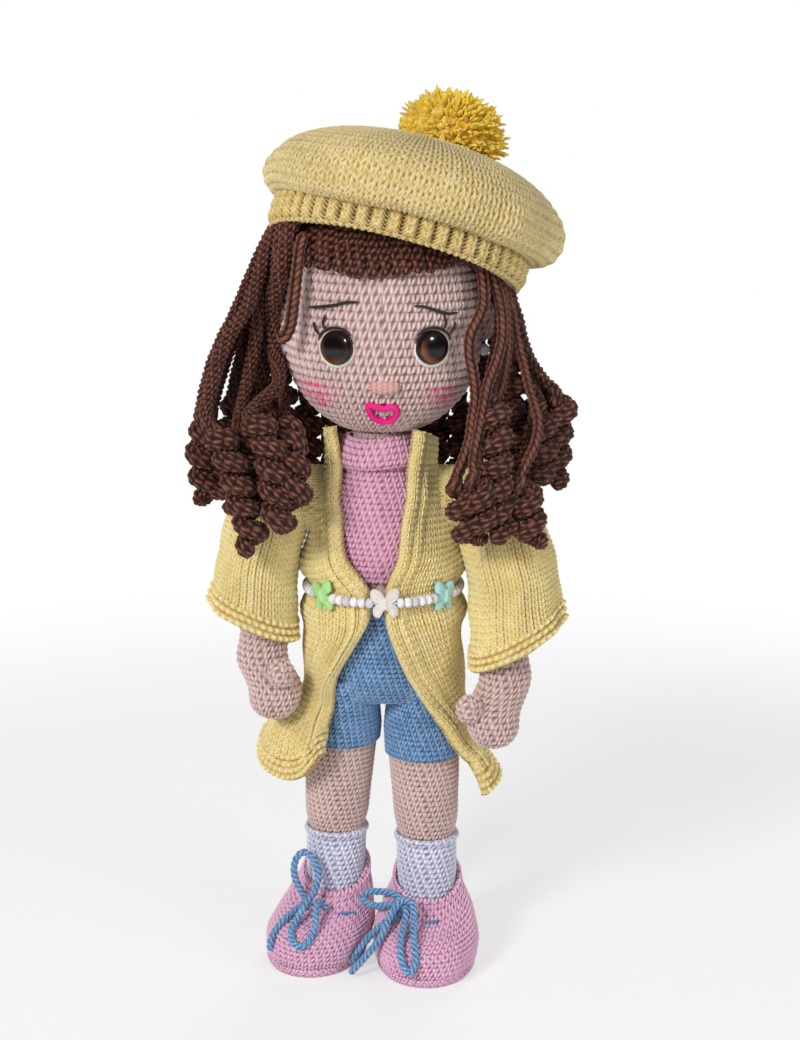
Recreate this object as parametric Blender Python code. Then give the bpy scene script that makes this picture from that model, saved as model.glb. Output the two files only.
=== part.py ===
"""A crocheted doll in a beret, an open knitted coat, a top, shorts, socks and laced shoes.

Lengths are metres, +Z is up and the doll faces -Y. Left and right are the doll's own, so its
left side is at +X. Heights are measured from the floor that the soles stand on.
"""
import math

import bmesh
import bpy
import numpy as np
from mathutils import Matrix, Vector

# Clearances
sewn_gap = 0.0004
cloth_gap = 0.0005
joint_clearance = 0.0010
sleeve_clearance = 0.0021
seat_clearance = 0.0008
belt_clearance = 0.0014
hair_clearance = 0.0001
cut_overrun = 0.0030

# Torso: the neck top is sewn to the head, the crotch to the legs
crotch_height = 0.1120
torso_height = 0.1107
hip_half_width = 0.0275
hip_half_depth = 0.0200
torso_height_share = (0.0, 0.045, 0.18, 0.30, 0.42, 0.55, 0.67, 0.76, 0.83, 0.89, 1.0)
torso_width_shares = (0.93, 1.0, 1.0, 0.90, 0.825, 0.825, 0.85, 0.79, 0.60, 0.45, 0.44)
torso_depth_shares = (0.80, 0.93, 1.0, 0.96, 0.90, 0.90, 0.88, 0.80, 0.68, 0.61, 0.60)
# Levels on the torso, as shares of its height above the crotch
shorts_waist_share = 0.3975
belt_share = 0.42
top_hem_share = 0.4562
shoulder_share = 0.7588
top_neck_share = 0.8763
coat_neck_share = 0.9124

# Head
head_height = 0.0930
head_half_width = 0.0390
head_depth_share = 0.95
head_height_shares = (0.0, 0.022, 0.065, 0.13, 0.204, 0.30, 0.42, 0.548, 0.667, 0.763, 0.85, 0.925, 0.973, 1.0)
head_width_shares = (0.36, 0.49, 0.64, 0.795, 0.905, 0.98, 1.0, 0.992, 0.964, 0.90, 0.782, 0.59, 0.37, 0.12)

# Neck support and arm thread
dowel_radius = 0.0030
dowel_depth = 0.0180
thread_radius = 0.0008
thread_depth = 0.0070

# Legs
thigh_radius = 0.0142
leg_height_shares = (0.0, 0.022, 0.065, 0.17, 0.31, 0.42, 0.475, 0.60, 0.735, 0.87, 1.0)
leg_radius_shares = (0.39, 0.59, 0.68, 0.70, 0.725, 0.765, 0.875, 0.945, 1.0, 0.98, 0.92)
leg_drift_shares = (0.0, 0.0, 0.0, 0.0, 0.0, 0.05, 0.08, 0.20, 0.35, 0.65, 1.0)
leg_top_spread_share = 0.525
ankle_out_left = 0.0180
ankle_out_right = 0.0202
ankle_forward_left = 0.0070
ankle_forward_right = -0.0020

# Socks
sock_top_height = 0.0520
sock_thickness = 0.0015
sock_welt = 0.0005
sock_welt_height = 0.0030

# Shoes
sole_thickness = 0.0025
shoe_floor = 0.0022
shoe_height = 0.0300
shoe_half_width = 0.0214
shoe_half_length = 0.0307
shoe_wall = 0.0020
heel_rise_share = 0.54
shoe_height_shares = (0.0, 0.14, 0.36, 0.60, 0.80, 0.93)
shoe_forward_shares = (0.34, 0.35, 0.34, 0.28, 0.165, 0.05)
shoe_width_shares = (0.87, 0.985, 1.0, 0.92, 0.81, 0.70)
shoe_length_shares = (0.91, 1.0, 0.99, 0.88, 0.70, 0.52)
shoe_slope_shares = (0.0, 0.0, 0.03, 0.12, 0.28, 0.45)
heel_taper_share = 0.10
sole_width_share = 0.93
sole_length_share = 0.96
shoe_turn = {"left": 0.0, "right": math.radians(-12)}
shoe_splay_left = -0.0004
shoe_splay_right = -0.0050
sole_bevel_share = 0.333

# Laces: each is one cord from its long tail through both loops of its bow to its other end
lace_radius = 0.0012
lace_points = {
    "right": (
        (-0.0468, -0.0293, 0.0087), (-0.0464, -0.0285, 0.0124), (-0.0448, -0.0262, 0.0158), (-0.0412, -0.0238, 0.0195),
        (-0.0372, -0.0206, 0.0222), (-0.0338, -0.0186, 0.0240), (-0.0326, -0.0158, 0.0254), (-0.0346, -0.0142, 0.0286),
        (-0.0368, -0.0136, 0.0334), (-0.0373, -0.0134, 0.0384), (-0.0361, -0.0126, 0.0426), (-0.0332, -0.0120, 0.0447),
        (-0.0299, -0.0124, 0.0427), (-0.0276, -0.0134, 0.0382), (-0.0274, -0.0152, 0.0332), (-0.0294, -0.0184, 0.0289),
        (-0.0326, -0.0232, 0.0256), (-0.0360, -0.0278, 0.0212), (-0.0379, -0.0314, 0.0179), (-0.0369, -0.0355, 0.0152),
        (-0.0340, -0.0380, 0.0142), (-0.0307, -0.0367, 0.0158), (-0.0286, -0.0330, 0.0189), (-0.0279, -0.0290, 0.0222),
        (-0.0280, -0.0254, 0.0256), (-0.0272, -0.0224, 0.0266), (-0.0254, -0.0206, 0.0254), (-0.0234, -0.0216, 0.0230),
    ),
    "left": (
        (-0.0134, -0.0319, 0.0042), (-0.0106, -0.0313, 0.0087), (-0.0072, -0.0299, 0.0131), (-0.0035, -0.0294, 0.0172),
        (0.0015, -0.0298, 0.0218), (0.0056, -0.0274, 0.0236), (0.0084, -0.0246, 0.0253), (0.0068, -0.0206, 0.0274),
        (0.0034, -0.0176, 0.0288), (-0.0017, -0.0156, 0.0286), (-0.0064, -0.0154, 0.0282), (-0.0089, -0.0172, 0.0264),
        (-0.0064, -0.0202, 0.0252), (-0.0014, -0.0226, 0.0252), (0.0042, -0.0250, 0.0272), (0.0092, -0.0296, 0.0270),
        (0.0086, -0.0354, 0.0222), (0.0072, -0.0405, 0.0196), (0.0070, -0.0454, 0.0158), (0.0079, -0.0488, 0.0114),
        (0.0104, -0.0504, 0.0086), (0.0130, -0.0492, 0.0122), (0.0129, -0.0462, 0.0168), (0.0123, -0.0406, 0.0210),
        (0.0126, -0.0346, 0.0244), (0.0118, -0.0298, 0.0296), (0.0078, -0.0292, 0.0306), (0.0036, -0.0318, 0.0268),
        (0.0005, -0.0354, 0.0208), (-0.0018, -0.0364, 0.0164), (-0.0052, -0.0365, 0.0118), (-0.0097, -0.0370, 0.0066),
        (-0.0137, -0.0375, 0.0022),
    ),
}

# Arms
hand_radius = 0.0108
arm_length_left = 0.0990
arm_length_right = 0.0910
hand_forward_left = 0.0240
hand_forward_right = 0.0120
arm_root_radius = 0.0080
arm_length_shares = (-0.075, -0.050, 0.022, 0.176, 0.34, 0.505, 0.637, 0.747, 0.857, 0.934, 0.978, 1.0)
arm_radius_shares = (0.37, 0.65, 0.81, 0.83, 0.85, 0.88, 0.89, 0.95, 1.0, 0.91, 0.67, 0.32)
arm_forward_shares = (0.0, 0.0, 0.0, 0.05, 0.15, 0.32, 0.52, 0.75, 1.0, 1.1, 1.12, 1.12)
hand_tuck_start_share = 0.75
hand_tuck_end_share = 0.857
thumb_radius_share = 0.42
thumb_drop_share = 0.80

# Top and its rolled collar
top_thickness = 0.0015
collar_height = 0.0100
collar_thickness = 0.0034
collar_roll_share = 0.333

# Shorts
shorts_thickness = 0.0015
shorts_leg_length = 0.0250
gusset_depth = 0.0045

# Coat: half widths are those of what is under it, with an ease that is a share of coat_ease
coat_thickness = 0.0018
coat_band_extra = 0.0012
coat_ease = 0.0045
coat_ease_height_shares = (0.30, 0.42, 0.48, 0.53, 0.62, 0.69, 0.745, 0.81, 0.875, 0.92, 0.96, 1.0)
coat_side_ease_shares = (2.2, 0.7, 0.35, 0.28, 0.28, 0.60, 0.55, 1.0, 0.40, 0.40, 0.55, 1.2)
coat_front_ease_shares = (2.0, 1.6, 1.4, 0.7, 0.6, 0.85, 0.95, 0.75, 0.40, 0.40, 0.55, 1.1)
coat_edge_height_shares = (0.40, 0.545, 0.587, 0.643, 0.714, 0.756, 0.812, 0.892, 0.967, 1.0)
coat_right_edge_degrees = (41, 42, 39, 28, 11, 12, 30, 39, 54, 58)
coat_left_edge_degrees = (58, 27, 17, 8, 1, 2, 11, 17, 27, 31)
coat_hem_place_shares = (0.0, 0.10, 0.25, 0.40, 0.60, 0.76, 0.88, 1.0)
coat_hem_height_shares = (0.375, 0.365, 0.395, 0.475, 0.485, 0.425, 0.375, 0.338)
coat_fold_depth = 0.0024
coat_fold_count = 9
coat_fold_top_share = 0.66
coat_fold_fade_share = 0.20
coat_flare_right = 0.0130
coat_flare_right_degrees = 255
coat_flare_right_spread_degrees = 34
coat_flare_right_top_share = 0.553
coat_flare_right_fade_share = 0.14
coat_flare_left = 0.0085
coat_flare_left_degrees = 76
coat_flare_left_spread_degrees = 28
coat_flare_left_top_share = 0.451
coat_flare_left_fade_share = 0.10
coat_columns = 28
coat_rows = 11

# Sleeves
sleeve_thickness = 0.0016
sleeve_top_rise = 0.0115
sleeve_length_left = 0.0725
sleeve_length_right = 0.0640
sleeve_reach_left = 0.0730
sleeve_reach_right = 0.0705
sleeve_half_depth_left = 0.0190
sleeve_half_depth_right = 0.0180
sleeve_hem_slope_share = {"left": 0.55, "right": 0.45}
sleeve_forward_share = 0.56
sleeve_bead_drop_share = 0.75
sleeve_drop_shares = (0.0, 0.055, 0.15, 0.27, 0.43, 0.62, 0.82, 1.0)
sleeve_inset_shares = (0.09, 0.025, 0.0, 0.0, 0.0, 0.0, 0.0, 0.0)
sleeve_reach_shares = (0.62, 0.70, 0.78, 0.86, 0.912, 0.945, 0.973, 1.0)
sleeve_depth_shares = (0.20, 0.50, 0.72, 0.84, 0.92, 0.95, 0.98, 1.0)
sleeve_fold_depth = 0.0010
sleeve_fold_count = 7

# Belt of beads with three butterfly beads
bead_radius = 0.0020
bead_length = 0.0040
bead_length_shares = (0.10, 0.50, 0.90)
bead_width_shares = (0.62, 1.0, 0.62)
string_radius = 0.00055
belt_samples = 720
butterfly_half_width = 0.0058
butterfly_half_height = 0.0060
butterfly_thickness = 0.0032
butterfly_hole_clearance = 0.0004
butterfly_green_side = -0.0250
butterfly_white_side = 0.0010
butterfly_teal_side = 0.0254
butterfly_wing_share = 0.96
butterfly_across_shares = (0.0, 0.25, 0.72, 1.0, 0.92, 0.58, 0.86, 0.82, 0.45, 0.15, 0.0)
butterfly_up_shares = (0.45, 0.78, 1.0, 0.78, 0.25, 0.02, -0.35, -0.85, -1.0, -0.55, -0.45)

# Face
eye_radius = 0.0070
eye_height_share = 0.3925
eye_side_share = 0.468
eye_dome_share = 0.62
eye_dome_degrees = (28, 56, 82)
eye_flange = 0.0008
backing_radius = 0.0078
backing_thickness = 0.0008
backing_shift = 0.0006
eye_post_radius = 0.0020
eye_post_length = 0.0120
washer_radius = 0.0052
washer_thickness = 0.0024
washer_depth = 0.0036
nose_half_width = 0.0062
nose_half_height = 0.0028
nose_height_share = 0.226
nose_reach = 0.0026
mouth_half_width = 0.0062
mouth_half_height = 0.0040
mouth_thread_radius = 0.0011
mouth_height_share = 0.127
brow_thread_radius = 0.0006
brow_outer_side_share = 0.62
brow_inner_side_share = 0.25
brow_outer_height_share = 0.563
brow_inner_height_share = 0.587
brow_points = 4
lash_thread_radius = 0.0005
lash_length = 0.0040
lash_length_shares = (0.0, 0.5, 1.0)
lash_bend_share = 0.333
lid_start_degrees = 35
lid_end_degrees = 145
lid_points = 5
ear_half_depth = 0.0055
ear_half_height = 0.0085
ear_reach = 0.0062
ear_height_share = 0.462
ear_forward_share = 0.333
pearl_radius = 0.0024
pearl_gap = 0.000632
pearl_forward = 0.0040

# Hair: a cap, a fringe, and separate crocheted strands that end in ringlets
wig_thickness = 0.0040
wig_front_height_share = 0.835
wig_back_height_share = 0.29
fringe_low_height_share = 0.69
fringe_span_degrees = 50
fringe_columns = 12
fringe_rows = 2
fringe_search_share = 0.25
strand_radius = 0.0031
ringlet_radius = 0.0034
ringlet_pitch = 0.0100
ringlet_points = 8
strand_fall_points = 7
strand_swing_share = 0.35
strand_drop_share = 1.12
# Name: root degrees from the front towards the left, fall degrees, then shares of the head's
# half width and of the neck height for the fall radius and the ringlet's top and bottom
strand_shares = {
    "hair_front_right": (-97, -48, 1.46, 0.950, 0.830),
    "hair_outer_right": (-106, -60, 1.84, 0.970, 0.820),
    "hair_side_right": (-115, -96, 1.88, 0.955, 0.855),
    "hair_rear_right": (-128, -125, 1.45, 1.020, 0.900),
    "hair_back_right": (-156, -158, 1.22, 1.010, 0.900),
    "hair_back_left": (156, 158, 1.22, 0.990, 0.875),
    "hair_rear_left": (128, 124, 1.45, 0.990, 0.875),
    "hair_inner_left": (113, 100, 1.36, 1.075, 0.965),
    "hair_side_left": (101, 86, 1.83, 1.025, 0.890),
    "hair_outer_left": (80, 65, 1.68, 0.878, 0.775),
    "hair_mid_left": (71.5, 50, 1.53, 0.900, 0.800),
    "hair_front_left": (62, 39, 1.31, 0.900, 0.800),
}

# Beret: measured along its own tilted axis from the middle of its crown
hat_roll = math.radians(14.5)
hat_pitch = math.radians(13)
hat_side = 0.0130
hat_back = 0.0045
hat_sink_share = 0.027
hair_room = 0.0026
band_thickness = 0.0050
band_height = 0.0127
band_rib_depth = 0.0007
band_edge_shares = ((1.0, 0.8), (0.85, 1.0), (0.15, 1.0), (0.0, 0.8))
crown_overhang = 0.0070
crown_half_height = 0.0220
crown_wall = 0.0038
crown_height_shares = (-0.59, -0.45, -0.16, 0.15, 0.46, 0.73, 0.91, 1.0)
crown_width_shares = (0.865, 0.95, 1.0, 0.985, 0.87, 0.66, 0.38, 0.12)
band_side_shift = -0.0020
pompom_radius = 0.0215
pompom_height_share = 0.80
pompom_side_share = 0.37
pompom_lift_share = 0.27
pompom_lump = 0.0012
pompom_rows = 8
pompom_lump_turns = 3
pompom_twist_turns = 2

# Round counts
body_sides = 18
limb_sides = 14
head_sides = 20
hat_sides = 26
small_sides = 12
pearl_sides = 8
pearl_rows = 6
thread_sides = 6

SIDES = {"left": 1, "right": -1}


def interpolated(heights, values, height):
    return float(np.interp(height, heights, values))


def unit_scale(value, shares):
    return [value * share for share in shares]


ankle_out = {"left": ankle_out_left, "right": ankle_out_right}
ankle_forward = {"left": ankle_forward_left, "right": ankle_forward_right}
shoe_splay = {"left": shoe_splay_left, "right": shoe_splay_right}
arm_length = {"left": arm_length_left, "right": arm_length_right}
hand_forward = {"left": hand_forward_left, "right": hand_forward_right}
sleeve_length = {"left": sleeve_length_left, "right": sleeve_length_right}
sleeve_reach = {"left": sleeve_reach_left, "right": sleeve_reach_right}
sleeve_half_depth = {"left": sleeve_half_depth_left, "right": sleeve_half_depth_right}
butterfly_places = {"green": butterfly_green_side, "white": butterfly_white_side, "teal": butterfly_teal_side}

# Derived heights
neck_height = crotch_height + torso_height
shorts_waist_height = crotch_height + torso_height * shorts_waist_share
shorts_hem_height = crotch_height - shorts_leg_length
belt_height = crotch_height + torso_height * belt_share
top_hem_height = crotch_height + torso_height * top_hem_share
shoulder_height = crotch_height + torso_height * shoulder_share
top_neck_height = crotch_height + torso_height * top_neck_share
coat_neck_height = crotch_height + torso_height * coat_neck_share
head_base = neck_height + sewn_gap
head_half_depth = head_half_width * head_depth_share
torso_levels = [crotch_height + torso_height * share for share in torso_height_share]
torso_widths = unit_scale(hip_half_width, torso_width_shares)
torso_depths = unit_scale(hip_half_depth, torso_depth_shares)
shoe_base = sole_thickness + sewn_gap
bore_floor = shoe_base + shoe_floor
leg_base = bore_floor + sewn_gap + sock_thickness + cloth_gap
leg_top = crotch_height - sewn_gap
leg_levels = [leg_base + (leg_top - leg_base) * share for share in leg_height_shares]
leg_radii = unit_scale(thigh_radius, leg_radius_shares)
leg_top_out = hip_half_width * leg_top_spread_share
head_levels = [head_base + head_height * share for share in head_height_shares]
head_widths = unit_scale(head_half_width, head_width_shares)


def torso_width(height):
    return interpolated(torso_levels, torso_widths, height)


def torso_depth(height):
    return interpolated(torso_levels, torso_depths, height)


def leg_radius(height):
    return interpolated(leg_levels, leg_radii, height)


def leg_place(side, height):
    drift = interpolated(leg_levels, leg_drift_shares, height)
    out = ankle_out[side] + (leg_top_out - ankle_out[side]) * drift
    return SIDES[side] * out, -ankle_forward[side] * (1 - drift)


def head_width(height):
    return interpolated(head_levels, head_widths, height)


def levels_between(low, high, knots):
    inner = [knot for knot in knots if low + sewn_gap < knot < high - sewn_gap]
    return [low] + inner + [high]


# Scene
def clear_scene():
    for item in list(bpy.data.objects):
        bpy.data.objects.remove(item)


def finish(name, colour, roughness, metallic=0.0):
    material = bpy.data.materials.new(name)
    material.use_nodes = True
    shader = material.node_tree.nodes["Principled BSDF"]
    shader.inputs["Base Color"].default_value = (*colour, 1.0)
    shader.inputs["Roughness"].default_value = roughness
    shader.inputs["Metallic"].default_value = metallic
    material.diffuse_color = (*colour, 1.0)
    return material


def pivot(name, place, parent=None):
    empty = bpy.data.objects.new(name, None)
    bpy.context.scene.collection.objects.link(empty)
    empty["at"] = tuple(place)
    if parent is None:
        empty.location = place
        return empty
    empty.parent = parent
    empty.location = Vector(place) - Vector(parent["at"])
    return empty


def solid(name, points, faces, carrier, material=None):
    """A closed mesh from points in the doll's frame, stored about its carrier's place."""
    mesh = bpy.data.meshes.new(name)
    start = Vector(carrier["at"])
    mesh.from_pydata([Vector(point) - start for point in points], [], faces)
    built = bmesh.new()
    built.from_mesh(mesh)
    bmesh.ops.recalc_face_normals(built, faces=built.faces)
    built.to_mesh(mesh)
    built.free()
    item = bpy.data.objects.new(name, mesh)
    bpy.context.scene.collection.objects.link(item)
    item.parent = carrier
    mesh.shade_smooth()
    mesh.set_sharp_from_angle(angle=math.radians(50))
    if material:
        mesh.materials.append(material)
    return item


def helper(item):
    item.hide_render = True
    item.display_type = "WIRE"
    return item


def boolean(item, tool, operation):
    modifier = item.modifiers.new(tool.name, "BOOLEAN")
    modifier.operation = operation
    modifier.object = helper(tool)
    modifier.solver = "EXACT"
    return item


def cut(item, *tools):
    for tool in tools:
        boolean(item, tool, "DIFFERENCE")
    return item


def join(item, *tools):
    for tool in tools:
        boolean(item, tool, "UNION")
    return item


# Shapes
def ring(centre, half_width, half_depth, sides, turn=0.0):
    """A level ellipse of points, counted anticlockwise seen from above."""
    x, y, z = centre
    angles = [turn + math.tau * step / sides for step in range(sides)]
    return [(x + half_width * math.cos(a), y + half_depth * math.sin(a), z) for a in angles]


def bands(rings, closed=False):
    sides = len(rings[0])
    faces = []
    pairs = list(zip(range(len(rings) - 1), range(1, len(rings))))
    if closed:
        pairs.append((len(rings) - 1, 0))
    for low, high in pairs:
        for step in range(sides):
            after = (step + 1) % sides
            faces.append((low * sides + step, low * sides + after, high * sides + after, high * sides + step))
    return faces


def loft(name, rings, carrier, material=None):
    """A closed body through the rings, with flat ends."""
    sides = len(rings[0])
    points = [point for row in rings for point in row]
    last = (len(rings) - 1) * sides
    faces = bands(rings)
    faces.append(tuple(reversed(range(sides))))
    faces.append(tuple(range(last, last + sides)))
    return solid(name, points, faces, carrier, material)


def sleeve_of(name, outer, inner, carrier, material=None):
    """A tube with a wall: outer rings upwards, then inner rings back down."""
    rings = outer + list(reversed(inner))
    points = [point for row in rings for point in row]
    return solid(name, points, bands(rings, closed=True), carrier, material)


def cup_of(name, outer, inner, carrier, material=None):
    """A cup with a closed bottom: outer rings upwards, then inner rings back down."""
    return loft(name, outer + list(reversed(inner)), carrier, material)


def frame_on(direction):
    """Axes with the third along direction."""
    along = Vector(direction).normalized()
    helper_axis = Vector((0, 0, 1)) if abs(along.z) < abs(along.x) + abs(along.y) else Vector((1, 0, 0))
    across = helper_axis.cross(along).normalized()
    return across, along.cross(across), along


def turned(name, profile, start, direction, sides, carrier, material=None):
    """A solid of rings: profile holds (distance along the axis, radius)."""
    across, up, along = frame_on(direction)
    angles = [math.tau * step / sides for step in range(sides)]
    rings = []
    for distance, radius in profile:
        middle = Vector(start) + along * distance
        rings.append([middle + across * radius * math.cos(a) + up * radius * math.sin(a) for a in angles])
    return loft(name, rings, carrier, material)


def rod(name, start, end, radius, sides, carrier, material=None):
    along = Vector(end) - Vector(start)
    return turned(name, [(0.0, radius), (along.length, radius)], start, along, sides, carrier, material)


def swept(name, path, radius, sides, carrier, material=None):
    """A round thread through the points of the path."""
    points = [Vector(point) for point in path]
    count = len(points)
    tangents = []
    for step in range(count):
        before, after = points[max(step - 1, 0)], points[min(step + 1, count - 1)]
        tangents.append((after - before).normalized())
    across, up, _ = frame_on(tangents[0])
    rings = []
    for step in range(count):
        if step:
            turn = tangents[step - 1].rotation_difference(tangents[step])
            across, up = turn @ across, turn @ up
        angles = [math.tau * side / sides for side in range(sides)]
        rings.append([points[step] + across * radius * math.cos(a) + up * radius * math.sin(a) for a in angles])
    return loft(name, rings, carrier, material)


def thread(name, path, radius, carrier, material):
    """A cord as a curve with a round bevel."""
    data = bpy.data.curves.new(name, "CURVE")
    data.dimensions = "3D"
    data.bevel_depth = radius
    data.bevel_resolution = 1
    data.use_fill_caps = True
    spline = data.splines.new("POLY")
    spline.points.add(len(path) - 1)
    start = Vector(carrier["at"])
    for point, place in zip(spline.points, path):
        point.co = (*(Vector(place) - start), 1.0)
    data.materials.append(material)
    item = bpy.data.objects.new(name, data)
    bpy.context.scene.collection.objects.link(item)
    item.parent = carrier
    return item


def ball(name, centre, radii, sides, rows, carrier, material=None):
    rings = []
    for row in range(rows):
        angle = -math.pi / 2 + math.pi * (row + 0.5) / rows
        middle = (centre[0], centre[1], centre[2] + radii[2] * math.sin(angle) / math.cos(math.pi / 2 / rows))
        rings.append(ring(middle, radii[0] * math.cos(angle), radii[1] * math.cos(angle), sides))
    return loft(name, rings, carrier, material)


# Head surface
def head_profile(offset=0.0):
    """(height, half width) rows of the head, moved outwards by offset along its outline."""
    points = list(zip(head_levels, head_widths))
    moved = []
    for step, (height, width) in enumerate(points):
        before, after = points[max(step - 1, 0)], points[min(step + 1, len(points) - 1)]
        along = Vector((after[1] - before[1], after[0] - before[0])).normalized()
        moved.append((height - offset * along.x, width + offset * along.y))
    return moved


def head_rings(offset=0.0):
    depth = head_half_depth + offset
    share = depth / (head_half_width + offset)
    rows = head_profile(offset)
    return [ring((0, 0, height), width, width * share, head_sides) for height, width in rows]


def face_point(side, height, lift=0.0):
    """A point on the front of the head, and the way that the surface faces there."""
    def at(x, z):
        width = head_width(z)
        inside = max(1 - (x / width) ** 2, 0.0)
        return Vector((x, -width * head_depth_share * math.sqrt(inside), z))

    step = sewn_gap
    place = at(side, height)
    across = at(side + step, height) - at(side - step, height)
    up = at(side, height + step) - at(side, height - step)
    facing = across.cross(up).normalized()
    return place + facing * lift, facing


# The doll
def build_body(root, head, arms, looks):
    torso_rings = [ring((0, 0, z), torso_width(z), torso_depth(z), body_sides) for z in torso_levels]
    torso = loft("torso", torso_rings, root, looks["skin"])
    dowel_low = neck_height - dowel_depth
    dowel_high = head_base + dowel_depth
    cut(
        torso,
        rod(
            "torso_dowel_bore",
            (0, 0, dowel_low - sewn_gap),
            (0, 0, neck_height + cut_overrun),
            dowel_radius + sewn_gap,
            small_sides,
            root,
        ),
        rod(
            "torso_thread_bore",
            (-hip_half_width - cut_overrun, 0, shoulder_height),
            (hip_half_width + cut_overrun, 0, shoulder_height),
            thread_radius + sewn_gap,
            thread_sides,
            root,
        ),
    )
    rod("neck_dowel", (0, 0, dowel_low), (0, 0, dowel_high), dowel_radius, small_sides, root, looks["wood"])
    reach = arm_root_start() + thread_depth
    ends = (-reach, 0, shoulder_height), (reach, 0, shoulder_height)
    rod("shoulder_thread", *ends, thread_radius, thread_sides, root, looks["thread"])
    for side in SIDES:
        loft("leg_" + side, around_leg(side, leg_levels, 0.0), root, looks["skin"])
        build_arm(side, arms[side], looks)


def arm_root_start():
    return torso_width(shoulder_height - arm_root_radius) + joint_clearance


def arm_inner(side, share):
    """How far out the inner edge of an arm lies: clear of the sleeve, then of the coat."""
    height = shoulder_height - arm_length[side] * share
    in_sleeve = sleeve_inner(height) + sleeve_thickness + sleeve_clearance
    at_hand = coat_side_reach() + joint_clearance
    tuck = (share - hand_tuck_start_share) / (hand_tuck_end_share - hand_tuck_start_share)
    tuck = min(max(tuck, 0.0), 1.0)
    return in_sleeve + (at_hand - in_sleeve) * tuck


def arm_rows(side):
    rows = []
    for share, width, forward in zip(arm_length_shares, arm_radius_shares, arm_forward_shares):
        radius = hand_radius * width
        core = arm_inner(side, max(share, 0.0)) + hand_radius * max(width, arm_radius_shares[2])
        if share > hand_tuck_end_share:
            core = arm_inner(side, share) + hand_radius
        height = shoulder_height - arm_length[side] * share
        rows.append((SIDES[side] * core, -hand_forward[side] * forward, height, radius))
    return rows


def build_arm(side, carrier, looks):
    sign = SIDES[side]
    rows = arm_rows(side)
    rings = [ring(row[:3], row[3], row[3], limb_sides) for row in rows]
    arm = loft("arm_" + side, rings, carrier, looks["skin"])
    start = arm_root_start()
    root_end = sign * (sleeve_inner(shoulder_height) + hand_radius)
    stub = rod(
        "arm_root_" + side,
        (sign * start, 0, shoulder_height),
        (root_end, 0, shoulder_height),
        arm_root_radius,
        limb_sides,
        carrier,
    )
    thumb_share = arm_length_shares.index(hand_tuck_end_share)
    x, y, z, radius = rows[thumb_share]
    thumb_radius = hand_radius * thumb_radius_share
    thumb = ball(
        "thumb_" + side,
        (x - sign * thumb_radius, y - radius * thumb_drop_share, z),
        (thumb_radius, thumb_radius, hand_radius * thumb_drop_share),
        small_sides,
        thread_sides,
        carrier,
    )
    join(arm, stub, thumb)
    bore_end = start + thread_depth + sewn_gap
    cut(
        arm,
        rod(
            "arm_thread_bore_" + side,
            (sign * (start - cut_overrun), 0, shoulder_height),
            (sign * bore_end, 0, shoulder_height),
            thread_radius + sewn_gap,
            thread_sides,
            carrier,
        ),
    )


# Clothes
def around_torso(low, high, offset):
    rows = levels_between(low, high, torso_levels)
    return [ring((0, 0, z), torso_width(z) + offset, torso_depth(z) + offset, body_sides) for z in rows]


def around_leg(side, rows, offset):
    radii = [leg_radius(z) + offset for z in rows]
    return [ring((*leg_place(side, z), z), radius, radius, limb_sides) for z, radius in zip(rows, radii)]


def build_top(root, looks):
    outer = around_torso(top_hem_height, top_neck_height, cloth_gap + top_thickness)
    inner = around_torso(top_hem_height, top_neck_height, cloth_gap)
    top = sleeve_of("top", outer, inner, root, looks["pink"])
    reach = hip_half_width + cut_overrun
    cut(
        top,
        rod(
            "top_armholes",
            (-reach, 0, shoulder_height),
            (reach, 0, shoulder_height),
            arm_root_radius + cloth_gap,
            limb_sides,
            root,
        ),
    )
    low = top_neck_height + sewn_gap
    high = low + collar_height
    roll = collar_thickness * collar_roll_share
    width = torso_width(low) + cloth_gap
    depth = torso_depth(low) + cloth_gap
    outer = [
        ring((0, 0, low), width + collar_thickness - roll, depth + collar_thickness - roll, body_sides),
        ring((0, 0, low + roll), width + collar_thickness, depth + collar_thickness, body_sides),
        ring((0, 0, high - roll), width + collar_thickness, depth + collar_thickness, body_sides),
        ring((0, 0, high), width + collar_thickness - roll, depth + collar_thickness - roll, body_sides),
    ]
    inner = [ring((0, 0, z), width, depth, body_sides) for z in (low, high)]
    sleeve_of("top_collar", outer, inner, root, looks["pink"])


def build_shorts(root, looks):
    layer = cloth_gap + shorts_thickness
    low = crotch_height - gusset_depth
    hips = torso_width(crotch_height), torso_depth(crotch_height)
    floor = ring((0, 0, low), hips[0] - gusset_depth, hips[1] - gusset_depth, body_sides)
    shorts = loft(
        "shorts",
        [floor] + around_torso(crotch_height, shorts_waist_height, layer),
        root,
        looks["denim"],
    )
    above = crotch_height + gusset_depth
    for side in SIDES:
        rows = levels_between(shorts_hem_height, above, leg_levels)
        join(shorts, loft("shorts_leg_" + side, around_leg(side, rows, layer), root))
    hollow_low = leg_top - cloth_gap
    hollow = around_torso(crotch_height, shorts_waist_height, cloth_gap)
    hollow[0] = [(x, y, hollow_low) for x, y, _ in hollow[0]]
    hollow.append([(x, y, z + cut_overrun) for x, y, z in hollow[-1]])
    cut(shorts, loft("shorts_hollow", hollow, root))
    for side in SIDES:
        rings = around_leg(side, levels_between(shorts_hem_height, crotch_height, leg_levels), cloth_gap)
        rings.insert(0, [(x, y, z - cut_overrun) for x, y, z in rings[0]])
        cut(shorts, loft("shorts_leg_hollow_" + side, rings, root))


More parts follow.
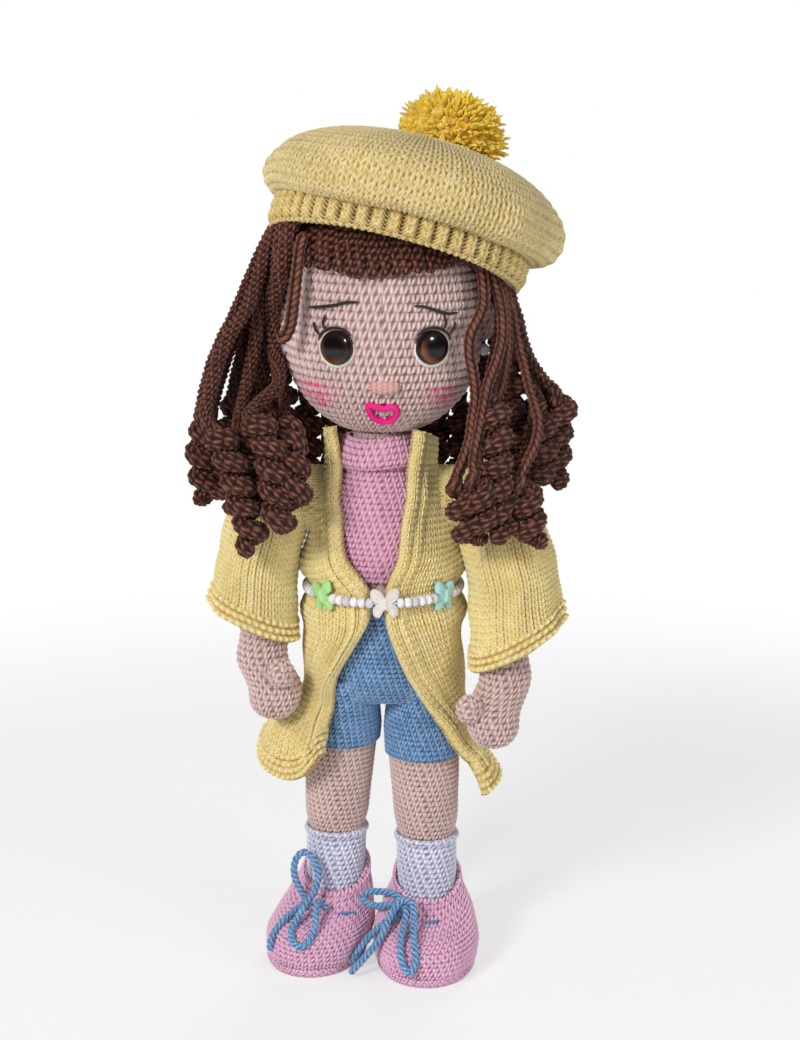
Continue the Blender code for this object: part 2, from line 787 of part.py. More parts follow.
def under_coat(height):
    """Half width and half depth of what the coat goes round at this height."""
    layer = cloth_gap + top_thickness
    if height > crotch_height + gusset_depth:
        return torso_width(height) + layer, torso_depth(height) + layer
    wide, deep = torso_width(crotch_height) + layer, torso_depth(crotch_height) + layer
    for side in SIDES:
        x, y = leg_place(side, max(height, shorts_hem_height))
        radius = leg_radius(max(height, shorts_hem_height)) + cloth_gap + shorts_thickness
        wide = max(wide, abs(x) + radius)
        deep = max(deep, abs(y) + radius)
    return wide, deep


def coat_halves(height):
    share = height / coat_neck_height
    wide, deep = under_coat(height)
    side = interpolated(coat_ease_height_shares, coat_side_ease_shares, share)
    front = interpolated(coat_ease_height_shares, coat_front_ease_shares, share)
    return wide + coat_ease * side, deep + coat_ease * front


def coat_side_reach():
    """The widest that the coat is between the belt and the hips, where the hands hang."""
    return max(coat_halves(z)[0] for z in np.linspace(crotch_height, belt_height, coat_rows)) + coat_thickness


def smooth(value):
    value = min(max(value, 0.0), 1.0)
    return value * value * (3 - 2 * value)


def coat_point(angle, height, lift):
    """A point of the coat: angle 0 is the front and positive angles go to the doll's left."""
    wide, deep = coat_halves(height)
    share = height / coat_neck_height
    turn = math.degrees(angle) % 360
    low = smooth((coat_fold_top_share - share) / coat_fold_fade_share)
    fold = coat_fold_depth * low * (1 + math.cos(coat_fold_count * angle)) / 2 * math.cos(angle) ** 2
    right = math.exp(-(((turn - coat_flare_right_degrees) / coat_flare_right_spread_degrees) ** 2))
    left = math.exp(-(((turn - coat_flare_left_degrees) / coat_flare_left_spread_degrees) ** 2))
    right *= smooth((coat_flare_right_top_share - share) / coat_flare_right_fade_share)
    left *= smooth((coat_flare_left_top_share - share) / coat_flare_left_fade_share)
    out = lift + fold + coat_flare_right * right + coat_flare_left * left
    return (wide + out) * math.sin(angle), -(deep + out) * math.cos(angle), height


def coat_row(place_row):
    """Angles and heights of one row of the coat, from its right front edge round the back."""
    share = place_row / coat_rows
    angles, heights = [], []
    for column in range(coat_columns + 1):
        across = column / coat_columns
        hem = coat_neck_height * interpolated(coat_hem_place_shares, coat_hem_height_shares, across)
        heights.append(coat_neck_height + (hem - coat_neck_height) * share)
    right = interpolated(coat_edge_height_shares, coat_right_edge_degrees, heights[0] / coat_neck_height)
    left = interpolated(coat_edge_height_shares, coat_left_edge_degrees, heights[-1] / coat_neck_height)
    for column in range(coat_columns + 1):
        angles.append(-math.radians(right + (360 - left - right) * column / coat_columns))
    return angles, heights


def build_coat(root, looks):
    inner, outer = [], []
    for row in range(coat_rows + 1):
        angles, heights = coat_row(row)
        for column, (angle, height) in enumerate(zip(angles, heights)):
            edge = min(column, coat_columns - column)
            band = coat_band_extra if edge in (0, 1) else 0.0
            inner.append(coat_point(angle, height, 0.0))
            outer.append(coat_point(angle, height, coat_thickness + band))
    wide = coat_columns + 1
    half = len(inner)
    faces = []
    for row in range(coat_rows):
        for column in range(coat_columns):
            a, b = row * wide + column, row * wide + column + 1
            c, d = a + wide, b + wide
            faces.append((a, b, d, c))
            faces.append((half + a, half + c, half + d, half + b))
    for column in range(coat_columns):
        last = coat_rows * wide + column
        faces.append((column, half + column, half + column + 1, column + 1))
        faces.append((last, last + 1, half + last + 1, half + last))
    for row in range(coat_rows):
        for edge in (0, coat_columns):
            a = row * wide + edge
            faces.append((a, a + wide, half + a + wide, half + a))
    coat = solid("coat_body", inner + outer, faces, root, looks["knit"])
    reach = sleeve_reach["left"]
    cut(
        coat,
        rod(
            "coat_armholes",
            (-reach, 0, shoulder_height),
            (reach, 0, shoulder_height),
            arm_root_radius + cloth_gap,
            limb_sides,
            root,
        ),
    )


def sleeve_inner(height):
    """How far out a sleeve's inner side lies, clear of the coat and the beads at any swing."""
    drop = hand_radius * sleeve_bead_drop_share
    side = coat_halves(max(height - drop, belt_height))[0] + coat_thickness
    beads = coat_halves(belt_height)[0] + coat_thickness + belt_clearance + bead_radius * 2
    share = smooth((shoulder_height - height) / (shoulder_height - belt_height - hand_radius))
    floor = coat_side_reach()
    return max(side, floor * share, beads * share) + joint_clearance


def sleeve_rings(side, inset):
    sign = SIDES[side]
    length, reach, depth = sleeve_length[side], sleeve_reach[side], sleeve_half_depth[side]
    top = shoulder_height + sleeve_top_rise
    rings = []
    for drop, inset_share, out_share, deep_share in zip(
        sleeve_drop_shares, sleeve_inset_shares, sleeve_reach_shares, sleeve_depth_shares
    ):
        height = top - length * drop
        if inset and drop == 0.0:
            height -= inset
        low = sleeve_inner(height) + reach * inset_share + inset
        high = reach * out_share - inset
        half = (high - low) / 2
        middle = (high + low) / 2
        forward = hand_forward[side] * sleeve_forward_share * drop
        slope = sleeve_hem_slope_share[side] * drop * drop
        points = []
        for step in range(limb_sides):
            angle = math.tau * step / limb_sides
            fold = sleeve_fold_depth * drop * max(math.cos(angle), 0.0) * math.cos(sleeve_fold_count * angle)
            x = middle + (half + fold) * math.cos(angle)
            y = -forward + (depth * deep_share - inset) * math.sin(angle)
            points.append((sign * x, y, height + slope * (x - middle)))
        rings.append(points if sign > 0 else [points[-step] for step in range(limb_sides)])
    return list(reversed(rings))


def build_sleeve(side, carrier, looks):
    outer = sleeve_rings(side, 0.0)
    inner = sleeve_rings(side, sleeve_thickness)
    sleeve = cup_of("sleeve_" + side, outer[::-1], inner[::-1], carrier, looks["knit"])
    sign = SIDES[side]
    cut(
        sleeve,
        rod(
            "sleeve_root_hole_" + side,
            (sign * arm_root_start(), 0, shoulder_height),
            (sign * (sleeve_inner(shoulder_height) + hand_radius), 0, shoulder_height),
            arm_root_radius + cloth_gap,
            limb_sides,
            carrier,
        ),
    )


# Feet
def build_sock(side, root, looks):
    layer = cloth_gap + sock_thickness
    welt_height = sock_top_height - sock_welt_height
    outer = around_leg(side, levels_between(leg_base, welt_height, leg_levels), layer)
    outer[0] = [(x, y, z - layer) for x, y, z in outer[0]]
    low = around_leg(side, [welt_height], layer + sock_welt)[0]
    outer.append([(x, y, z + sock_welt) for x, y, z in low])
    outer.append(around_leg(side, [sock_top_height], layer + sock_welt)[0])
    inner = around_leg(side, levels_between(leg_base, sock_top_height, leg_levels), cloth_gap)
    inner[0] = [(x, y, z - cloth_gap) for x, y, z in inner[0]]
    cup_of("sock_" + side, outer, inner, root, looks["sock"])


def shoe_bore_radius():
    return max(leg_radius(z) for z in (leg_base, shoe_base + shoe_height)) + cloth_gap * 2 + sock_thickness


def shoe_ring(side, z, forward, half_width, half_length, slope, splay):
    x0, y0 = leg_place(side, leg_base)
    turn = shoe_turn[side]
    points = []
    for step in range(body_sides):
        angle = math.tau * step / body_sides
        x = half_width * math.cos(angle) * (1 - heel_taper_share * math.sin(angle))
        y = -forward + half_length * math.sin(angle)
        rise = z + slope * y
        x, y = x * math.cos(turn) - y * math.sin(turn), x * math.sin(turn) + y * math.cos(turn)
        points.append((x0 + x + splay, y0 + y, rise))
    return points


def build_shoe(side, carrier, looks):
    rings = []
    rows = zip(shoe_height_shares, shoe_forward_shares, shoe_width_shares, shoe_length_shares, shoe_slope_shares)
    for height, forward, width, length, slope in rows:
        rings.append(
            shoe_ring(
                side,
                shoe_base + shoe_height * height,
                shoe_half_length * forward,
                shoe_half_width * width,
                shoe_half_length * length,
                slope,
                shoe_splay[side] * (1 - height),
            )
        )
    rim = shoe_bore_radius() + shoe_wall
    rings.append(shoe_ring(side, shoe_base + shoe_height, 0.0, rim, rim, heel_rise_share, 0.0))
    shoe = loft("shoe_" + side, rings, carrier, looks["shoe"])
    x0, y0 = leg_place(side, leg_base)
    radius = shoe_bore_radius()
    bore = [ring((x0, y0, z), radius, radius, limb_sides) for z in (bore_floor, shoe_base + shoe_height + rim)]
    cut(shoe, loft("shoe_bore_" + side, bore, carrier))
    soles = []
    bevel = sole_thickness * sole_bevel_share
    for z, inset in ((0.0, bevel), (bevel, 0.0), (sole_thickness, 0.0)):
        soles.append(
            shoe_ring(
                side,
                z,
                shoe_half_length * shoe_forward_shares[0],
                shoe_half_width * sole_width_share - inset,
                shoe_half_length * sole_length_share - inset,
                0.0,
                shoe_splay[side],
            )
        )
    loft("sole_" + side, soles, carrier, looks["sole"])
    thread("lace_" + side, lace_points[side], lace_radius, carrier, looks["lace"])


# Belt
def belt_place(angle):
    wide, deep = coat_halves(belt_height)
    out = coat_thickness + coat_band_extra + seat_clearance + bead_radius
    side = coat_thickness + belt_clearance + bead_radius
    return Vector(((wide + side) * math.sin(angle), -(deep + out) * math.cos(angle), belt_height))


def build_belt(root, looks):
    angles = [math.tau * step / belt_samples for step in range(belt_samples + 1)]
    places = [belt_place(angle) for angle in angles]
    lengths = [0.0]
    for first, second in zip(places, places[1:]):
        lengths.append(lengths[-1] + (second - first).length)
    total = lengths[-1]

    def angle_at(length):
        return float(np.interp(length % total, lengths, angles))

    wide = coat_halves(belt_height)[0] + coat_thickness + seat_clearance + bead_radius
    middles = {}
    for name, side in butterfly_places.items():
        angle = math.asin(side / wide)
        middles[name] = float(np.interp(angle % math.tau, angles, lengths))
    order = sorted(middles, key=lambda name: middles[name])
    marks = []
    for index, name in enumerate(order):
        start = middles[name] + butterfly_half_width
        following = order[(index + 1) % len(order)]
        stop = middles[following] - butterfly_half_width
        if stop <= start:
            stop += total
        marks.append((start, string_radius))
        count = int((stop - start) / bead_length)
        pitch = (stop - start) / count
        for bead in range(count):
            for share, width in zip(bead_length_shares, bead_width_shares):
                marks.append((start + pitch * (bead + share), bead_radius * width))
        marks.append((stop, string_radius))
    rings = []
    for length, radius in marks:
        angle = angle_at(length)
        place = belt_place(angle)
        outwards = Vector((math.sin(angle) * wide, -math.cos(angle) * wide, 0)).normalized()
        up = Vector((0, 0, 1))
        turns = [math.tau * side / thread_sides for side in range(thread_sides)]
        rings.append([place + outwards * radius * math.cos(a) + up * radius * math.sin(a) for a in turns])
    points = [point for row in rings for point in row]
    solid("belt_beads", points, bands(rings, closed=True), root, looks["bead"])
    for name, middle in middles.items():
        ends = [belt_place(angle_at(middle + half)) for half in (-butterfly_half_width, butterfly_half_width)]
        build_butterfly(name, *ends, root, looks)


def build_butterfly(name, start, end, root, looks):
    place = (start + end) / 2
    along = (end - start).normalized()
    out = along.cross(Vector((0, 0, 1)))
    up = Vector((0, 0, 1))
    shares = list(zip(butterfly_across_shares, butterfly_up_shares))
    outline = shares + [(-across, rise) for across, rise in reversed(shares[1:-1])]
    points = []
    for side in (-butterfly_thickness / 2, butterfly_thickness / 2):
        for across, rise in outline:
            points.append(
                place
                + along * butterfly_half_width * butterfly_wing_share * across
                + up * butterfly_half_height * rise
                + out * side
            )
    count = len(outline)
    faces = [tuple(range(count)), tuple(reversed(range(count, 2 * count)))]
    for step in range(count):
        after = (step + 1) % count
        faces.append((step, after, count + after, count + step))
    wings = solid("butterfly_" + name, points, faces, root, looks[name])
    reach = butterfly_half_width + cut_overrun
    cut(
        wings,
        rod(
            "butterfly_hole_" + name,
            place - along * reach,
            place + along * reach,
            string_radius + butterfly_hole_clearance,
            thread_sides,
            root,
        ),
    )


# Face
def build_face(head, carrier, looks):
    for side, sign in SIDES.items():
        build_eye(side, sign, head, carrier, looks)
        build_brow(side, sign, carrier, looks)
        build_ear(side, sign, carrier, looks)
    place, _ = face_point(0.0, head_base + head_height * nose_height_share)
    nose = ball(
        "nose",
        place,
        (nose_half_width, nose_reach, nose_half_height),
        small_sides,
        thread_sides,
        carrier,
        looks["nose"],
    )
    cut(nose, loft("nose_seat", head_rings(sewn_gap), carrier))
    points = []
    steps = small_sides
    for step in range(steps):
        angle = math.tau * step / steps
        height = head_base + head_height * mouth_height_share + mouth_half_height * math.sin(angle)
        place, _ = face_point(mouth_half_width * math.cos(angle), height, mouth_thread_radius + sewn_gap)
        points.append(place)
    rings = []
    for step, place in enumerate(points):
        along = (points[(step + 1) % steps] - points[step - 1]).normalized()
        _, facing = face_point(place.x, place.z)
        out = (facing - along * facing.dot(along)).normalized()
        across = along.cross(out)
        turns = [math.tau * side / thread_sides for side in range(thread_sides)]
        rings.append(
            [place + (out * math.cos(a) + across * math.sin(a)) * mouth_thread_radius for a in turns]
        )
    flat = [point for row in rings for point in row]
    solid("mouth", flat, bands(rings, closed=True), carrier, looks["mouth"])


def eye_seat(sign):
    """The middle of an eye on the head, and the way it faces."""
    return face_point(sign * head_half_width * eye_side_share, head_base + head_height * eye_height_share)


def build_eye(side, sign, head, carrier, looks):
    place, facing = eye_seat(sign)
    seat = backing_radius ** 2 / head_half_width
    inward = -facing
    floor = place + inward * seat
    shift = Vector((sign, 0, -1))
    shift = (shift - facing * shift.dot(facing)).normalized() * backing_shift
    seat_radius = backing_radius + backing_shift + sewn_gap
    seat_end = floor + facing * (seat + cut_overrun)
    cut(
        head,
        rod("eye_seat_" + side, floor, seat_end, seat_radius, body_sides, carrier),
        rod(
            "eye_post_bore_" + side,
            floor + inward * (eye_post_length + sewn_gap),
            floor + facing * cut_overrun,
            eye_post_radius + sewn_gap,
            small_sides,
            carrier,
        ),
        rod(
            "washer_room_" + side,
            floor + inward * (washer_depth + washer_thickness + sewn_gap),
            floor + inward * (washer_depth - sewn_gap),
            washer_radius + sewn_gap,
            small_sides,
            carrier,
        ),
    )
    back = floor + facing * sewn_gap
    low = back + shift
    high = low + facing * backing_thickness
    backing = rod("eye_backing_" + side, low, high, backing_radius, body_sides, carrier, looks["felt"])
    ends = back - facing * cut_overrun, back + facing * cut_overrun
    cut(backing, rod("backing_hole_" + side, *ends, eye_post_radius + sewn_gap, small_sides, carrier))
    rear = back + facing * (backing_thickness + sewn_gap)
    dome = eye_radius * eye_dome_share
    profile = [(0.0, eye_radius), (eye_flange, eye_radius)]
    for degrees in eye_dome_degrees:
        angle = math.radians(degrees)
        profile.append((eye_flange + dome * math.sin(angle), eye_radius * math.cos(angle)))
    eye = turned("eye_" + side, profile, rear, facing, body_sides, carrier, looks["eye"])
    post_end = floor + inward * eye_post_length
    flange = rear + facing * eye_flange
    join(eye, rod("eye_post_" + side, post_end, flange, eye_post_radius, small_sides, carrier))
    start = floor + inward * (washer_depth + washer_thickness)
    end = start + facing * washer_thickness
    washer = rod("eye_washer_" + side, start, end, washer_radius, small_sides, carrier, looks["washer"])
    cut(
        washer,
        rod(
            "washer_hole_" + side,
            start + inward * cut_overrun,
            start + facing * (washer_thickness + cut_overrun),
            eye_post_radius + sewn_gap,
            small_sides,
            carrier,
        ),
    )
    build_lashes(side, sign, place, carrier, looks)


def build_lashes(side, sign, middle, carrier, looks):
    """A lid line over the eye, with two lashes at its outer end."""
    around = backing_radius + backing_shift + sewn_gap + lash_thread_radius * 2
    lift = lash_thread_radius + sewn_gap

    def on_head(angle, radius):
        out, up = radius * math.cos(angle), radius * math.sin(angle)
        return face_point(middle.x + sign * out, middle.z + up, lift)[0]

    lid_angles = np.linspace(math.radians(lid_start_degrees), math.radians(lid_end_degrees), lid_points)
    path = [on_head(a, around) for a in lid_angles]
    lid = swept("lashes_" + side, path, lash_thread_radius, thread_sides, carrier, looks["lash"])
    spread = math.radians(lid_start_degrees) / 2
    bend = spread * lash_bend_share
    for number, angle in enumerate((lid_angles[0], lid_angles[1] + bend)):
        path = [on_head(angle - bend * share, around + lash_length * share) for share in lash_length_shares]
        lash = swept("lash_" + side + str(number), path, lash_thread_radius, thread_sides, carrier)
        join(lid, lash)


def build_brow(side, sign, carrier, looks):
    path = []
    for share in np.linspace(0.0, 1.0, brow_points):
        across = brow_outer_side_share + (brow_inner_side_share - brow_outer_side_share) * share
        height = brow_outer_height_share + (brow_inner_height_share - brow_outer_height_share) * share
        lift = brow_thread_radius + sewn_gap
        path.append(face_point(sign * head_half_width * across, head_base + head_height * height, lift)[0])
    swept("eyebrow_" + side, path, brow_thread_radius, thread_sides, carrier, looks["lash"])


def build_ear(side, sign, carrier, looks):
    height = head_base + head_height * ear_height_share
    inner = head_width(height)
    ear = ball(
        "ear_" + side,
        (sign * inner, -ear_half_depth * ear_forward_share, height),
        (ear_reach, ear_half_depth, ear_half_height),
        small_sides,
        thread_sides,
        carrier,
        looks["skin"],
    )
    cut(ear, loft("ear_seat_" + side, head_rings(sewn_gap), carrier))
    level = height - ear_half_height - pearl_gap - pearl_radius
    out = head_width(level) * math.sqrt(1 - (pearl_forward / head_half_depth) ** 2) + pearl_radius
    place = sign * out, -pearl_forward, level
    ball("earring_" + side, place, (pearl_radius,) * 3, pearl_sides, pearl_rows, carrier, looks["pearl"])


# Hair
def wig_edge(y):
    """Height of the cap's lower edge at a distance in front of or behind the middle."""
    front = head_base + head_height * wig_front_height_share
    back = head_base + head_height * wig_back_height_share
    share = (y + head_half_depth) / (2 * head_half_depth)
    return front + (back - front) * share


def build_wig(carrier, looks):
    wig = loft("wig_cap", head_rings(sewn_gap + wig_thickness), carrier, looks["hair"])
    reach = head_half_width + wig_thickness + cut_overrun
    low = head_base - reach
    points = []
    for x in (-reach, reach):
        for y in (-reach, reach):
            points.append((x, y, low))
            points.append((x, y, wig_edge(y)))
    faces = [(0, 1, 3, 2), (4, 6, 7, 5), (0, 4, 5, 1), (2, 3, 7, 6), (0, 2, 6, 4), (1, 5, 7, 3)]
    cut(wig, loft("wig_hollow", head_rings(sewn_gap), carrier), solid("wig_trim", points, faces, carrier))
    build_fringe(carrier, looks)


def fringe_top(angle, lift):
    """Where a surface lifted off the forehead meets the cap's lower edge, less a gap."""
    height = head_base + head_height * fringe_low_height_share
    while wig_edge(-(head_width(height) * head_depth_share + lift) * math.cos(angle)) - height > 2 * seat_clearance:
        height += sewn_gap * fringe_search_share
    return height


def build_fringe(carrier, looks):
    columns, rows = fringe_columns, fringe_rows
    low = head_base + head_height * fringe_low_height_share
    inner, outer = [], []
    for row in range(rows + 1):
        for column in range(columns + 1):
            angle = math.radians(fringe_span_degrees) * (2 * column / columns - 1)
            for lift, found in ((seat_clearance, inner), (seat_clearance + wig_thickness, outer)):
                high = fringe_top(angle, lift)
                height = low + (high - low) * row / rows
                width = head_width(height) + lift
                depth = head_width(height) * head_depth_share + lift
                found.append((width * math.sin(angle), -depth * math.cos(angle), height))
    wide = columns + 1
    half = len(inner)
    faces = []
    for row in range(rows):
        for column in range(columns):
            a = row * wide + column
            faces.append((a, a + 1, a + wide + 1, a + wide))
            faces.append((half + a, half + a + wide, half + a + wide + 1, half + a + 1))
    for column in range(columns):
        last = rows * wide + column
        faces.append((column, half + column, half + column + 1, column + 1))
        faces.append((last, last + 1, half + last + 1, half + last))
    for row in range(rows):
        for edge in (0, columns):
            a = row * wide + edge
            faces.append((a, a + wide, half + a + wide, half + a))
    solid("fringe", inner + outer, faces, carrier, looks["hair"])


def hair_floor(height, angle):
    """How far from the head's axis a strand's middle lies when it rests on the head or cap."""
    depth = head_width(height) * head_depth_share
    over_cap = height > wig_edge(-depth * math.cos(angle)) - strand_radius - joint_clearance
    layer = hair_clearance + (sewn_gap + wig_thickness if over_cap else 0.0) + strand_radius
    rows = head_profile(layer)
    width = interpolated([row[0] for row in rows], [row[1] for row in rows], height)
    if height < head_base:
        width = layer
    deep = width - head_half_width + head_half_depth
    return 1 / math.sqrt((math.sin(angle) / width) ** 2 + (math.cos(angle) / deep) ** 2)


def strand_path(shares):
    root, fall, radius_share, top_share, end_share = shares
    root, fall = math.radians(root), math.radians(fall)
    fall_radius = head_half_width * radius_share
    top, end = neck_height * top_share, neck_height * end_share
    start = band_edge(hair_floor(head_base + head_height * eye_height_share, root), root) - sewn_gap
    start -= strand_radius * strand_drop_share
    first = hair_floor(start, root)
    path = []
    for step in range(strand_fall_points):
        share = step / strand_fall_points
        height = start + (top - start) * share
        angle = root + (fall - root) * smooth((share - strand_swing_share) / (1 - strand_swing_share))
        radius = max(first + (fall_radius - first) * share, hair_floor(height, angle))
        path.append(Vector((radius * math.sin(angle), -radius * math.cos(angle), height)))
    core = Vector((fall_radius * math.sin(fall), -fall_radius * math.cos(fall), 0))
    hand = 1 if fall > 0 else -1
    count = round((top - end) / ringlet_pitch * ringlet_points)
    for step in range(count + 1):
        turn = math.tau * step / ringlet_points * hand
        grown = ringlet_radius * min(step * 2 / ringlet_points, 1.0)
        place = core + Vector((grown * math.cos(turn), grown * math.sin(turn), 0))
        path.append(place + Vector((0, 0, top + (end - top) * step / count)))
    return path


def least_gap(path, radius):
    """Clear distance between parts of a tube that are three quarters of a ringlet apart."""
    points = np.array([tuple(point) for point in path])
    apart = ringlet_points * 3 // 4
    found = []
    for step in range(len(points) - apart):
        away = np.linalg.norm(points[step + apart:] - points[step], axis=1)
        found.append(away.min())
    return min(found) - radius * 2


def build_strands(carrier, looks):
    gaps = []
    for name, shares in strand_shares.items():
        path = strand_path(shares)
        gaps.append(least_gap(path, strand_radius))
        thread(name, path, strand_radius, carrier, looks["hair"])
    print("Least gap of a ringlet to itself:", round(min(gaps) * 1000, 2), "mm")


# Beret
def hat_axes():
    level = math.cos(hat_roll)
    axis = Vector((math.sin(hat_roll), math.sin(hat_pitch) * level, math.cos(hat_pitch) * level))
    across = Vector((math.cos(hat_roll), 0, -math.sin(hat_roll)))
    across = (across - axis * across.dot(axis)).normalized()
    return across, axis.cross(across), axis.normalized()


def hat_middle():
    return Vector((hat_side, hat_back, head_base + head_height - head_height * hat_sink_share))


def hat_ring(height, half_width, half_depth, side=0.0, ribs=0.0):
    across, back, axis = hat_axes()
    middle = hat_middle() + axis * height + across * side
    points = []
    for step in range(hat_sides):
        angle = math.tau * step / hat_sides
        grow = ribs if step % 2 else 0.0
        points.append(
            middle + across * (half_width + grow) * math.cos(angle) + back * (half_depth + grow) * math.sin(angle)
        )
    return points


def band_inner():
    layer = sewn_gap + wig_thickness + hair_room
    return head_half_width + layer, head_half_depth + layer


def crown_bottom():
    return crown_half_height * crown_height_shares[0]


def band_edge(radius, angle):
    """Height of the band's lower edge at a place round the head."""
    _, _, axis = hat_axes()
    low = hat_middle() + axis * (crown_bottom() - sewn_gap - band_height)
    place = Vector((radius * math.sin(angle), -radius * math.cos(angle), 0))
    return low.z - ((place.x - low.x) * axis.x + (place.y - low.y) * axis.y) / axis.z


def crown_rings(lift=0.0):
    wide, deep = band_inner()
    grow = band_thickness + crown_overhang + lift
    rings = []
    for height, width in zip(crown_height_shares, crown_width_shares):
        rings.append(hat_ring((crown_half_height + lift) * height, (wide + grow) * width, (deep + grow) * width))
    return rings


def build_hat(carrier, looks):
    crown = loft("hat_crown", crown_rings(), carrier, looks["knit"])
    cut(
        crown,
        loft("hat_inside", crown_rings(-crown_wall)[::2], carrier),
        loft("hat_head_hole", head_rings(sewn_gap + wig_thickness + cloth_gap), carrier),
    )
    wide, deep = band_inner()
    top = crown_bottom() - sewn_gap
    outer, inner = [], []
    for share, thickness_share in band_edge_shares:
        level = top - band_height * share
        thick = band_thickness * thickness_share
        outer.append(hat_ring(level, wide + thick, deep + thick, band_side_shift, band_rib_depth))
    for share in (1.0, 0.0):
        inner.append(hat_ring(top - band_height * share, wide, deep, band_side_shift))
    sleeve_of("hat_band", outer, inner, carrier, looks["knit"])
    across, back, axis = hat_axes()
    middle = hat_middle() + across * pompom_radius * pompom_side_share
    middle += axis * (crown_half_height + pompom_radius * pompom_height_share * pompom_lift_share)
    rings = []
    for row in range(pompom_rows):
        angle = -math.pi / 2 + math.pi * (row + 0.5) / pompom_rows
        points = []
        for step in range(limb_sides):
            turn = math.tau * step / limb_sides
            lump = pompom_lump * math.sin(pompom_lump_turns * turn + row) * math.cos(pompom_twist_turns * (turn + row))
            radius = (pompom_radius + lump) * math.cos(angle)
            up = pompom_radius * pompom_height_share * math.sin(angle)
            points.append(middle + across * radius * math.cos(turn) + back * radius * math.sin(turn) + axis * up)
        rings.append(points)
    pompom = loft("pompom", rings, carrier, looks["pompom"])
    cut(pompom, loft("pompom_seat", crown_rings(sewn_gap), carrier))


def looks_of_doll():
    return {
        "skin": finish("skin_yarn", (0.61, 0.44, 0.38), 0.9),
        "nose": finish("nose_yarn", (0.66, 0.42, 0.38), 0.9),
        "wood": finish("dowel_wood", (0.60, 0.45, 0.28), 0.6),
        "thread": finish("arm_thread", (0.75, 0.70, 0.62), 0.8),
        "pink": finish("pink_yarn", (0.80, 0.36, 0.50), 0.9),
        "denim": finish("blue_yarn", (0.13, 0.27, 0.50), 0.9),
        "knit": finish("yellow_yarn", (0.82, 0.66, 0.26), 0.85),
        "pompom": finish("pompom_yarn", (0.90, 0.68, 0.12), 0.85),
        "sock": finish("white_yarn", (0.72, 0.70, 0.82), 0.85),
        "shoe": finish("mauve_yarn", (0.62, 0.30, 0.42), 0.9),
        "sole": finish("sole_yarn", (0.60, 0.32, 0.42), 0.9),
        "lace": finish("lace_cotton", (0.12, 0.32, 0.58), 0.7),
        "bead": finish("white_bead", (0.85, 0.84, 0.84), 0.25),
        "green": finish("green_bead", (0.40, 0.78, 0.32), 0.25),
        "white": finish("white_butterfly", (0.78, 0.72, 0.66), 0.3),
        "teal": finish("teal_bead", (0.35, 0.72, 0.70), 0.25),
        "eye": finish("eye_plastic", (0.05, 0.02, 0.012), 0.08),
        "washer": finish("washer_plastic", (0.8, 0.8, 0.8), 0.4),
        "felt": finish("white_felt", (0.88, 0.87, 0.85), 0.95),
        "mouth": finish("magenta_thread", (0.82, 0.01, 0.24), 0.6),
        "lash": finish("black_thread", (0.02, 0.012, 0.012), 0.7),
        "pearl": finish("pearl", (0.85, 0.83, 0.85), 0.2),
        "hair": finish("brown_yarn", (0.13, 0.045, 0.03), 0.9),
    }


def centre_on_floor(root, left_out):
    """Moves the root so that the doll's box, without its laces, stands centred on the origin."""
    bpy.context.view_layer.update()
    graph = bpy.context.evaluated_depsgraph_get()
    corners = []
    for item in bpy.data.objects:
        if item.hide_render or item.type == "EMPTY" or item.name in left_out:
            continue
        evaluated = item.evaluated_get(graph)
        mesh = evaluated.to_mesh()
        found = np.empty(len(mesh.vertices) * 3, np.float32)
        mesh.vertices.foreach_get("co", found)
        world = np.array(evaluated.matrix_world)
        corners.append(found.reshape(-1, 3) @ world[:3, :3].T + world[:3, 3])
        evaluated.to_mesh_clear()
    corners = np.vstack(corners)
    low, high = corners.min(axis=0), corners.max(axis=0)
    root.location.x -= float(low[0] + high[0]) / 2
    root.location.y -= float(low[1] + high[1]) / 2
    print("Doll moved by", [round(value * 1000, 3) for value in root.location], "mm")


def main():
    clear_scene()
    looks = looks_of_doll()
    root = pivot("doll", (0, 0, 0))
    head_pivot = pivot("head_pivot", (0, 0, neck_height), root)
    hat_pivot = pivot("hat_pivot", hat_middle(), head_pivot)
    arms, shoes = {}, {}
    for side, sign in SIDES.items():
        arms[side] = pivot("shoulder_pivot_" + side, (sign * arm_root_start(), 0, shoulder_height), root)
        x0, y0 = leg_place(side, leg_base)
        shoes[side] = pivot("shoe_pivot_" + side, (x0, y0, 0), root)
    head = loft("head", head_rings(), head_pivot, looks["skin"])
    cut(
        head,
        rod(
            "head_dowel_bore",
            (0, 0, head_base - cut_overrun),
            (0, 0, head_base + dowel_depth + sewn_gap),
            dowel_radius + sewn_gap,
            small_sides,
            head_pivot,
        ),
    )
    build_body(root, head, arms, looks)
    build_face(head, head_pivot, looks)
    build_wig(head_pivot, looks)
    build_strands(head_pivot, looks)
    build_hat(hat_pivot, looks)
    build_top(root, looks)
    build_shorts(root, looks)
    build_coat(root, looks)
    build_belt(root, looks)
    for side in SIDES:
        build_sleeve(side, arms[side], looks)
        build_sock(side, root, looks)
        build_shoe(side, shoes[side], looks)
    centre_on_floor(root, ("lace_left", "lace_right"))


main()
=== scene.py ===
"""A crocheted doll in a beret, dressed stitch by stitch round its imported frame.

Sizes are millimetres in the doll's own frame until a mesh is made. The doll faces -Y, its own left
side is at +X, and heights are measured from the floor that its soles stand on.
"""
import logging
import math
from dataclasses import dataclass
from enum import Enum
from typing import Callable, Sequence

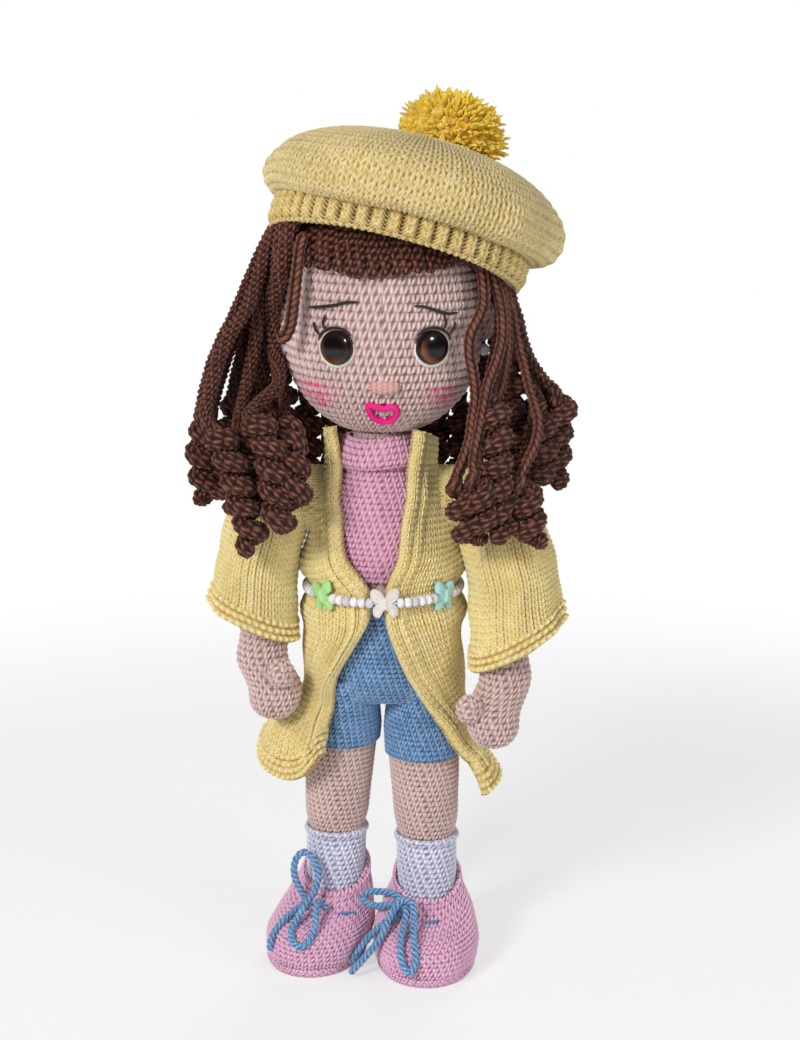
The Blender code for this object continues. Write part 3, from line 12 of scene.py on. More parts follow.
import bpy
import numpy as np
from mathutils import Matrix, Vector


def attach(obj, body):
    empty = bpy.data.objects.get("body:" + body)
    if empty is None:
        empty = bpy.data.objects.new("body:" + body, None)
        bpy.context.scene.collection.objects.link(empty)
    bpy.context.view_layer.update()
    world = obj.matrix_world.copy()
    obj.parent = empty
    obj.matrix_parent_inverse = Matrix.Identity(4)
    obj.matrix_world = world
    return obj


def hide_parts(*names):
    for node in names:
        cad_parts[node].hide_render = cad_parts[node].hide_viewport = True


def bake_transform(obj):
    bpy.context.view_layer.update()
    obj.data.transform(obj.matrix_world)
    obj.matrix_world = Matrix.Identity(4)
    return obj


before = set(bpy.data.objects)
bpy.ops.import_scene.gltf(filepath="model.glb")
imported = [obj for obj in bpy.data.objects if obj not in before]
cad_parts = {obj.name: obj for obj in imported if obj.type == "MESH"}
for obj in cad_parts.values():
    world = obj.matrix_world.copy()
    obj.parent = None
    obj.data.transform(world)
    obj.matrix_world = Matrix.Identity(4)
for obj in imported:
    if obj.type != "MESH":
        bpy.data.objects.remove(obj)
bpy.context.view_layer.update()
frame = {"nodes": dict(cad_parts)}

LOG = logging.getLogger("doll")

Array = np.ndarray
Rows = Sequence[Sequence[float]]
MILLIMETRE = 0.001
TURN = 2.0 * math.pi
DOLL_PLACE = np.array((0.931, -4.069, 0.0))
CURVE_STEPS = 12
TINY = 1e-9
UPWARD = np.array((0.0, 0.0, 1.0))


class Side(Enum):
    """The doll's own left and right, with the sign of X there."""

    LEFT = 1
    RIGHT = -1

    @property
    def label(self) -> str:
        """The side's name as the frame's nodes have it."""
        return self.name.lower()


class Pattern(Enum):
    """The stitches that the doll and its clothes are worked in."""

    SINGLE = "single crochet"
    STOCKING = "stocking stitch"
    GARTER = "garter stitch"
    RIBBING = "post ribbing"


# Curves and surfaces
def eased(value: Array, low: float, high: float) -> Array:
    """A smooth step.

    Args:
        value: Where to read the step.
        low: Where it leaves 0.
        high: Where it reaches 1, which may lie below low.

    Returns:
        The step's height at each value.
    """
    share = np.clip((value - low) / (high - low), 0.0, 1.0)
    return share * share * (3.0 - 2.0 * share)


def unit(vectors: Array) -> Array:
    """The vectors with length 1."""
    return vectors / np.maximum(np.linalg.norm(vectors, axis=-1, keepdims=True), TINY)


def fraction(value: Array) -> Array:
    """What is left over a whole number."""
    return value - np.floor(value)


def running(steps: Array) -> Array:
    """How far along each point lies, from the steps between them."""
    return np.concatenate([[0.0], np.cumsum(steps)])


def whole_turn(count: int) -> Array:
    """Even angles round a whole turn."""
    return TURN * np.arange(count) / count


def table(knots: Rows, places: Array) -> Array:
    """Reads a table smoothly between its rows.

    Args:
        knots: Rows of a place, rising, then the values there.
        places: Where to read it.

    Returns:
        The values at the places, one more axis than places when there are several.
    """
    data = np.asarray(knots, float)
    xs, ys = data[:, 0], data[:, 1:]
    slopes = np.gradient(ys, xs, axis=0)
    at = np.clip(places, xs[0], xs[-1])
    index = np.clip(np.searchsorted(xs, at) - 1, 0, len(xs) - 2)
    width = (xs[index + 1] - xs[index])[..., None]
    share = ((at - xs[index])[..., None]) / width
    first, last = ys[index], ys[index + 1]
    rise, fall = slopes[index] * width, slopes[index + 1] * width
    bend = (1 + 2 * share) * (1 - share) ** 2 * first + share * (1 - share) ** 2 * rise
    found = bend + share**2 * (3 - 2 * share) * last + share**2 * (share - 1) * fall
    return found[..., 0] if ys.shape[1] == 1 else found


def smooth_path(knots: Rows, step: float, measured: Sequence[int] = (0, 1, 2), closed: bool = False) -> Array:
    """A smooth curve through the knots, in even steps.

    Args:
        knots: Rows of numbers that the curve passes through.
        step: How far apart its points lie.
        measured: The columns in which that distance is measured.
        closed: Whether the curve runs on from its last knot to its first.

    Returns:
        The curve's rows.
    """
    data = np.asarray(knots, float)
    if closed:
        padded = np.vstack([data[-1:], data, data[:2]])
    else:
        padded = np.vstack([2 * data[:1] - data[1:2], data, 2 * data[-1:] - data[-2:-1]])
    share = np.linspace(0.0, 1.0, CURVE_STEPS, endpoint=False)[:, None]
    parts = []
    for before, start, end, after in zip(padded, padded[1:], padded[2:], padded[3:]):
        linear = end - before
        square = 2 * before - 5 * start + 4 * end - after
        cube = 3 * start - before - 3 * end + after
        parts.append(start + 0.5 * (linear * share + square * share**2 + cube * share**3))
    curve = np.vstack([*parts, padded[-2:-1]])
    apart = np.linalg.norm(np.diff(curve[:, list(measured)], axis=0), axis=1)
    lengths = running(apart)
    marks = np.linspace(0.0, lengths[-1], max(2, round(lengths[-1] / step)) + 1)
    if closed:
        marks = marks[:-1]
    return np.column_stack([np.interp(marks, lengths, column) for column in curve.T])


def rings(rows: Array, columns: int) -> Array:
    """Level rings, the first point of each at the front and the next ones towards +X.

    Args:
        rows: For each ring its middle's X, Y and Z, then its half width and half depth.
        columns: Points round each ring.

    Returns:
        Points by row and column.
    """
    angles = whole_turn(columns)
    x = rows[:, 0:1] + rows[:, 3:4] * np.sin(angles)
    y = rows[:, 1:2] - rows[:, 4:5] * np.cos(angles)
    return np.stack([x, y, np.broadcast_to(rows[:, 2:3], x.shape)], axis=2)


def ball(place: Sequence[float], half: Sequence[float], reach: float, count: int) -> Array:
    """Rows for the rings of a ball.

    Args:
        place: Its middle.
        half: Its half width, half depth and half height.
        reach: How near the poles the first and last rings come, where 0.5 is at them.
        count: How many rings.

    Returns:
        The rows, from the lowest.
    """
    turn = np.linspace(-reach * math.pi, reach * math.pi, count)
    wide, deep, high = half
    return np.column_stack([
        np.full(count, place[0]), np.full(count, place[1]), place[2] + high * np.sin(turn),
        wide * np.cos(turn), deep * np.cos(turn),
    ])


def facing(points: Array, wrap: bool) -> Array:
    """The way that each point of a grid faces."""
    if wrap:
        across = np.roll(points, -1, axis=1) - np.roll(points, 1, axis=1)
    else:
        across = np.gradient(points, axis=1)
    return unit(np.cross(across, np.gradient(points, axis=0)))


def tube(path: Array, radii: Array, sides: int, flat: Array | float = 1.0,
         start: Sequence[float] = (0, 1, 0.2)) -> Array:
    """A round tube along a path, by row and column.

    Args:
        path: The points of its middle.
        radii: Its radius at each of them.
        sides: Points round it.
        flat: How thick it is against its width, for all of it or at each point.
        start: The way that its flat side faces at the first point.

    Returns:
        Points by row and column.
    """
    along = unit(np.gradient(path, axis=0))
    start = np.cross(along[0], start)
    across = np.empty_like(path)
    across[0] = unit(start - along[0] * (start @ along[0]))
    for row in range(1, len(path)):
        turned = across[row - 1] - along[row] * (across[row - 1] @ along[row])
        across[row] = turned / max(float(np.linalg.norm(turned)), TINY)
    up = np.cross(along, across)
    angles = whole_turn(sides)
    high = np.broadcast_to(flat, len(path))[:, None] * np.sin(angles)[None, :]
    ring = across[:, None] * np.cos(angles)[None, :, None] + up[:, None] * high[..., None]
    return path[:, None] + ring * np.asarray(radii)[:, None, None]


def rounded_ends(count: int, step: float, radius: float) -> Array:
    """Shares of a radius along a tube whose ends are round."""
    along = np.arange(count) * step
    near = np.minimum(along, along[-1] - along)
    share = np.clip(1.0 - near / radius, 0.0, 0.995)
    return np.sqrt(1.0 - share * share)


def drape(points: Array, size: float, seed: int) -> Array:
    """A soft unevenness between about -1 and 1 that repeats nowhere.

    Args:
        points: Where to read it.
        size: About how far apart its hills lie.
        seed: Which of its forms to use.

    Returns:
        Its height at each point.
    """
    chance = np.random.default_rng(seed)
    total = np.zeros(points.shape[:-1])
    waves = 7
    for _ in range(waves):
        way = unit(chance.normal(size=3)) * TURN / (size * chance.uniform(0.7, 1.8))
        total += np.sin(points @ way + chance.uniform(0.0, TURN))
    return total / math.sqrt(waves)


# Stitches
@dataclass(frozen=True)
class Gauge:
    """One stitch: its pattern, its size, how far it stands up and its mesh points."""

    pattern: Pattern
    width: float
    height: float
    depth: float
    samples: int = 5

    @property
    def step(self) -> float:
        """The distance between mesh points."""
        return min(self.width, self.height) / self.samples

    def columns(self, girth: float) -> int:
        """An even number of mesh points round a girth."""
        finer = SHAPE.fine_columns if self.pattern is Pattern.SINGLE else 1.0
        return 2 * max(4, round(girth / self.width * self.samples * finer / 2))


@dataclass(frozen=True)
class StitchShape:
    """The shares of a stitch that its legs and hollows take."""

    leg_apart: float = 0.13
    leg_spread: float = 0.20
    leg_half: float = 0.17
    leg_share: float = 0.76
    second_leg: float = 0.86
    slant: float = 0.22
    row_power: float = 0.75
    round_power: float = 0.5
    round_floor: float = 0.08
    slope: float = 2.1
    knit_power: float = 0.6
    knit_floor: float = 0.3
    knit_leg: float = 0.245
    knit_half: float = 0.225
    crease_half: float = 0.14
    crease: float = 0.42
    bump_share: float = 0.6
    puff_share: float = 0.35
    stagger: float = 0.2
    mean: float = 0.55
    fine_columns: float = 1.5


SHAPE = StitchShape()
GARTER_COUNT = 1.1
GARTER_RIDGE = 2.9


def single_relief(across: Array, along: Array) -> Array:
    """Single crochet: each stitch is a small leaning V, with a hole under it and a groove between rounds."""
    rise = fraction(along)
    place = fraction(across - SHAPE.slant * (rise - 0.5))
    legs = np.zeros_like(place)
    for lean, height in ((-1.0, 1.0), (1.0, SHAPE.second_leg)):
        away = (place - 0.5 - lean * (SHAPE.leg_apart + SHAPE.leg_spread * rise)) / SHAPE.leg_half
        legs = np.maximum(legs, height * np.sqrt(np.clip(1.0 - away * away, 0.0, 1.0)))
    row = SHAPE.round_floor + (1.0 - SHAPE.round_floor) * np.sin(math.pi * rise) ** SHAPE.round_power
    return row * (1.0 - SHAPE.leg_share + SHAPE.leg_share * legs)


def stocking_relief(across: Array, along: Array) -> Array:
    """Stocking stitch: columns of Vs, with a deep line between columns and a shallow one in each V."""
    out = np.abs(fraction(across) - 0.5)
    leg = np.sqrt(np.clip(1.0 - ((out - SHAPE.knit_leg) / SHAPE.knit_half) ** 2, 0.0, 1.0))
    crease = SHAPE.crease * np.sqrt(np.clip(1.0 - (out / SHAPE.crease_half) ** 2, 0.0, 1.0))
    bulge = np.sin(math.pi * fraction(along - SHAPE.slope * out)) ** SHAPE.knit_power
    return np.maximum(leg, crease) * (SHAPE.knit_floor + (1.0 - SHAPE.knit_floor) * bulge)


def garter_relief(across: Array, along: Array) -> Array:
    """Garter stitch: ridges of small arcs, each ridge half a stitch on from the last."""
    bump = 0.5 + 0.5 * np.cos(TURN * (across + 0.5 * np.floor(along)))
    ridge = np.sin(math.pi * fraction(along)) ** SHAPE.row_power
    return ridge * (1.0 - SHAPE.bump_share + SHAPE.bump_share * bump)


def ribbing_relief(across: Array, along: Array) -> Array:
    """Post ribbing: round ribs of Vs with deep gaps between them."""
    puff = np.sqrt(0.5 - 0.5 * np.cos(TURN * across))
    return puff * (SHAPE.puff_share + (1.0 - SHAPE.puff_share) * stocking_relief(across, along))


RELIEFS: dict[Pattern, Callable[[Array, Array], Array]] = {
    Pattern.SINGLE: single_relief,
    Pattern.STOCKING: stocking_relief,
    Pattern.GARTER: garter_relief,
    Pattern.RIBBING: ribbing_relief,
}


@dataclass
class Worked:
    """A worked surface: its points, how high each stands in its stitch, and the yarn's twist."""

    points: Array
    pit: Array
    twist: Array


def ply_twist(across: Array, along: Array) -> Array:
    """The phase of the yarn's plies, which runs on from stitch to stitch."""
    return TURN * (2.0 * along + 2.0 * np.abs(2.0 * fraction(across) - 1.0))


def rounds(points: Array, gauge: Gauge) -> tuple[Array, Array]:
    """Stitch counts of crochet in the round, in which each round has as many as fit.

    Args:
        points: A closed surface by row and column.
        gauge: The stitch.

    Returns:
        Stitches across and rounds along at each point.
    """
    apart = np.linalg.norm(np.roll(points, -1, axis=1) - points, axis=2)
    girths = apart.sum(axis=1)
    steps = np.linalg.norm(np.diff(points, axis=0), axis=2).mean(axis=1)
    rise = running(steps) / gauge.height
    turn = np.cumsum(apart, axis=1) / girths[:, None]
    along = rise[:, None] + turn
    row = np.floor(along)
    count = np.maximum(np.round(np.interp(row + 0.5, rise, girths) / gauge.width), 4)
    return count * turn + SHAPE.stagger * row, along


def flat_counts(points: Array, gauge: Gauge) -> tuple[Array, Array]:
    """Stitch counts of flat knitting, whose columns run from the first row to the last."""
    across = np.linalg.norm(np.diff(points, axis=1), axis=2).mean(axis=0)
    along = np.linalg.norm(np.diff(points, axis=0), axis=2).mean(axis=1)
    columns = running(across) / gauge.width
    rows = running(along) / gauge.height
    columns *= max(1.0, round(columns[-1])) / columns[-1]
    return np.broadcast_to(columns, points.shape[:2]), np.broadcast_to(rows[:, None], points.shape[:2])


def raised(points: Array, wrap: bool, relief: Array, depth: Array | float, twist: Array) -> Worked:
    """Raises a surface by its stitches, so that it stays on the whole where it was."""
    moved = points + facing(points, wrap) * ((relief - SHAPE.mean) * depth)[..., None]
    return Worked(moved, relief, twist)


def in_the_round(points: Array, gauge: Gauge, calm: Array | float = 1.0) -> Worked:
    """A closed surface worked in the round.

    Args:
        points: The surface by row and column.
        gauge: The stitch.
        calm: The share of the stitch's depth that is left at each point.

    Returns:
        The worked surface.
    """
    across, along = rounds(points, gauge)
    relief = RELIEFS[gauge.pattern](across, along)
    return raised(points, True, relief, gauge.depth * calm, ply_twist(across, along))


# Meshes
class Shell:
    """The points and faces of one piece, gathered surface by surface."""

    def __init__(self) -> None:
        """Starts an empty piece."""
        self.points: list[Array] = []
        self.faces: list[Array] = []
        self.fields: dict[str, list[Array]] = {"pit": [], "twist": [], "tint": []}
        self.count = 0

    def _add(self, points: Array, pit: Array | float, twist: Array | float, tint: Array | float) -> Array:
        """Adds points with their fields and returns their numbers in the shape of the points."""
        shape = points.shape[:-1]
        numbers = self.count + np.arange(int(np.prod(shape))).reshape(shape)
        self.points.append(points.reshape(-1, 3))
        for name, value in (("pit", pit), ("twist", twist), ("tint", tint)):
            self.fields[name].append(np.broadcast_to(value, shape).astype(float).ravel())
        self.count += numbers.size
        return numbers

    def _quads(self, numbers: Array, wrap: bool, inside: bool = False) -> None:
        """Adds the faces of a grid of point numbers."""
        if wrap:
            numbers = np.hstack([numbers, numbers[:, :1]])
        quads = np.stack([numbers[:-1, :-1], numbers[:-1, 1:], numbers[1:, 1:], numbers[1:, :-1]], axis=2)
        quads = quads.reshape(-1, 4)
        self.faces.append(quads[:, ::-1] if inside else quads)

    def _cap(self, ring: Array, first: bool) -> None:
        """Closes a ring of point numbers with a fan round a new point."""
        points = np.concatenate(self.points)[ring]
        middle = self._add(points.mean(axis=0)[None], self.fields["pit"][-1].mean(), 0.0, 0.0)[0]
        after = np.roll(ring, -1)
        ends = (after, ring) if first else (ring, after)
        self.faces.append(np.column_stack([*ends, np.full(len(ring), middle)]))

    def _seam(self, fine: Array, coarse: Array, forward: bool, closed: bool) -> None:
        """Joins an edge to one with half as many points."""
        if closed:
            fine, coarse = np.append(fine, fine[0]), np.append(coarse, coarse[0])
        start, middle, end = fine[:-2:2], fine[1::2], fine[2::2]
        near, far = coarse[:-1], coarse[1:]
        corner = np.column_stack([start, middle, near])
        strip = np.column_stack([middle, end, far, near])
        self.faces.append(corner if forward else corner[:, ::-1])
        self.faces.append(strip if forward else strip[:, ::-1])

    def surface(self, worked: Worked, wrap: bool = True, caps: str = "", tint: Array | float = 0.0) -> None:
        """Adds a surface.

        Args:
            worked: The surface by row and column.
            wrap: Whether its last column joins its first.
            caps: "first", "last" or both in one string, for the rows to close.
            tint: A share of a second colour at each point.
        """
        numbers = self._add(worked.points, worked.pit, worked.twist, tint)
        self._quads(numbers, wrap)
        if "first" in caps:
            self._cap(numbers[0], True)
        if "last" in caps:
            self._cap(numbers[-1], False)

    def cloth(self, worked: Worked, inner: Array, wrap: bool, caps: str = "", tint: Array | float = 0.0) -> None:
        """Adds a cloth with an inside face of half as many points.

        Args:
            worked: The outside by row and column, whose counts are odd, or even round a closed row.
            inner: The inside at the same points.
            wrap: Whether its last column joins its first.
            caps: "last" to close both faces at the last row.
            tint: A share of a second colour at each point.
        """
        outside = self._add(worked.points, worked.pit, worked.twist, tint)
        self._quads(outside, wrap)
        inside = self._add(inner[::2, ::2], SHAPE.mean, worked.twist[::2, ::2], 0.0)
        self._quads(inside, wrap, inside=True)
        self._seam(outside[0], inside[0], False, wrap)
        if "last" in caps:
            self._cap(outside[-1], False)
            self._cap(inside[-1], True)
        else:
            self._seam(outside[-1], inside[-1], True, wrap)
        if not wrap:
            self._seam(outside[:, 0], inside[:, 0], True, False)
            self._seam(outside[:, -1], inside[:, -1], False, False)

    def piece(self, name: str, body: str, finish: "Finish", nodes: Sequence[str] = ()) -> bpy.types.Object:
        """Makes the piece's object.

        Args:
            name: Its name.
            body: The body that it rides on.
            finish: Its material and slot.
            nodes: The nodes that it stands for.

        Returns:
            The object.
        """
        item = bpy.data.objects.new(name, self.mesh(name))
        bpy.context.scene.collection.objects.link(item)
        item.data.materials.append(finish.material)
        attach(item, body)
        if nodes:
            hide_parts(*nodes)
        LOG.info("%s: %d points", name, self.count)
        return item

    def mesh(self, name: str) -> bpy.types.Mesh:
        """The gathered points and faces as a mesh in metres."""
        mesh = bpy.data.meshes.new(name)
        points = (np.concatenate(self.points) + DOLL_PLACE) * MILLIMETRE
        mesh.vertices.add(len(points))
        mesh.vertices.foreach_set("co", points.astype(np.float32).ravel())
        corners = np.concatenate([faces.ravel() for faces in self.faces])
        sizes = np.concatenate([np.full(len(faces), faces.shape[1]) for faces in self.faces])
        starts = np.concatenate([[0], np.cumsum(sizes)[:-1]])
        mesh.loops.add(len(corners))
        mesh.loops.foreach_set("vertex_index", corners.astype(np.int32))
        mesh.polygons.add(len(sizes))
        mesh.polygons.foreach_set("loop_start", starts.astype(np.int32))
        mesh.polygons.foreach_set("use_smooth", np.ones(len(sizes), bool))
        mesh.update(calc_edges=True)
        for field, parts in self.fields.items():
            attribute = mesh.attributes.new(field, "FLOAT", "POINT")
            attribute.data.foreach_set("value", np.concatenate(parts).astype(np.float32))
        mesh.validate()
        return mesh


# Finishes
def colour(red: int, green: int, blue: int) -> tuple[float, float, float, float]:
    """A colour of a shader from the 0 to 255 values in which a screen shows it."""
    shares = [value / 255.0 for value in (red, green, blue)]
    linear = [share / 12.92 if share <= 0.04045 else ((share + 0.055) / 1.055) ** 2.4 for share in shares]
    return (*linear, 1.0)


class Tree:
    """The nodes of one material."""

    def __init__(self, name: str) -> None:
        """Makes a material with its main shader."""
        self.material = bpy.data.materials.new(name)
        self.material.use_nodes = True
        self.tree = self.material.node_tree
        self.shader = self.tree.nodes["Principled BSDF"]

    def add(self, kind: str, **values: object) -> bpy.types.Node:
        """Adds a node with these settings."""
        node = self.tree.nodes.new(kind)
        for name, value in values.items():
            setattr(node, name, value)
        return node

    def join(self, start: bpy.types.NodeSocket, end: bpy.types.NodeSocket) -> None:
        """Links two sockets."""
        self.tree.links.new(start, end)

    def field(self, name: str) -> bpy.types.NodeSocket:
        """A field that the mesh holds at each point."""
        return self.add("ShaderNodeAttribute", attribute_name=name).outputs["Fac"]

    def noise(self, scale: float, detail: float = 2.0, stretch: Sequence[float] = (1, 1, 1)) -> bpy.types.NodeSocket:
        """A noise in the object's own space, with this many hills to the metre."""
        place = self.add("ShaderNodeTexCoord").outputs["Object"]
        mapping = self.add("ShaderNodeMapping")
        mapping.inputs["Scale"].default_value = stretch
        node = self.add("ShaderNodeTexNoise")
        node.inputs["Scale"].default_value = scale
        node.inputs["Detail"].default_value = detail
        self.join(place, mapping.inputs["Vector"])
        self.join(mapping.outputs["Vector"], node.inputs["Vector"])
        return node.outputs["Fac"]

    def ramp(self, value: bpy.types.NodeSocket, stops: Sequence[tuple[float, tuple]]) -> bpy.types.NodeSocket:
        """Colours by value."""
        node = self.add("ShaderNodeValToRGB")
        elements = node.color_ramp.elements
        while len(elements) < len(stops):
            elements.new(0.5)
        for element, (place, shade) in zip(elements, stops):
            element.position = place
            element.color = shade
        self.join(value, node.inputs["Fac"])
        return node.outputs["Color"]

    def math(self, operation: str, first: object, second: object = 0.0) -> bpy.types.NodeSocket:
        """One step of arithmetic on sockets or numbers."""
        node = self.add("ShaderNodeMath", operation=operation)
        for socket, value in zip(node.inputs, (first, second)):
            if isinstance(value, (int, float)):
                socket.default_value = value
            else:
                self.join(value, socket)
        return node.outputs[0]

    def mix(self, share: object, first: object, second: object, blend: str = "MIX") -> bpy.types.NodeSocket:
        """Two colours mixed by a share."""
        node = self.add("ShaderNodeMix", data_type="RGBA", blend_type=blend, clamp_factor=True)
        for socket, value in ((node.inputs[0], share), (node.inputs[6], first), (node.inputs[7], second)):
            if isinstance(value, bpy.types.NodeSocket):
                self.join(value, socket)
            else:
                socket.default_value = value
        return node.outputs[2]

    def bump(self, height: bpy.types.NodeSocket, distance: float, strength: float = 1.0) -> None:
        """Gives the shader a fine relief."""
        node = self.add("ShaderNodeBump")
        node.inputs["Distance"].default_value = distance
        node.inputs["Strength"].default_value = strength
        self.join(height, node.inputs["Height"])
        self.join(node.outputs["Normal"], self.shader.inputs["Normal"])

    def set(self, **values: object) -> None:
        """Sets the shader's own sockets, whose names have _ for a space."""
        for name, value in values.items():
            self.shader.inputs[name.replace("_", " ")].default_value = value


class Finish:
    """A material and the record's slot that it belongs to."""

    def __init__(self, slot: str) -> None:
        """Keeps the slot's name and leaves the material to its first use."""
        self.slot = slot
        self._made: bpy.types.Material | None = None

    @property
    def material(self) -> bpy.types.Material:
        """The material, made once."""
        if self._made is None:
            self._made = self.make()
        return self._made

    def make(self) -> bpy.types.Material:
        """Makes the material."""
        raise NotImplementedError


@dataclass(frozen=True)
class YarnLook:
    """The colours and the hand of one yarn."""

    name: str
    # groove is painted shade for the hollows of the stitches and crest_highlight a painted highlight for their tops;
    # body and fleck are the yarn's own colours.
    groove: tuple[int, int, int]
    body: tuple[int, int, int]
    crest_highlight: tuple[int, int, int]
    fleck: tuple[int, int, int]
    fleck_share: float = 0.35
    ply_share: float = 0.12
    tint: tuple[int, int, int] = (255, 0, 0)
    rough: float = 0.88
    sheen: float = 0.15
    fibre_depth: float = 0.00008


class Yarn(Finish):
    """Twisted yarn with painted shade in the grooves and a painted highlight on the crests, with flecks and fine
    fibres.
    """

    fleck_scale = 320.0
    shade_scale = 45.0
    fibre_scale = 2600.0
    # Where the pit field meets the groove, body and crest colours: painted shade low in the stitches, a painted
    # highlight on their tops.
    places = (0.02, 0.42, 0.92)
    fleck_lean = 0.12
    fleck_edge = 5.0
    patch_shades = ((0.3, (0.86, 0.86, 0.86, 1)), (0.7, (1, 1, 1, 1)))
    ply_bump = 0.6

    def __init__(self, slot: str, look: YarnLook) -> None:
        """Keeps the yarn's look."""
        super().__init__(slot)
        self.look = look

    def make(self) -> bpy.types.Material:
        """Makes the yarn's material."""
        look, tree = self.look, Tree(self.look.name)
        # The ramp paints shade into each stitch's hollows and a highlight onto its crest, read from the pit field.
        shades = (look.groove, look.body, look.crest_highlight)
        base = tree.ramp(tree.field("pit"), [(place, colour(*shade)) for place, shade in zip(self.places, shades)])
        plies = tree.math("SINE", tree.field("twist"))
        specks = tree.noise(self.fleck_scale, 3.0)
        share = tree.math("ADD", tree.math("MULTIPLY", plies, look.ply_share), tree.math("SUBTRACT", specks, 0.5))
        share = tree.math("MULTIPLY", tree.math("ADD", share, self.fleck_lean), look.fleck_share * self.fleck_edge)
        base = tree.mix(share, base, colour(*look.fleck))
        base = tree.mix(tree.field("tint"), base, colour(*look.tint))
        patches = tree.ramp(tree.noise(self.shade_scale), self.patch_shades)
        base = tree.mix(1.0, base, patches, "MULTIPLY")
        tree.join(base, tree.shader.inputs["Base Color"])
        fibres = tree.math("ADD", tree.noise(self.fibre_scale, 2.0), tree.math("MULTIPLY", plies, self.ply_bump))
        tree.bump(fibres, look.fibre_depth)
        tree.set(Roughness=look.rough, Sheen_Weight=look.sheen, Sheen_Roughness=0.5)
        return tree.material


class Glossy(Finish):
    """A hard bead or pearl, with faint clouds in its colour."""

    cloud_scale = 260.0
    cloud_shades = ((0.3, (0.9, 0.9, 0.9, 1)), (0.7, (1, 1, 1, 1)))
    grain_scale = 900.0
    grain_depth = 0.00002

    def __init__(self, slot: str, name: str, shades: Sequence[tuple[int, int, int]], rough: float, coat: float) -> None:
        """Keeps two or three colours read along the pit field, from the hollows to the high places, and the gloss. On
        the butterflies the darker hollows are painted shade; on the beads the field holds each bead's own tone.
        """
        super().__init__(slot)
        self.name, self.shades, self.rough, self.coat = name, shades, rough, coat

    def make(self) -> bpy.types.Material:
        """Makes the hard material."""
        tree = Tree(self.name)
        places = np.linspace(0.0, 1.0, len(self.shades))
        base = tree.ramp(tree.field("pit"), [(place, colour(*shade)) for place, shade in zip(places, self.shades)])
        clouds = tree.ramp(tree.noise(self.cloud_scale, 3.0), self.cloud_shades)
        tree.join(tree.mix(1.0, base, clouds, "MULTIPLY"), tree.shader.inputs["Base Color"])
        tree.bump(tree.noise(self.grain_scale), self.grain_depth)
        tree.set(Roughness=self.rough, Coat_Weight=self.coat, Coat_Roughness=0.08, Subsurface_Weight=0.0)
        return tree.material


class EyeGlass(Finish):
    """A domed eye: a black pupil in a brown iris with a dark rim, under a clear coat, with painted light on the iris.
    """

    def make(self) -> bpy.types.Material:
        """Makes the eye's material from the fields that the eye's mesh holds."""
        tree = Tree("glossy_eye")
        streaks = tree.math("MULTIPLY", tree.math("SUBTRACT", tree.noise(700.0, 3.0), 0.5), 0.10)
        radius = tree.math("ADD", tree.field("pit"), streaks)
        # Shaded and lit copies of the iris colours, mixed by the tint field: painted light falling through the dome
        # onto one side of the iris.
        painted_iris_shade = ((0.54, colour(3, 2, 2)), (0.64, colour(18, 8, 5)), (0.84, colour(44, 20, 10)), (0.93, colour(8, 5, 4)))
        painted_iris_light = ((0.52, colour(4, 3, 3)), (0.62, colour(72, 36, 18)), (0.84, colour(122, 70, 38)),
            (0.93, colour(12, 7, 5)))
        base = tree.mix(tree.field("tint"), tree.ramp(radius, painted_iris_shade), tree.ramp(radius, painted_iris_light))
        tree.join(base, tree.shader.inputs["Base Color"])
        tree.set(Roughness=0.3, Specular_IOR_Level=0.15, Coat_Weight=0.7, Coat_Roughness=0.03, Coat_IOR=1.45)
        return tree.material


class Plain(Finish):
    """Wood, felt or plastic: two shades mixed by a stretched noise."""

    def __init__(self, slot: str, name: str, shades: Sequence[tuple], scale: float, stretch: Sequence[float],
                 rough: float, depth: float) -> None:
        """Keeps the shades, the grain and the roughness."""
        super().__init__(slot)
        self.name, self.shades, self.scale, self.stretch = name, shades, scale, stretch
        self.rough, self.depth = rough, depth

    def make(self) -> bpy.types.Material:
        """Makes the material."""
        tree = Tree(self.name)
        grain = tree.noise(self.scale, 4.0, self.stretch)
        stops = ((0.35, colour(*self.shades[0])), (0.65, colour(*self.shades[1])))
        tree.join(tree.ramp(grain, stops), tree.shader.inputs["Base Color"])
        tree.bump(grain, self.depth)
        tree.set(Roughness=self.rough)
        return tree.material


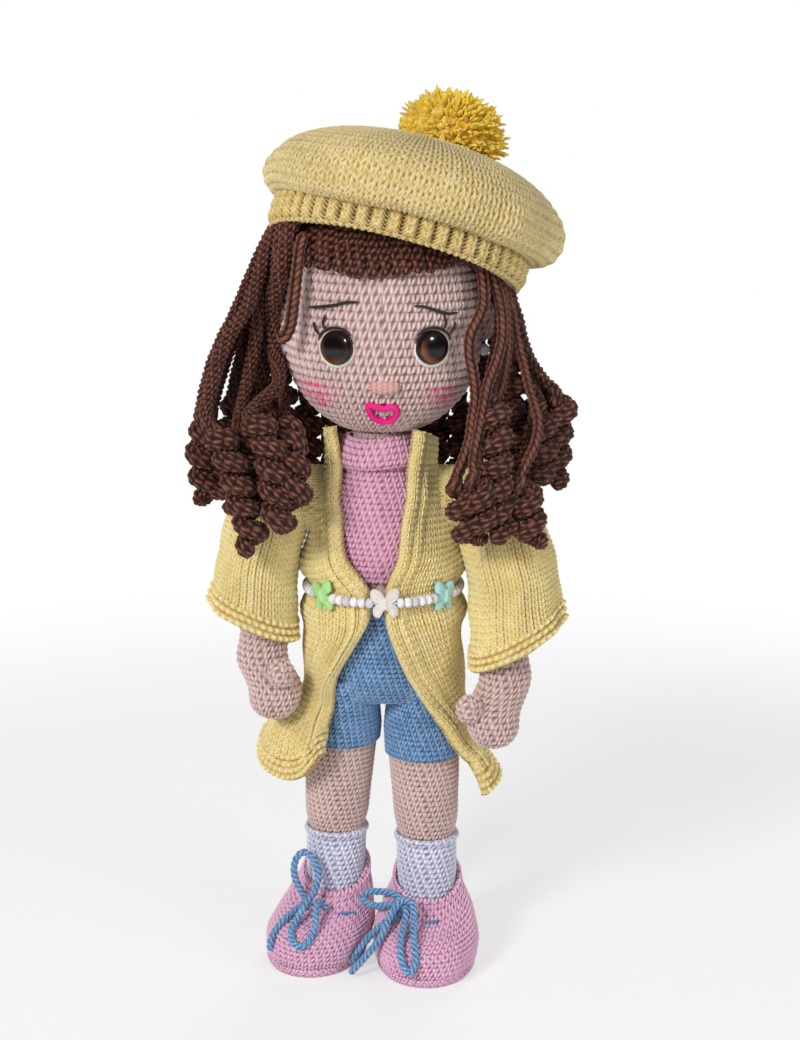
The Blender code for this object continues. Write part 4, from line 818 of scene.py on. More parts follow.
class Looks:
    """Every finish of the doll."""

    # In each yarn below, the first colour is painted shade for the stitches' hollows and the third is a painted
    # highlight for their tops; the hair's is near black.
    skin = Yarn("skin", YarnLook(
        "skin_yarn", (112, 74, 68), (210, 178, 172), (240, 218, 213), (196, 162, 156), 0.16, tint=(240, 84, 148)))
    nose = Yarn("nose", YarnLook(
        "nose_yarn", (176, 118, 108), (218, 168, 158), (230, 188, 178), (204, 146, 138), 0.15))
    hair = Yarn("hair", YarnLook(
        "brown_yarn", (4, 1, 1), (66, 32, 23), (148, 94, 74), (50, 23, 18), 0.34, rough=0.95, sheen=0.04))
    knit = Yarn("knit", YarnLook(
        "butter_yarn", (124, 78, 10), (216, 180, 84), (250, 232, 160), (252, 242, 196), 0.34, 0.3))
    beret = Yarn("knit", YarnLook(
        "beret_yarn", (138, 80, 4), (192, 158, 74), (226, 206, 144), (238, 226, 184), 0.34, 0.26))
    # A darker copy of the beret's yarn: painted shadow from the crown's overhanging edge, with deep painted shade
    # between the ribs.
    band = Yarn("knit", YarnLook(
        "band_yarn_painted_shade", (58, 30, 2), (184, 146, 62), (228, 206, 138), (240, 226, 176), 0.3, 0.26))
    pompom = Yarn("pompom", YarnLook(
        "pompom_yarn", (216, 158, 4), (242, 198, 8), (250, 222, 84), (252, 234, 160), 0.2))
    pink = Yarn("pink", YarnLook(
        "pink_yarn", (150, 70, 108), (226, 164, 194), (246, 204, 224), (214, 146, 180), 0.15))
    denim = Yarn("denim", YarnLook(
        "blue_yarn", (8, 20, 46), (122, 170, 218), (198, 226, 250), (58, 96, 150), 0.5, 0.4))
    sock = Yarn("sock", YarnLook(
        "white_yarn", (84, 80, 120), (206, 206, 232), (250, 250, 255), (226, 226, 246), 0.2, 0.2))
    shoe = Yarn("shoe", YarnLook(
        "mauve_yarn", (116, 56, 90), (238, 178, 212), (252, 218, 238), (214, 150, 184), 0.2))
    lace = Yarn("lace", YarnLook(
        "lace_cotton", (18, 56, 116), (82, 146, 202), (172, 212, 240), (46, 98, 160), 0.4, 0.5, rough=0.7))
    mouth = Yarn("mouth", YarnLook(
        "magenta_thread", (150, 0, 66), (236, 0, 120), (250, 34, 150), (214, 0, 104), 0.2, rough=0.6, sheen=0.0))
    lash = Yarn("lash", YarnLook(
        "black_thread", (14, 8, 10), (38, 24, 26), (66, 46, 46), (24, 14, 16), 0.2, rough=0.7))
    arm_thread = Yarn("arm_thread", YarnLook(
        "joint_thread", (150, 140, 124), (206, 196, 178), (222, 214, 198), (190, 180, 160), 0.2))
    bead = Glossy("bead", "white_bead", ((200, 196, 206), (236, 234, 238), (246, 244, 246)), 0.22, 0.4)
    green = Glossy("butterfly_green", "green_bead", ((84, 170, 72), (140, 210, 112), (178, 230, 150)), 0.3, 0.5)
    white = Glossy("butterfly_white", "pale_bead", ((168, 156, 144), (214, 204, 194), (232, 224, 216)), 0.35, 0.4)
    teal = Glossy("butterfly_teal", "teal_bead", ((88, 176, 172), (138, 212, 206), (176, 230, 224)), 0.3, 0.5)
    pearl = Glossy("pearl", "pearl", ((198, 192, 204), (232, 228, 236), (246, 244, 248)), 0.16, 0.8)
    eye = EyeGlass("eye")
    washer = Plain("washer", "washer_plastic", ((196, 196, 194), (220, 220, 218)), 500.0, (1, 1, 1), 0.4, 0.00003)
    felt = Plain("felt", "white_felt", ((222, 218, 214), (246, 244, 240)), 1500.0, (1, 1, 1), 0.95, 0.0003)
    dowel = Plain("dowel", "dowel_wood", ((170, 132, 86), (206, 170, 122)), 300.0, (1, 1, 0.08), 0.6, 0.0001)


# The photograph's view
@dataclass
class Studio:
    """The camera at the photograph's place, a pale floor and plain soft light. Lengths are metres."""

    camera_place: tuple[float, float, float] = (0.0068, -0.80, 0.373)
    aim_height: float = 0.184
    lens: float = 70.0
    sensor: float = 36.0
    floor_half: float = 6.0
    ambient: float = 0.42
    mirror_dim: float = 0.3
    shadow_near: float = 0.28
    shadow_far: float = 0.60
    floor_lift: float = 0.55
    lamp_aim: tuple[float, float, float] = (0.0, 0.0, 0.2)
    lamps: tuple = (
        ("key_lamp", (-0.74, -1.08, 0.88), 0.40, 13.0, False), ("fill_lamp", (0.95, -0.75, 0.60), 0.45, 3.0, False),
        ("back_lamp", (0.30, 1.05, 0.95), 0.6, 4.0, False), ("small_window", (0.27, -0.42, 0.66), 0.15, 2.2, True),
    )

    def camera(self) -> None:
        """Sets the camera at the photograph's angle."""
        data = bpy.data.cameras.new("camera")
        data.lens, data.sensor_width = self.lens, self.sensor
        data.clip_start, data.clip_end = 0.01, 50.0
        item = bpy.data.objects.new("camera", data)
        bpy.context.scene.collection.objects.link(item)
        place = Vector(self.camera_place) + Vector(DOLL_PLACE * MILLIMETRE)
        item.location = place
        aim = Vector((0.0, -self.camera_place[1], self.aim_height - self.camera_place[2]))
        item.rotation_euler = aim.to_track_quat("-Z", "Y").to_euler()
        bpy.context.scene.camera = item

    def lamp(self, name: str, place: Sequence[float], size: float, power: float, mirrored: bool) -> None:
        """Adds a soft lamp that shines on the doll's chest.

        Args:
            name: Its name.
            place: Where it stands, in metres.
            size: How wide it is.
            power: Its power in watts.
            mirrored: Whether it only shows as a reflection in glossy things, or never does.
        """
        data = bpy.data.lights.new(name, "AREA")
        data.shape, data.size, data.energy = "DISK", size, power
        item = bpy.data.objects.new(name, data)
        bpy.context.scene.collection.objects.link(item)
        item.visible_glossy, item.visible_diffuse = mirrored, not mirrored
        item.location = place
        item.rotation_euler = (Vector(self.lamp_aim) - Vector(place)).to_track_quat("-Z", "Y").to_euler()

    def seen(self, tree: bpy.types.NodeTree) -> bpy.types.NodeSocket:
        """1 for the rays that the camera sees straight or through glass."""
        path = tree.nodes.new("ShaderNodeLightPath")
        either = tree.nodes.new("ShaderNodeMath")
        either.operation = "MAXIMUM"
        tree.links.new(path.outputs["Is Camera Ray"], either.inputs[0])
        tree.links.new(path.outputs["Is Transmission Ray"], either.inputs[1])
        return either.outputs[0]

    def world(self) -> None:
        """A white surround that lights the doll evenly."""
        world = bpy.data.worlds.new("surround")
        bpy.context.scene.world = world
        world.use_nodes = True
        tree = world.node_tree
        background = tree.nodes["Background"]
        background.inputs["Color"].default_value = (1.0, 1.0, 1.0, 1.0)
        strength = tree.nodes.new("ShaderNodeMapRange")
        strength.inputs["To Min"].default_value = self.ambient
        strength.inputs["To Max"].default_value = 1.0
        tree.links.new(self.seen(tree), strength.inputs["Value"])
        path = tree.nodes.new("ShaderNodeLightPath")
        mirror = tree.nodes.new("ShaderNodeMapRange")
        mirror.inputs["To Min"].default_value = 1.0
        mirror.inputs["To Max"].default_value = self.mirror_dim
        tree.links.new(path.outputs["Is Glossy Ray"], mirror.inputs["Value"])
        dimmed = tree.nodes.new("ShaderNodeMath")
        dimmed.operation = "MULTIPLY"
        tree.links.new(strength.outputs["Result"], dimmed.inputs[0])
        tree.links.new(mirror.outputs["Result"], dimmed.inputs[1])
        tree.links.new(dimmed.outputs[0], background.inputs["Strength"])

    def floor(self) -> None:
        """A white floor that keeps the doll's shadow and grows whiter away from it."""
        half = self.floor_half
        mesh = bpy.data.meshes.new("floor")
        mesh.from_pydata([(-half, -half, 0), (half, -half, 0), (half, half, 0), (-half, half, 0)], [], [(0, 1, 2, 3)])
        item = bpy.data.objects.new("floor", mesh)
        bpy.context.scene.collection.objects.link(item)
        tree = Tree("floor_white")
        nodes, links = tree.tree.nodes, tree.tree.links
        tree.set(Roughness=0.9, Base_Color=(0.9, 0.9, 0.9, 1.0))
        glow = tree.add("ShaderNodeEmission")
        place = tree.add("ShaderNodeVectorMath", operation="LENGTH")
        tree.join(tree.add("ShaderNodeTexCoord").outputs["Object"], place.inputs[0])
        away = tree.add("ShaderNodeMapRange", interpolation_type="SMOOTHSTEP")
        for name, value in (("From Min", self.shadow_near), ("From Max", self.shadow_far),
                            ("To Min", self.floor_lift), ("To Max", 1.0)):
            away.inputs[name].default_value = value
        tree.join(place.outputs["Value"], away.inputs["Value"])
        share = tree.math("MULTIPLY", away.outputs["Result"], self.seen(tree.tree))
        mixed = tree.add("ShaderNodeMixShader")
        links.new(share, mixed.inputs[0])
        links.new(tree.shader.outputs[0], mixed.inputs[1])
        links.new(glow.outputs[0], mixed.inputs[2])
        links.new(mixed.outputs[0], nodes["Material Output"].inputs["Surface"])
        mesh.materials.append(tree.material)

    def build(self) -> None:
        """Makes the whole studio."""
        self.camera()
        self.world()
        self.floor()
        for lamp in self.lamps:
            self.lamp(*lamp)
        bpy.context.scene.view_settings.view_transform = "Standard"


# Laces
@dataclass
class Lace:
    """One shoe's lace: a crocheted cord from its long tail through both loops of its bow."""

    side: Side
    knots: tuple
    stitch: tuple
    radius: float = 1.25
    step: float = 0.4
    sides: int = 20
    plies: int = 3
    ply_length: float = 2.3
    ply_depth: float = 0.7
    ply_power: float = 0.7
    stitch_radius: float = 0.62
    stitch_step: float = 0.3
    stitch_sides: int = 12
    stitch_twist: float = 0.2
    stitch_depth: float = 0.2

    def build(self) -> bpy.types.Object:
        path = smooth_path(self.knots, self.step)
        radii = self.radius * rounded_ends(len(path), self.step, self.radius)
        points = tube(path, radii, self.sides)
        across = self.plies * np.arange(self.sides)[None, :] / self.sides + np.zeros((len(path), 1))
        along = np.arange(len(path))[:, None] * self.step / self.ply_length + np.zeros((1, self.sides))
        relief = np.abs(np.sin(math.pi * (across + along))) ** self.ply_power
        shell = Shell()
        shell.surface(raised(points, True, relief, self.ply_depth, ply_twist(across, along)), caps="first last")
        label = self.side.label
        piece = shell.piece(f"bow_lace_{label}", f"{label}_shoe", Looks.lace, [f"lace_{label}"])
        self.dash()
        return piece

    def dash(self) -> None:
        """The small stitch of the lace that shows on the shoe's front."""
        path = smooth_path(self.stitch, self.stitch_step)
        radii = self.stitch_radius * rounded_ends(len(path), self.stitch_step, self.stitch_radius)
        points = tube(path, radii, self.stitch_sides)
        turn = np.arange(self.stitch_sides) / self.stitch_sides + np.arange(len(path))[:, None] * self.stitch_twist
        shell = Shell()
        relief = 0.5 + 0.5 * np.cos(2 * TURN * turn)
        shell.surface(raised(points, True, relief, self.stitch_depth, TURN * turn), caps="first last")
        label = self.side.label
        shell.piece(f"lace_stitch_{label}", f"{label}_shoe", Looks.lace)


LACE_RIGHT = (
    (-46.8, -29.3, 8.7), (-46.4, -28.5, 12.4), (-44.8, -26.2, 15.8), (-41.2, -23.8, 19.5), (-37.2, -20.6, 22.2),
    (-33.8, -18.6, 24.0), (-32.6, -15.8, 25.4), (-34.6, -14.2, 28.6), (-36.8, -13.6, 33.4), (-37.3, -13.4, 38.4),
    (-36.1, -12.6, 42.6), (-33.2, -12.0, 44.7), (-29.9, -12.4, 42.7), (-27.6, -13.4, 38.2), (-27.4, -15.2, 33.2),
    (-29.4, -18.4, 28.9), (-32.6, -23.2, 25.6), (-36.0, -27.8, 21.2), (-37.9, -31.4, 17.9), (-36.9, -35.5, 15.2),
    (-34.0, -38.0, 14.2), (-30.7, -36.7, 15.8), (-28.6, -33.0, 18.9), (-27.9, -29.0, 22.2), (-28.0, -25.4, 25.6),
    (-27.2, -22.4, 26.6), (-25.4, -20.6, 25.4), (-23.4, -21.6, 23.0),
)
LACE_LEFT = (
    (-13.4, -31.9, 4.2), (-10.6, -31.3, 8.7), (-7.2, -29.9, 13.1), (-3.5, -29.4, 17.2), (1.5, -29.8, 21.8),
    (5.6, -27.4, 23.6), (8.4, -24.6, 25.3), (6.8, -20.6, 27.4), (3.4, -17.6, 28.8), (-1.7, -15.6, 28.6),
    (-6.4, -15.4, 28.2), (-8.9, -17.2, 26.4), (-6.4, -20.2, 25.2), (-1.4, -22.6, 25.2), (4.2, -25.0, 27.2),
    (9.2, -29.6, 27.0), (8.6, -35.4, 22.2), (7.2, -40.5, 19.6), (7.0, -45.4, 15.8), (7.9, -48.8, 11.4),
    (10.4, -50.4, 8.6), (13.0, -49.2, 12.2), (12.9, -46.2, 16.8), (12.3, -40.6, 21.0), (12.6, -34.6, 24.4),
    (11.8, -29.8, 29.6), (7.8, -29.2, 30.6), (3.6, -31.8, 26.8), (0.5, -35.4, 20.8), (-1.8, -36.4, 16.4),
    (-5.2, -36.5, 11.8), (-9.7, -37.0, 6.6), (-13.7, -37.5, 2.2),
)


STITCH_RIGHT = ((-18.9, -19.6, 20.4), (-18.4, -21.0, 20.9), (-15.4, -20.9, 21.4), (-12.3, -20.2, 21.2),
    (-11.7, -18.6, 20.7))
STITCH_LEFT = ((17.4, -28.0, 20.2), (17.9, -29.6, 20.9), (20.0, -29.6, 21.4), (22.0, -29.3, 21.5), (22.6, -27.8, 21.0))


# Head and face
HEAD_ROWS = (
    (223.1, 14.04), (225.15, 19.11), (229.15, 24.96), (235.19, 31.01), (242.07, 35.3), (251.0, 38.22),
    (262.16, 39.0), (274.06, 38.69), (285.13, 37.6), (294.06, 35.1), (302.15, 30.5), (309.13, 23.01),
    (313.59, 14.43), (316.1, 4.68),
)
HEAD_DEPTH = 0.95


def head_half(height: Array) -> Array:
    """The head's half width at a height."""
    return table(HEAD_ROWS, np.asarray(height, float))


def on_face(side: Array, height: Array, lift: Array | float = 0.0) -> Array:
    """Points on the front of the head.

    Args:
        side: X of each point.
        height: Z of each point.
        lift: How far off the surface it stands.

    Returns:
        The points.
    """
    def at(x: Array, z: Array) -> Array:
        width = head_half(z)
        return np.stack([x, -width * HEAD_DEPTH * np.sqrt(np.clip(1.0 - (x / width) ** 2, 0.0, 1.0)), z], axis=-1)

    side, height = np.broadcast_arrays(np.asarray(side, float), np.asarray(height, float))
    across = at(side + 0.4, height) - at(side - 0.4, height)
    up = at(side, height + 0.4) - at(side, height - 0.4)
    return at(side, height) + unit(np.cross(across, up)) * np.asarray(lift)[..., None]


@dataclass
class Head:
    """The stuffed head: crochet in the round with rubbed-in blush."""

    gauge: Gauge = Gauge(Pattern.SINGLE, 3.8, 3.45, 1.45, 7)
    eye_places: tuple = ((-17.0, 259.6), (18.7, 259.6))
    eye_dent: float = 8.6
    blushes: tuple = (
        (-27.0, 243.6, 6.4, 1.25), (-25.4, 239.6, 6.0, 1.25), (-23.6, 235.6, 4.4, 1.1),
        (24.0, 241.6, 5.6, 1.0), (23.2, 238.1, 5.2, 1.0), (23.4, 234.4, 3.6, 0.9),
    )
    ear_place: tuple[float, float, float] = (39.0, -1.8, 266.0)
    ear_half: tuple[float, float, float] = (6.2, 5.5, 8.5)
    nose_place: tuple[float, float] = (0.8, 244.4)
    nose_half: tuple[float, float, float] = (6.4, 2.9, 3.0)
    nose_stitch: tuple[float, float] = (2.2, 1.5)
    nose_depth: float = 0.35
    ear_gauge: Gauge = Gauge(Pattern.SINGLE, 3.0, 2.8, 1.0, 6)

    def build(self) -> None:
        """Makes the head, its ears and its nose."""
        self.skull()
        for side in Side:
            self.ear(side)
        self.nose()

    def skull(self) -> None:
        """The head itself."""
        profile = [(222.7, 9.0), *HEAD_ROWS, (316.5, 1.0)]
        profile = smooth_path(profile, self.gauge.step, (0, 1))
        height, half = profile[:, 0], profile[:, 1]
        rows = np.column_stack([0 * half, 0 * half, height, half, half * HEAD_DEPTH])
        points = rings(rows, self.gauge.columns(TURN * 39.0))
        calm = np.ones(points.shape[:2])
        dent = np.zeros(points.shape[:2])
        for x, z in self.eye_places:
            away = np.hypot(points[..., 0] - x, points[..., 2] - z) + 99.0 * (points[..., 1] > 0)
            calm *= 0.25 + 0.75 * eased(away, self.eye_dent - 1.2, self.eye_dent + 0.8)
            dent += 0.7 * (1.0 - eased(away, self.eye_dent - 2.5, self.eye_dent + 1.5))
        worked = in_the_round(points, self.gauge, calm)
        worked.points -= facing(points, True) * dent[..., None]
        tint = np.zeros(points.shape[:2])
        for x, z, wide, high in self.blushes:
            away = ((points[..., 0] - x) / wide) ** 2 + ((points[..., 2] - z) / high) ** 2
            tint = np.maximum(tint, np.exp(-away) * (points[..., 1] < 0))
        patchy = 0.72 + 0.28 * drape(points, 3.0, 5)
        shell = Shell()
        shell.surface(worked, caps="first last", tint=np.clip(tint * 1.25 * patchy, 0.0, 0.9))
        piece = shell.piece("stuffed_head", "head_part", Looks.skin, ["head"])

    def ear(self, side: Side) -> None:
        """One ear, a small cupped ball sewn to the head."""
        x, y, z = self.ear_place
        wide, deep, high = self.ear_half
        points = rings(ball((side.value * x, y, z), (wide, deep, high), 0.49, 34), 56)
        cup = np.exp(-((points[..., 2] - z) / 4.5) ** 2) * np.clip(-(points[..., 1] - y) / deep, 0.0, 1.0)
        points[..., 1] += 1.6 * cup
        shell = Shell()
        shell.surface(in_the_round(points, self.ear_gauge), caps="first last")
        shell.piece(f"sewn_ear_{side.label}", "head_part", Looks.skin, [f"ear_{side.label}"])

    def nose(self) -> None:
        """A low oval nose of stitches over stitches."""
        points = rings(ball(on_face(*self.nose_place), self.nose_half, 0.48, 30), 60)
        across = points[..., 0] / self.nose_stitch[0]
        along = points[..., 2] / self.nose_stitch[1]
        shell = Shell()
        worked = raised(points, True, garter_relief(along, across), self.nose_depth, ply_twist(along, across))
        shell.surface(worked, caps="first last")
        shell.piece("stitched_nose", "head_part", Looks.nose, ["nose"])


@dataclass
class Face:
    """Eyes, brows, lashes, mouth and earrings."""

    eye_radius: float = 6.75
    eye_dome: float = 4.34
    eye_flange: float = 0.8
    eye_lift: float = 0.1
    felt_radius: float = 7.45
    felt_shift: float = 0.8
    felt_thick: float = 0.9
    pupil_shift: tuple[float, float] = (0.08, 0.06)
    eye_sides: tuple[float, float] = (-17.0, 18.7)
    eye_height: float = 259.6
    mouth_radius: float = 1.3
    mouth_knots: tuple = (
        (-5.4, 236.4), (-4.1, 237.2), (-2.1, 236.5), (0.1, 235.7), (2.2, 236.2), (4.2, 236.2), (5.5, 234.9),
        (4.9, 232.2), (3.0, 230.3), (0.4, 229.9), (-2.4, 230.9), (-4.4, 233.3),
    )
    thread_step: float = 0.22
    thread_sides: int = 8
    thread_turn: float = 1.4
    thread_depth: float = 0.14
    lash_radius: float = 0.58
    lash_lift: float = 0.85
    lid_reach: float = 7.6
    brow_radius: float = 0.72
    brow_lift: float = 0.75
    pearl_radius: float = 2.4
    pearl_places: tuple = ((-40.0, -4.0, 254.4), (40.0, -4.0, 254.4))

    def build(self) -> None:
        """Makes every part of the face."""
        for side in Side:
            self.eye(side)
            self.lashes(side)
            self.brow(side)
            self.pearl(side)
        self.mouth()

    def eye_x(self, side: Side) -> float:
        """Where an eye's middle is across the face."""
        return self.eye_sides[side is Side.LEFT]

    def seat(self, side: Side) -> tuple[Array, Array, Array, Array]:
        """The middle of an eye, the way it faces, and its own sideways and upward directions."""
        place = on_face(self.eye_x(side), self.eye_height)
        out = unit(on_face(self.eye_x(side), self.eye_height, 1.0) - place)
        across = unit(np.cross((0.0, 0.0, 1.0), out)) * -1.0
        if across[0] < 0:
            across = -across
        up = unit(np.cross(across, out))
        if up[2] < 0:
            up = -up
        return place, out, across, up

    def disc(self, centre: Array, out: Array, across: Array, up: Array, profile: Array, columns: int) -> Array:
        """A turned form: rows of a radius and a height above the seat, from the rim to the middle."""
        angles = whole_turn(columns)
        ring = across * np.cos(angles)[:, None] + up * np.sin(angles)[:, None]
        if float(np.cross(across, up) @ out) < 0:
            ring = ring[::-1]
        return centre + profile[:, 0][:, None, None] * ring[None] + profile[:, 1][:, None, None] * out

    def eye(self, side: Side) -> None:
        """A glossy domed eye on its felt."""
        place, out, across, up = self.seat(side)
        angles = np.linspace(0.0, 0.5 * math.pi - 0.04, 22)
        dome = np.column_stack([self.eye_radius * np.cos(angles), self.eye_flange + self.eye_dome * np.sin(angles)])
        profile = np.vstack([(self.eye_radius * 0.9, -1.2), (self.eye_radius, -0.9), (self.eye_radius, 0.3), dome])
        points = self.disc(place + out * self.eye_lift, out, across, up, profile, 64)
        away = points - place - out * ((points - place) @ out)[..., None]
        local = np.stack([away @ across, away @ up], axis=2) / self.eye_radius
        shifted = local - np.array(self.pupil_shift) * (1.0 - np.linalg.norm(local, axis=2, keepdims=True))
        radial = np.linalg.norm(shifted, axis=2)
        # Painted light: the iris is coloured lighter towards its lower side on the doll's right, where light through
        # the dome would fall; the tint field carries it.
        painted_iris_light = np.clip(-(local[..., 0] * 0.65 + local[..., 1] * 0.76) * 1.4 + 0.1, 0.0, 1.0)
        shell = Shell()
        shell.surface(Worked(points, radial, 0 * radial), caps="last", tint=painted_iris_light)
        shell.fields["pit"][-1][:] = 0.0
        shell.piece(f"glossy_eye_{side.label}", "head_part", Looks.eye, [f"eye_{side.label}"])
        self.felt(side, place, out, across, up)

    def felt(self, side: Side, place: Array, out: Array, across: Array, up: Array) -> None:
        """The pale felt disc behind an eye, cut by hand and a little to the outer lower side."""
        shift = unit(across * side.value - up) * self.felt_shift
        edge = self.felt_radius
        profile = np.array([(edge * 0.5, -1.4), (edge - 0.3, -1.3), (edge, -0.9), (edge, -0.1), (edge - 0.35, 0.2),
                            (edge * 0.5, 0.5)])
        points = self.disc(place + shift, out, across, up, profile, 72)
        turn = whole_turn(72)
        points += out * (0.12 * np.sin(5 * turn) + 0.08 * np.sin(9 * turn))[None, :, None]
        shell = Shell()
        shell.surface(Worked(points, np.ones(points.shape[:2]), np.zeros(points.shape[:2])), caps="first last")
        shell.piece(f"felt_disc_{side.label}", "head_part", Looks.felt, [f"eye_backing_{side.label}"])

    def threads(self, name: str, paths: Sequence[Array], radius: float, nodes: Sequence[str]) -> None:
        """Sewn threads, thick in the middle and thin at their ends."""
        shell = Shell()
        for knots in paths:
            path = smooth_path(knots, self.thread_step)
            share = np.linspace(0.0, 1.0, len(path))
            radii = radius * (0.45 + 0.55 * np.sin(math.pi * np.clip(share, 0.02, 0.98)) ** 0.6)
            points = tube(path, radii, self.thread_sides)
            along = np.arange(len(path))[:, None] * self.thread_step / self.thread_turn
            turn = np.arange(self.thread_sides) / self.thread_sides + along
            relief = 0.55 + 0.45 * np.cos(2 * TURN * turn)
            shell.surface(raised(points, True, relief, self.thread_depth, TURN * turn), caps="first last")
        shell.piece(name, "head_part", Looks.lash, nodes)

    def lashes(self, side: Side) -> None:
        """The lid's line over an eye and two lashes at its outer end."""
        sign, radius = side.value, self.lid_reach

        def around(degrees: Sequence[float], reach: Sequence[float]) -> Array:
            turn = np.radians(degrees)
            x = self.eye_x(side) + sign * np.array(reach) * np.cos(turn)
            return on_face(x, self.eye_height + np.array(reach) * np.sin(turn), self.lash_lift)

        lid = around((18, 40, 65, 90, 115, 138), (radius - 0.2, radius, radius, radius, radius - 0.1, radius - 0.4))
        long = around((34, 38, 46), (7.9, 10.2, 12.6))
        short = around((56, 60, 70), (8.0, 10.4, 12.8))
        self.threads(f"lash_threads_{side.label}", [lid, long, short], self.lash_radius, [f"lashes_{side.label}"])

    def brow(self, side: Side) -> None:
        """One stitched eyebrow, lower at its outer end."""
        if side is Side.RIGHT:
            knots = ((-27.0, 274.2), (-23.0, 274.7), (-17.9, 275.6), (-13.4, 276.9), (-9.1, 277.2))
        else:
            knots = ((12.1, 275.7), (16.0, 275.1), (20.1, 273.6), (24.4, 272.0), (28.3, 271.9))
        data = np.array(knots)
        path = on_face(data[:, 0], data[:, 1], self.brow_lift)
        self.threads(f"brow_thread_{side.label}", [path], self.brow_radius, [f"eyebrow_{side.label}"])

    def mouth(self) -> None:
        """A thick ring of satin stitches in the shape of two lips."""
        flat = smooth_path(np.array([(x, z, 0.0) for x, z in self.mouth_knots]), 0.3, closed=True)
        path = on_face(flat[:, 0], flat[:, 1], self.mouth_radius * 0.55)
        count = len(path)
        along = unit(np.roll(path, -1, axis=0) - np.roll(path, 1, axis=0))
        out = unit(on_face(flat[:, 0], flat[:, 1], 1.0) - on_face(flat[:, 0], flat[:, 1]))
        across = unit(np.cross(along, out))
        turn = np.arange(18) / 18
        ring = across[:, None] * np.cos(TURN * turn)[None, :, None] + out[:, None] * np.sin(TURN * turn)[None, :, None]
        points = path[:, None] + ring * self.mouth_radius
        wraps = np.arange(count)[:, None] * 34.0 / count + turn[None, :] * 2.0
        relief = np.abs(np.cos(math.pi * wraps)) ** 0.6
        points += ring * ((relief - 0.6) * 0.34)[..., None]
        points = np.concatenate([points, points[:1]])
        relief = np.concatenate([relief, relief[:1]])
        if float(np.mean(np.cross(np.roll(points, -1, axis=1) - points, np.gradient(points, axis=0)) * (
                points - np.concatenate([path, path[:1]])[:, None]))) < 0:
            points, relief = points[:, ::-1], relief[:, ::-1]
        shell = Shell()
        shell.surface(Worked(points, relief, TURN * relief))
        shell.piece("mouth_thread", "head_part", Looks.mouth, ["mouth"])

    def pearl(self, side: Side) -> None:
        """One pearl earring below an ear."""
        place = next(found for found in self.pearl_places if found[0] * side.value > 0)
        points = rings(ball(place, (self.pearl_radius,) * 3, 0.49, 22), 32)
        shell = Shell()
        shell.surface(Worked(points, np.full(points.shape[:2], 0.7), np.zeros(points.shape[:2])), caps="first last")
        shell.piece(f"pearl_{side.label}", "head_part", Looks.pearl, [f"earring_{side.label}"])


# Hair
@dataclass(frozen=True)
class Strand:
    """One hair strand: how it falls, and the middle of the ringlet that it ends in."""

    name: str
    fall: tuple
    core: tuple = ()
    hand: int = 1
    chain: bool = False
    half: float = 3.8
    plump: float = 3.8
    node: str = ""


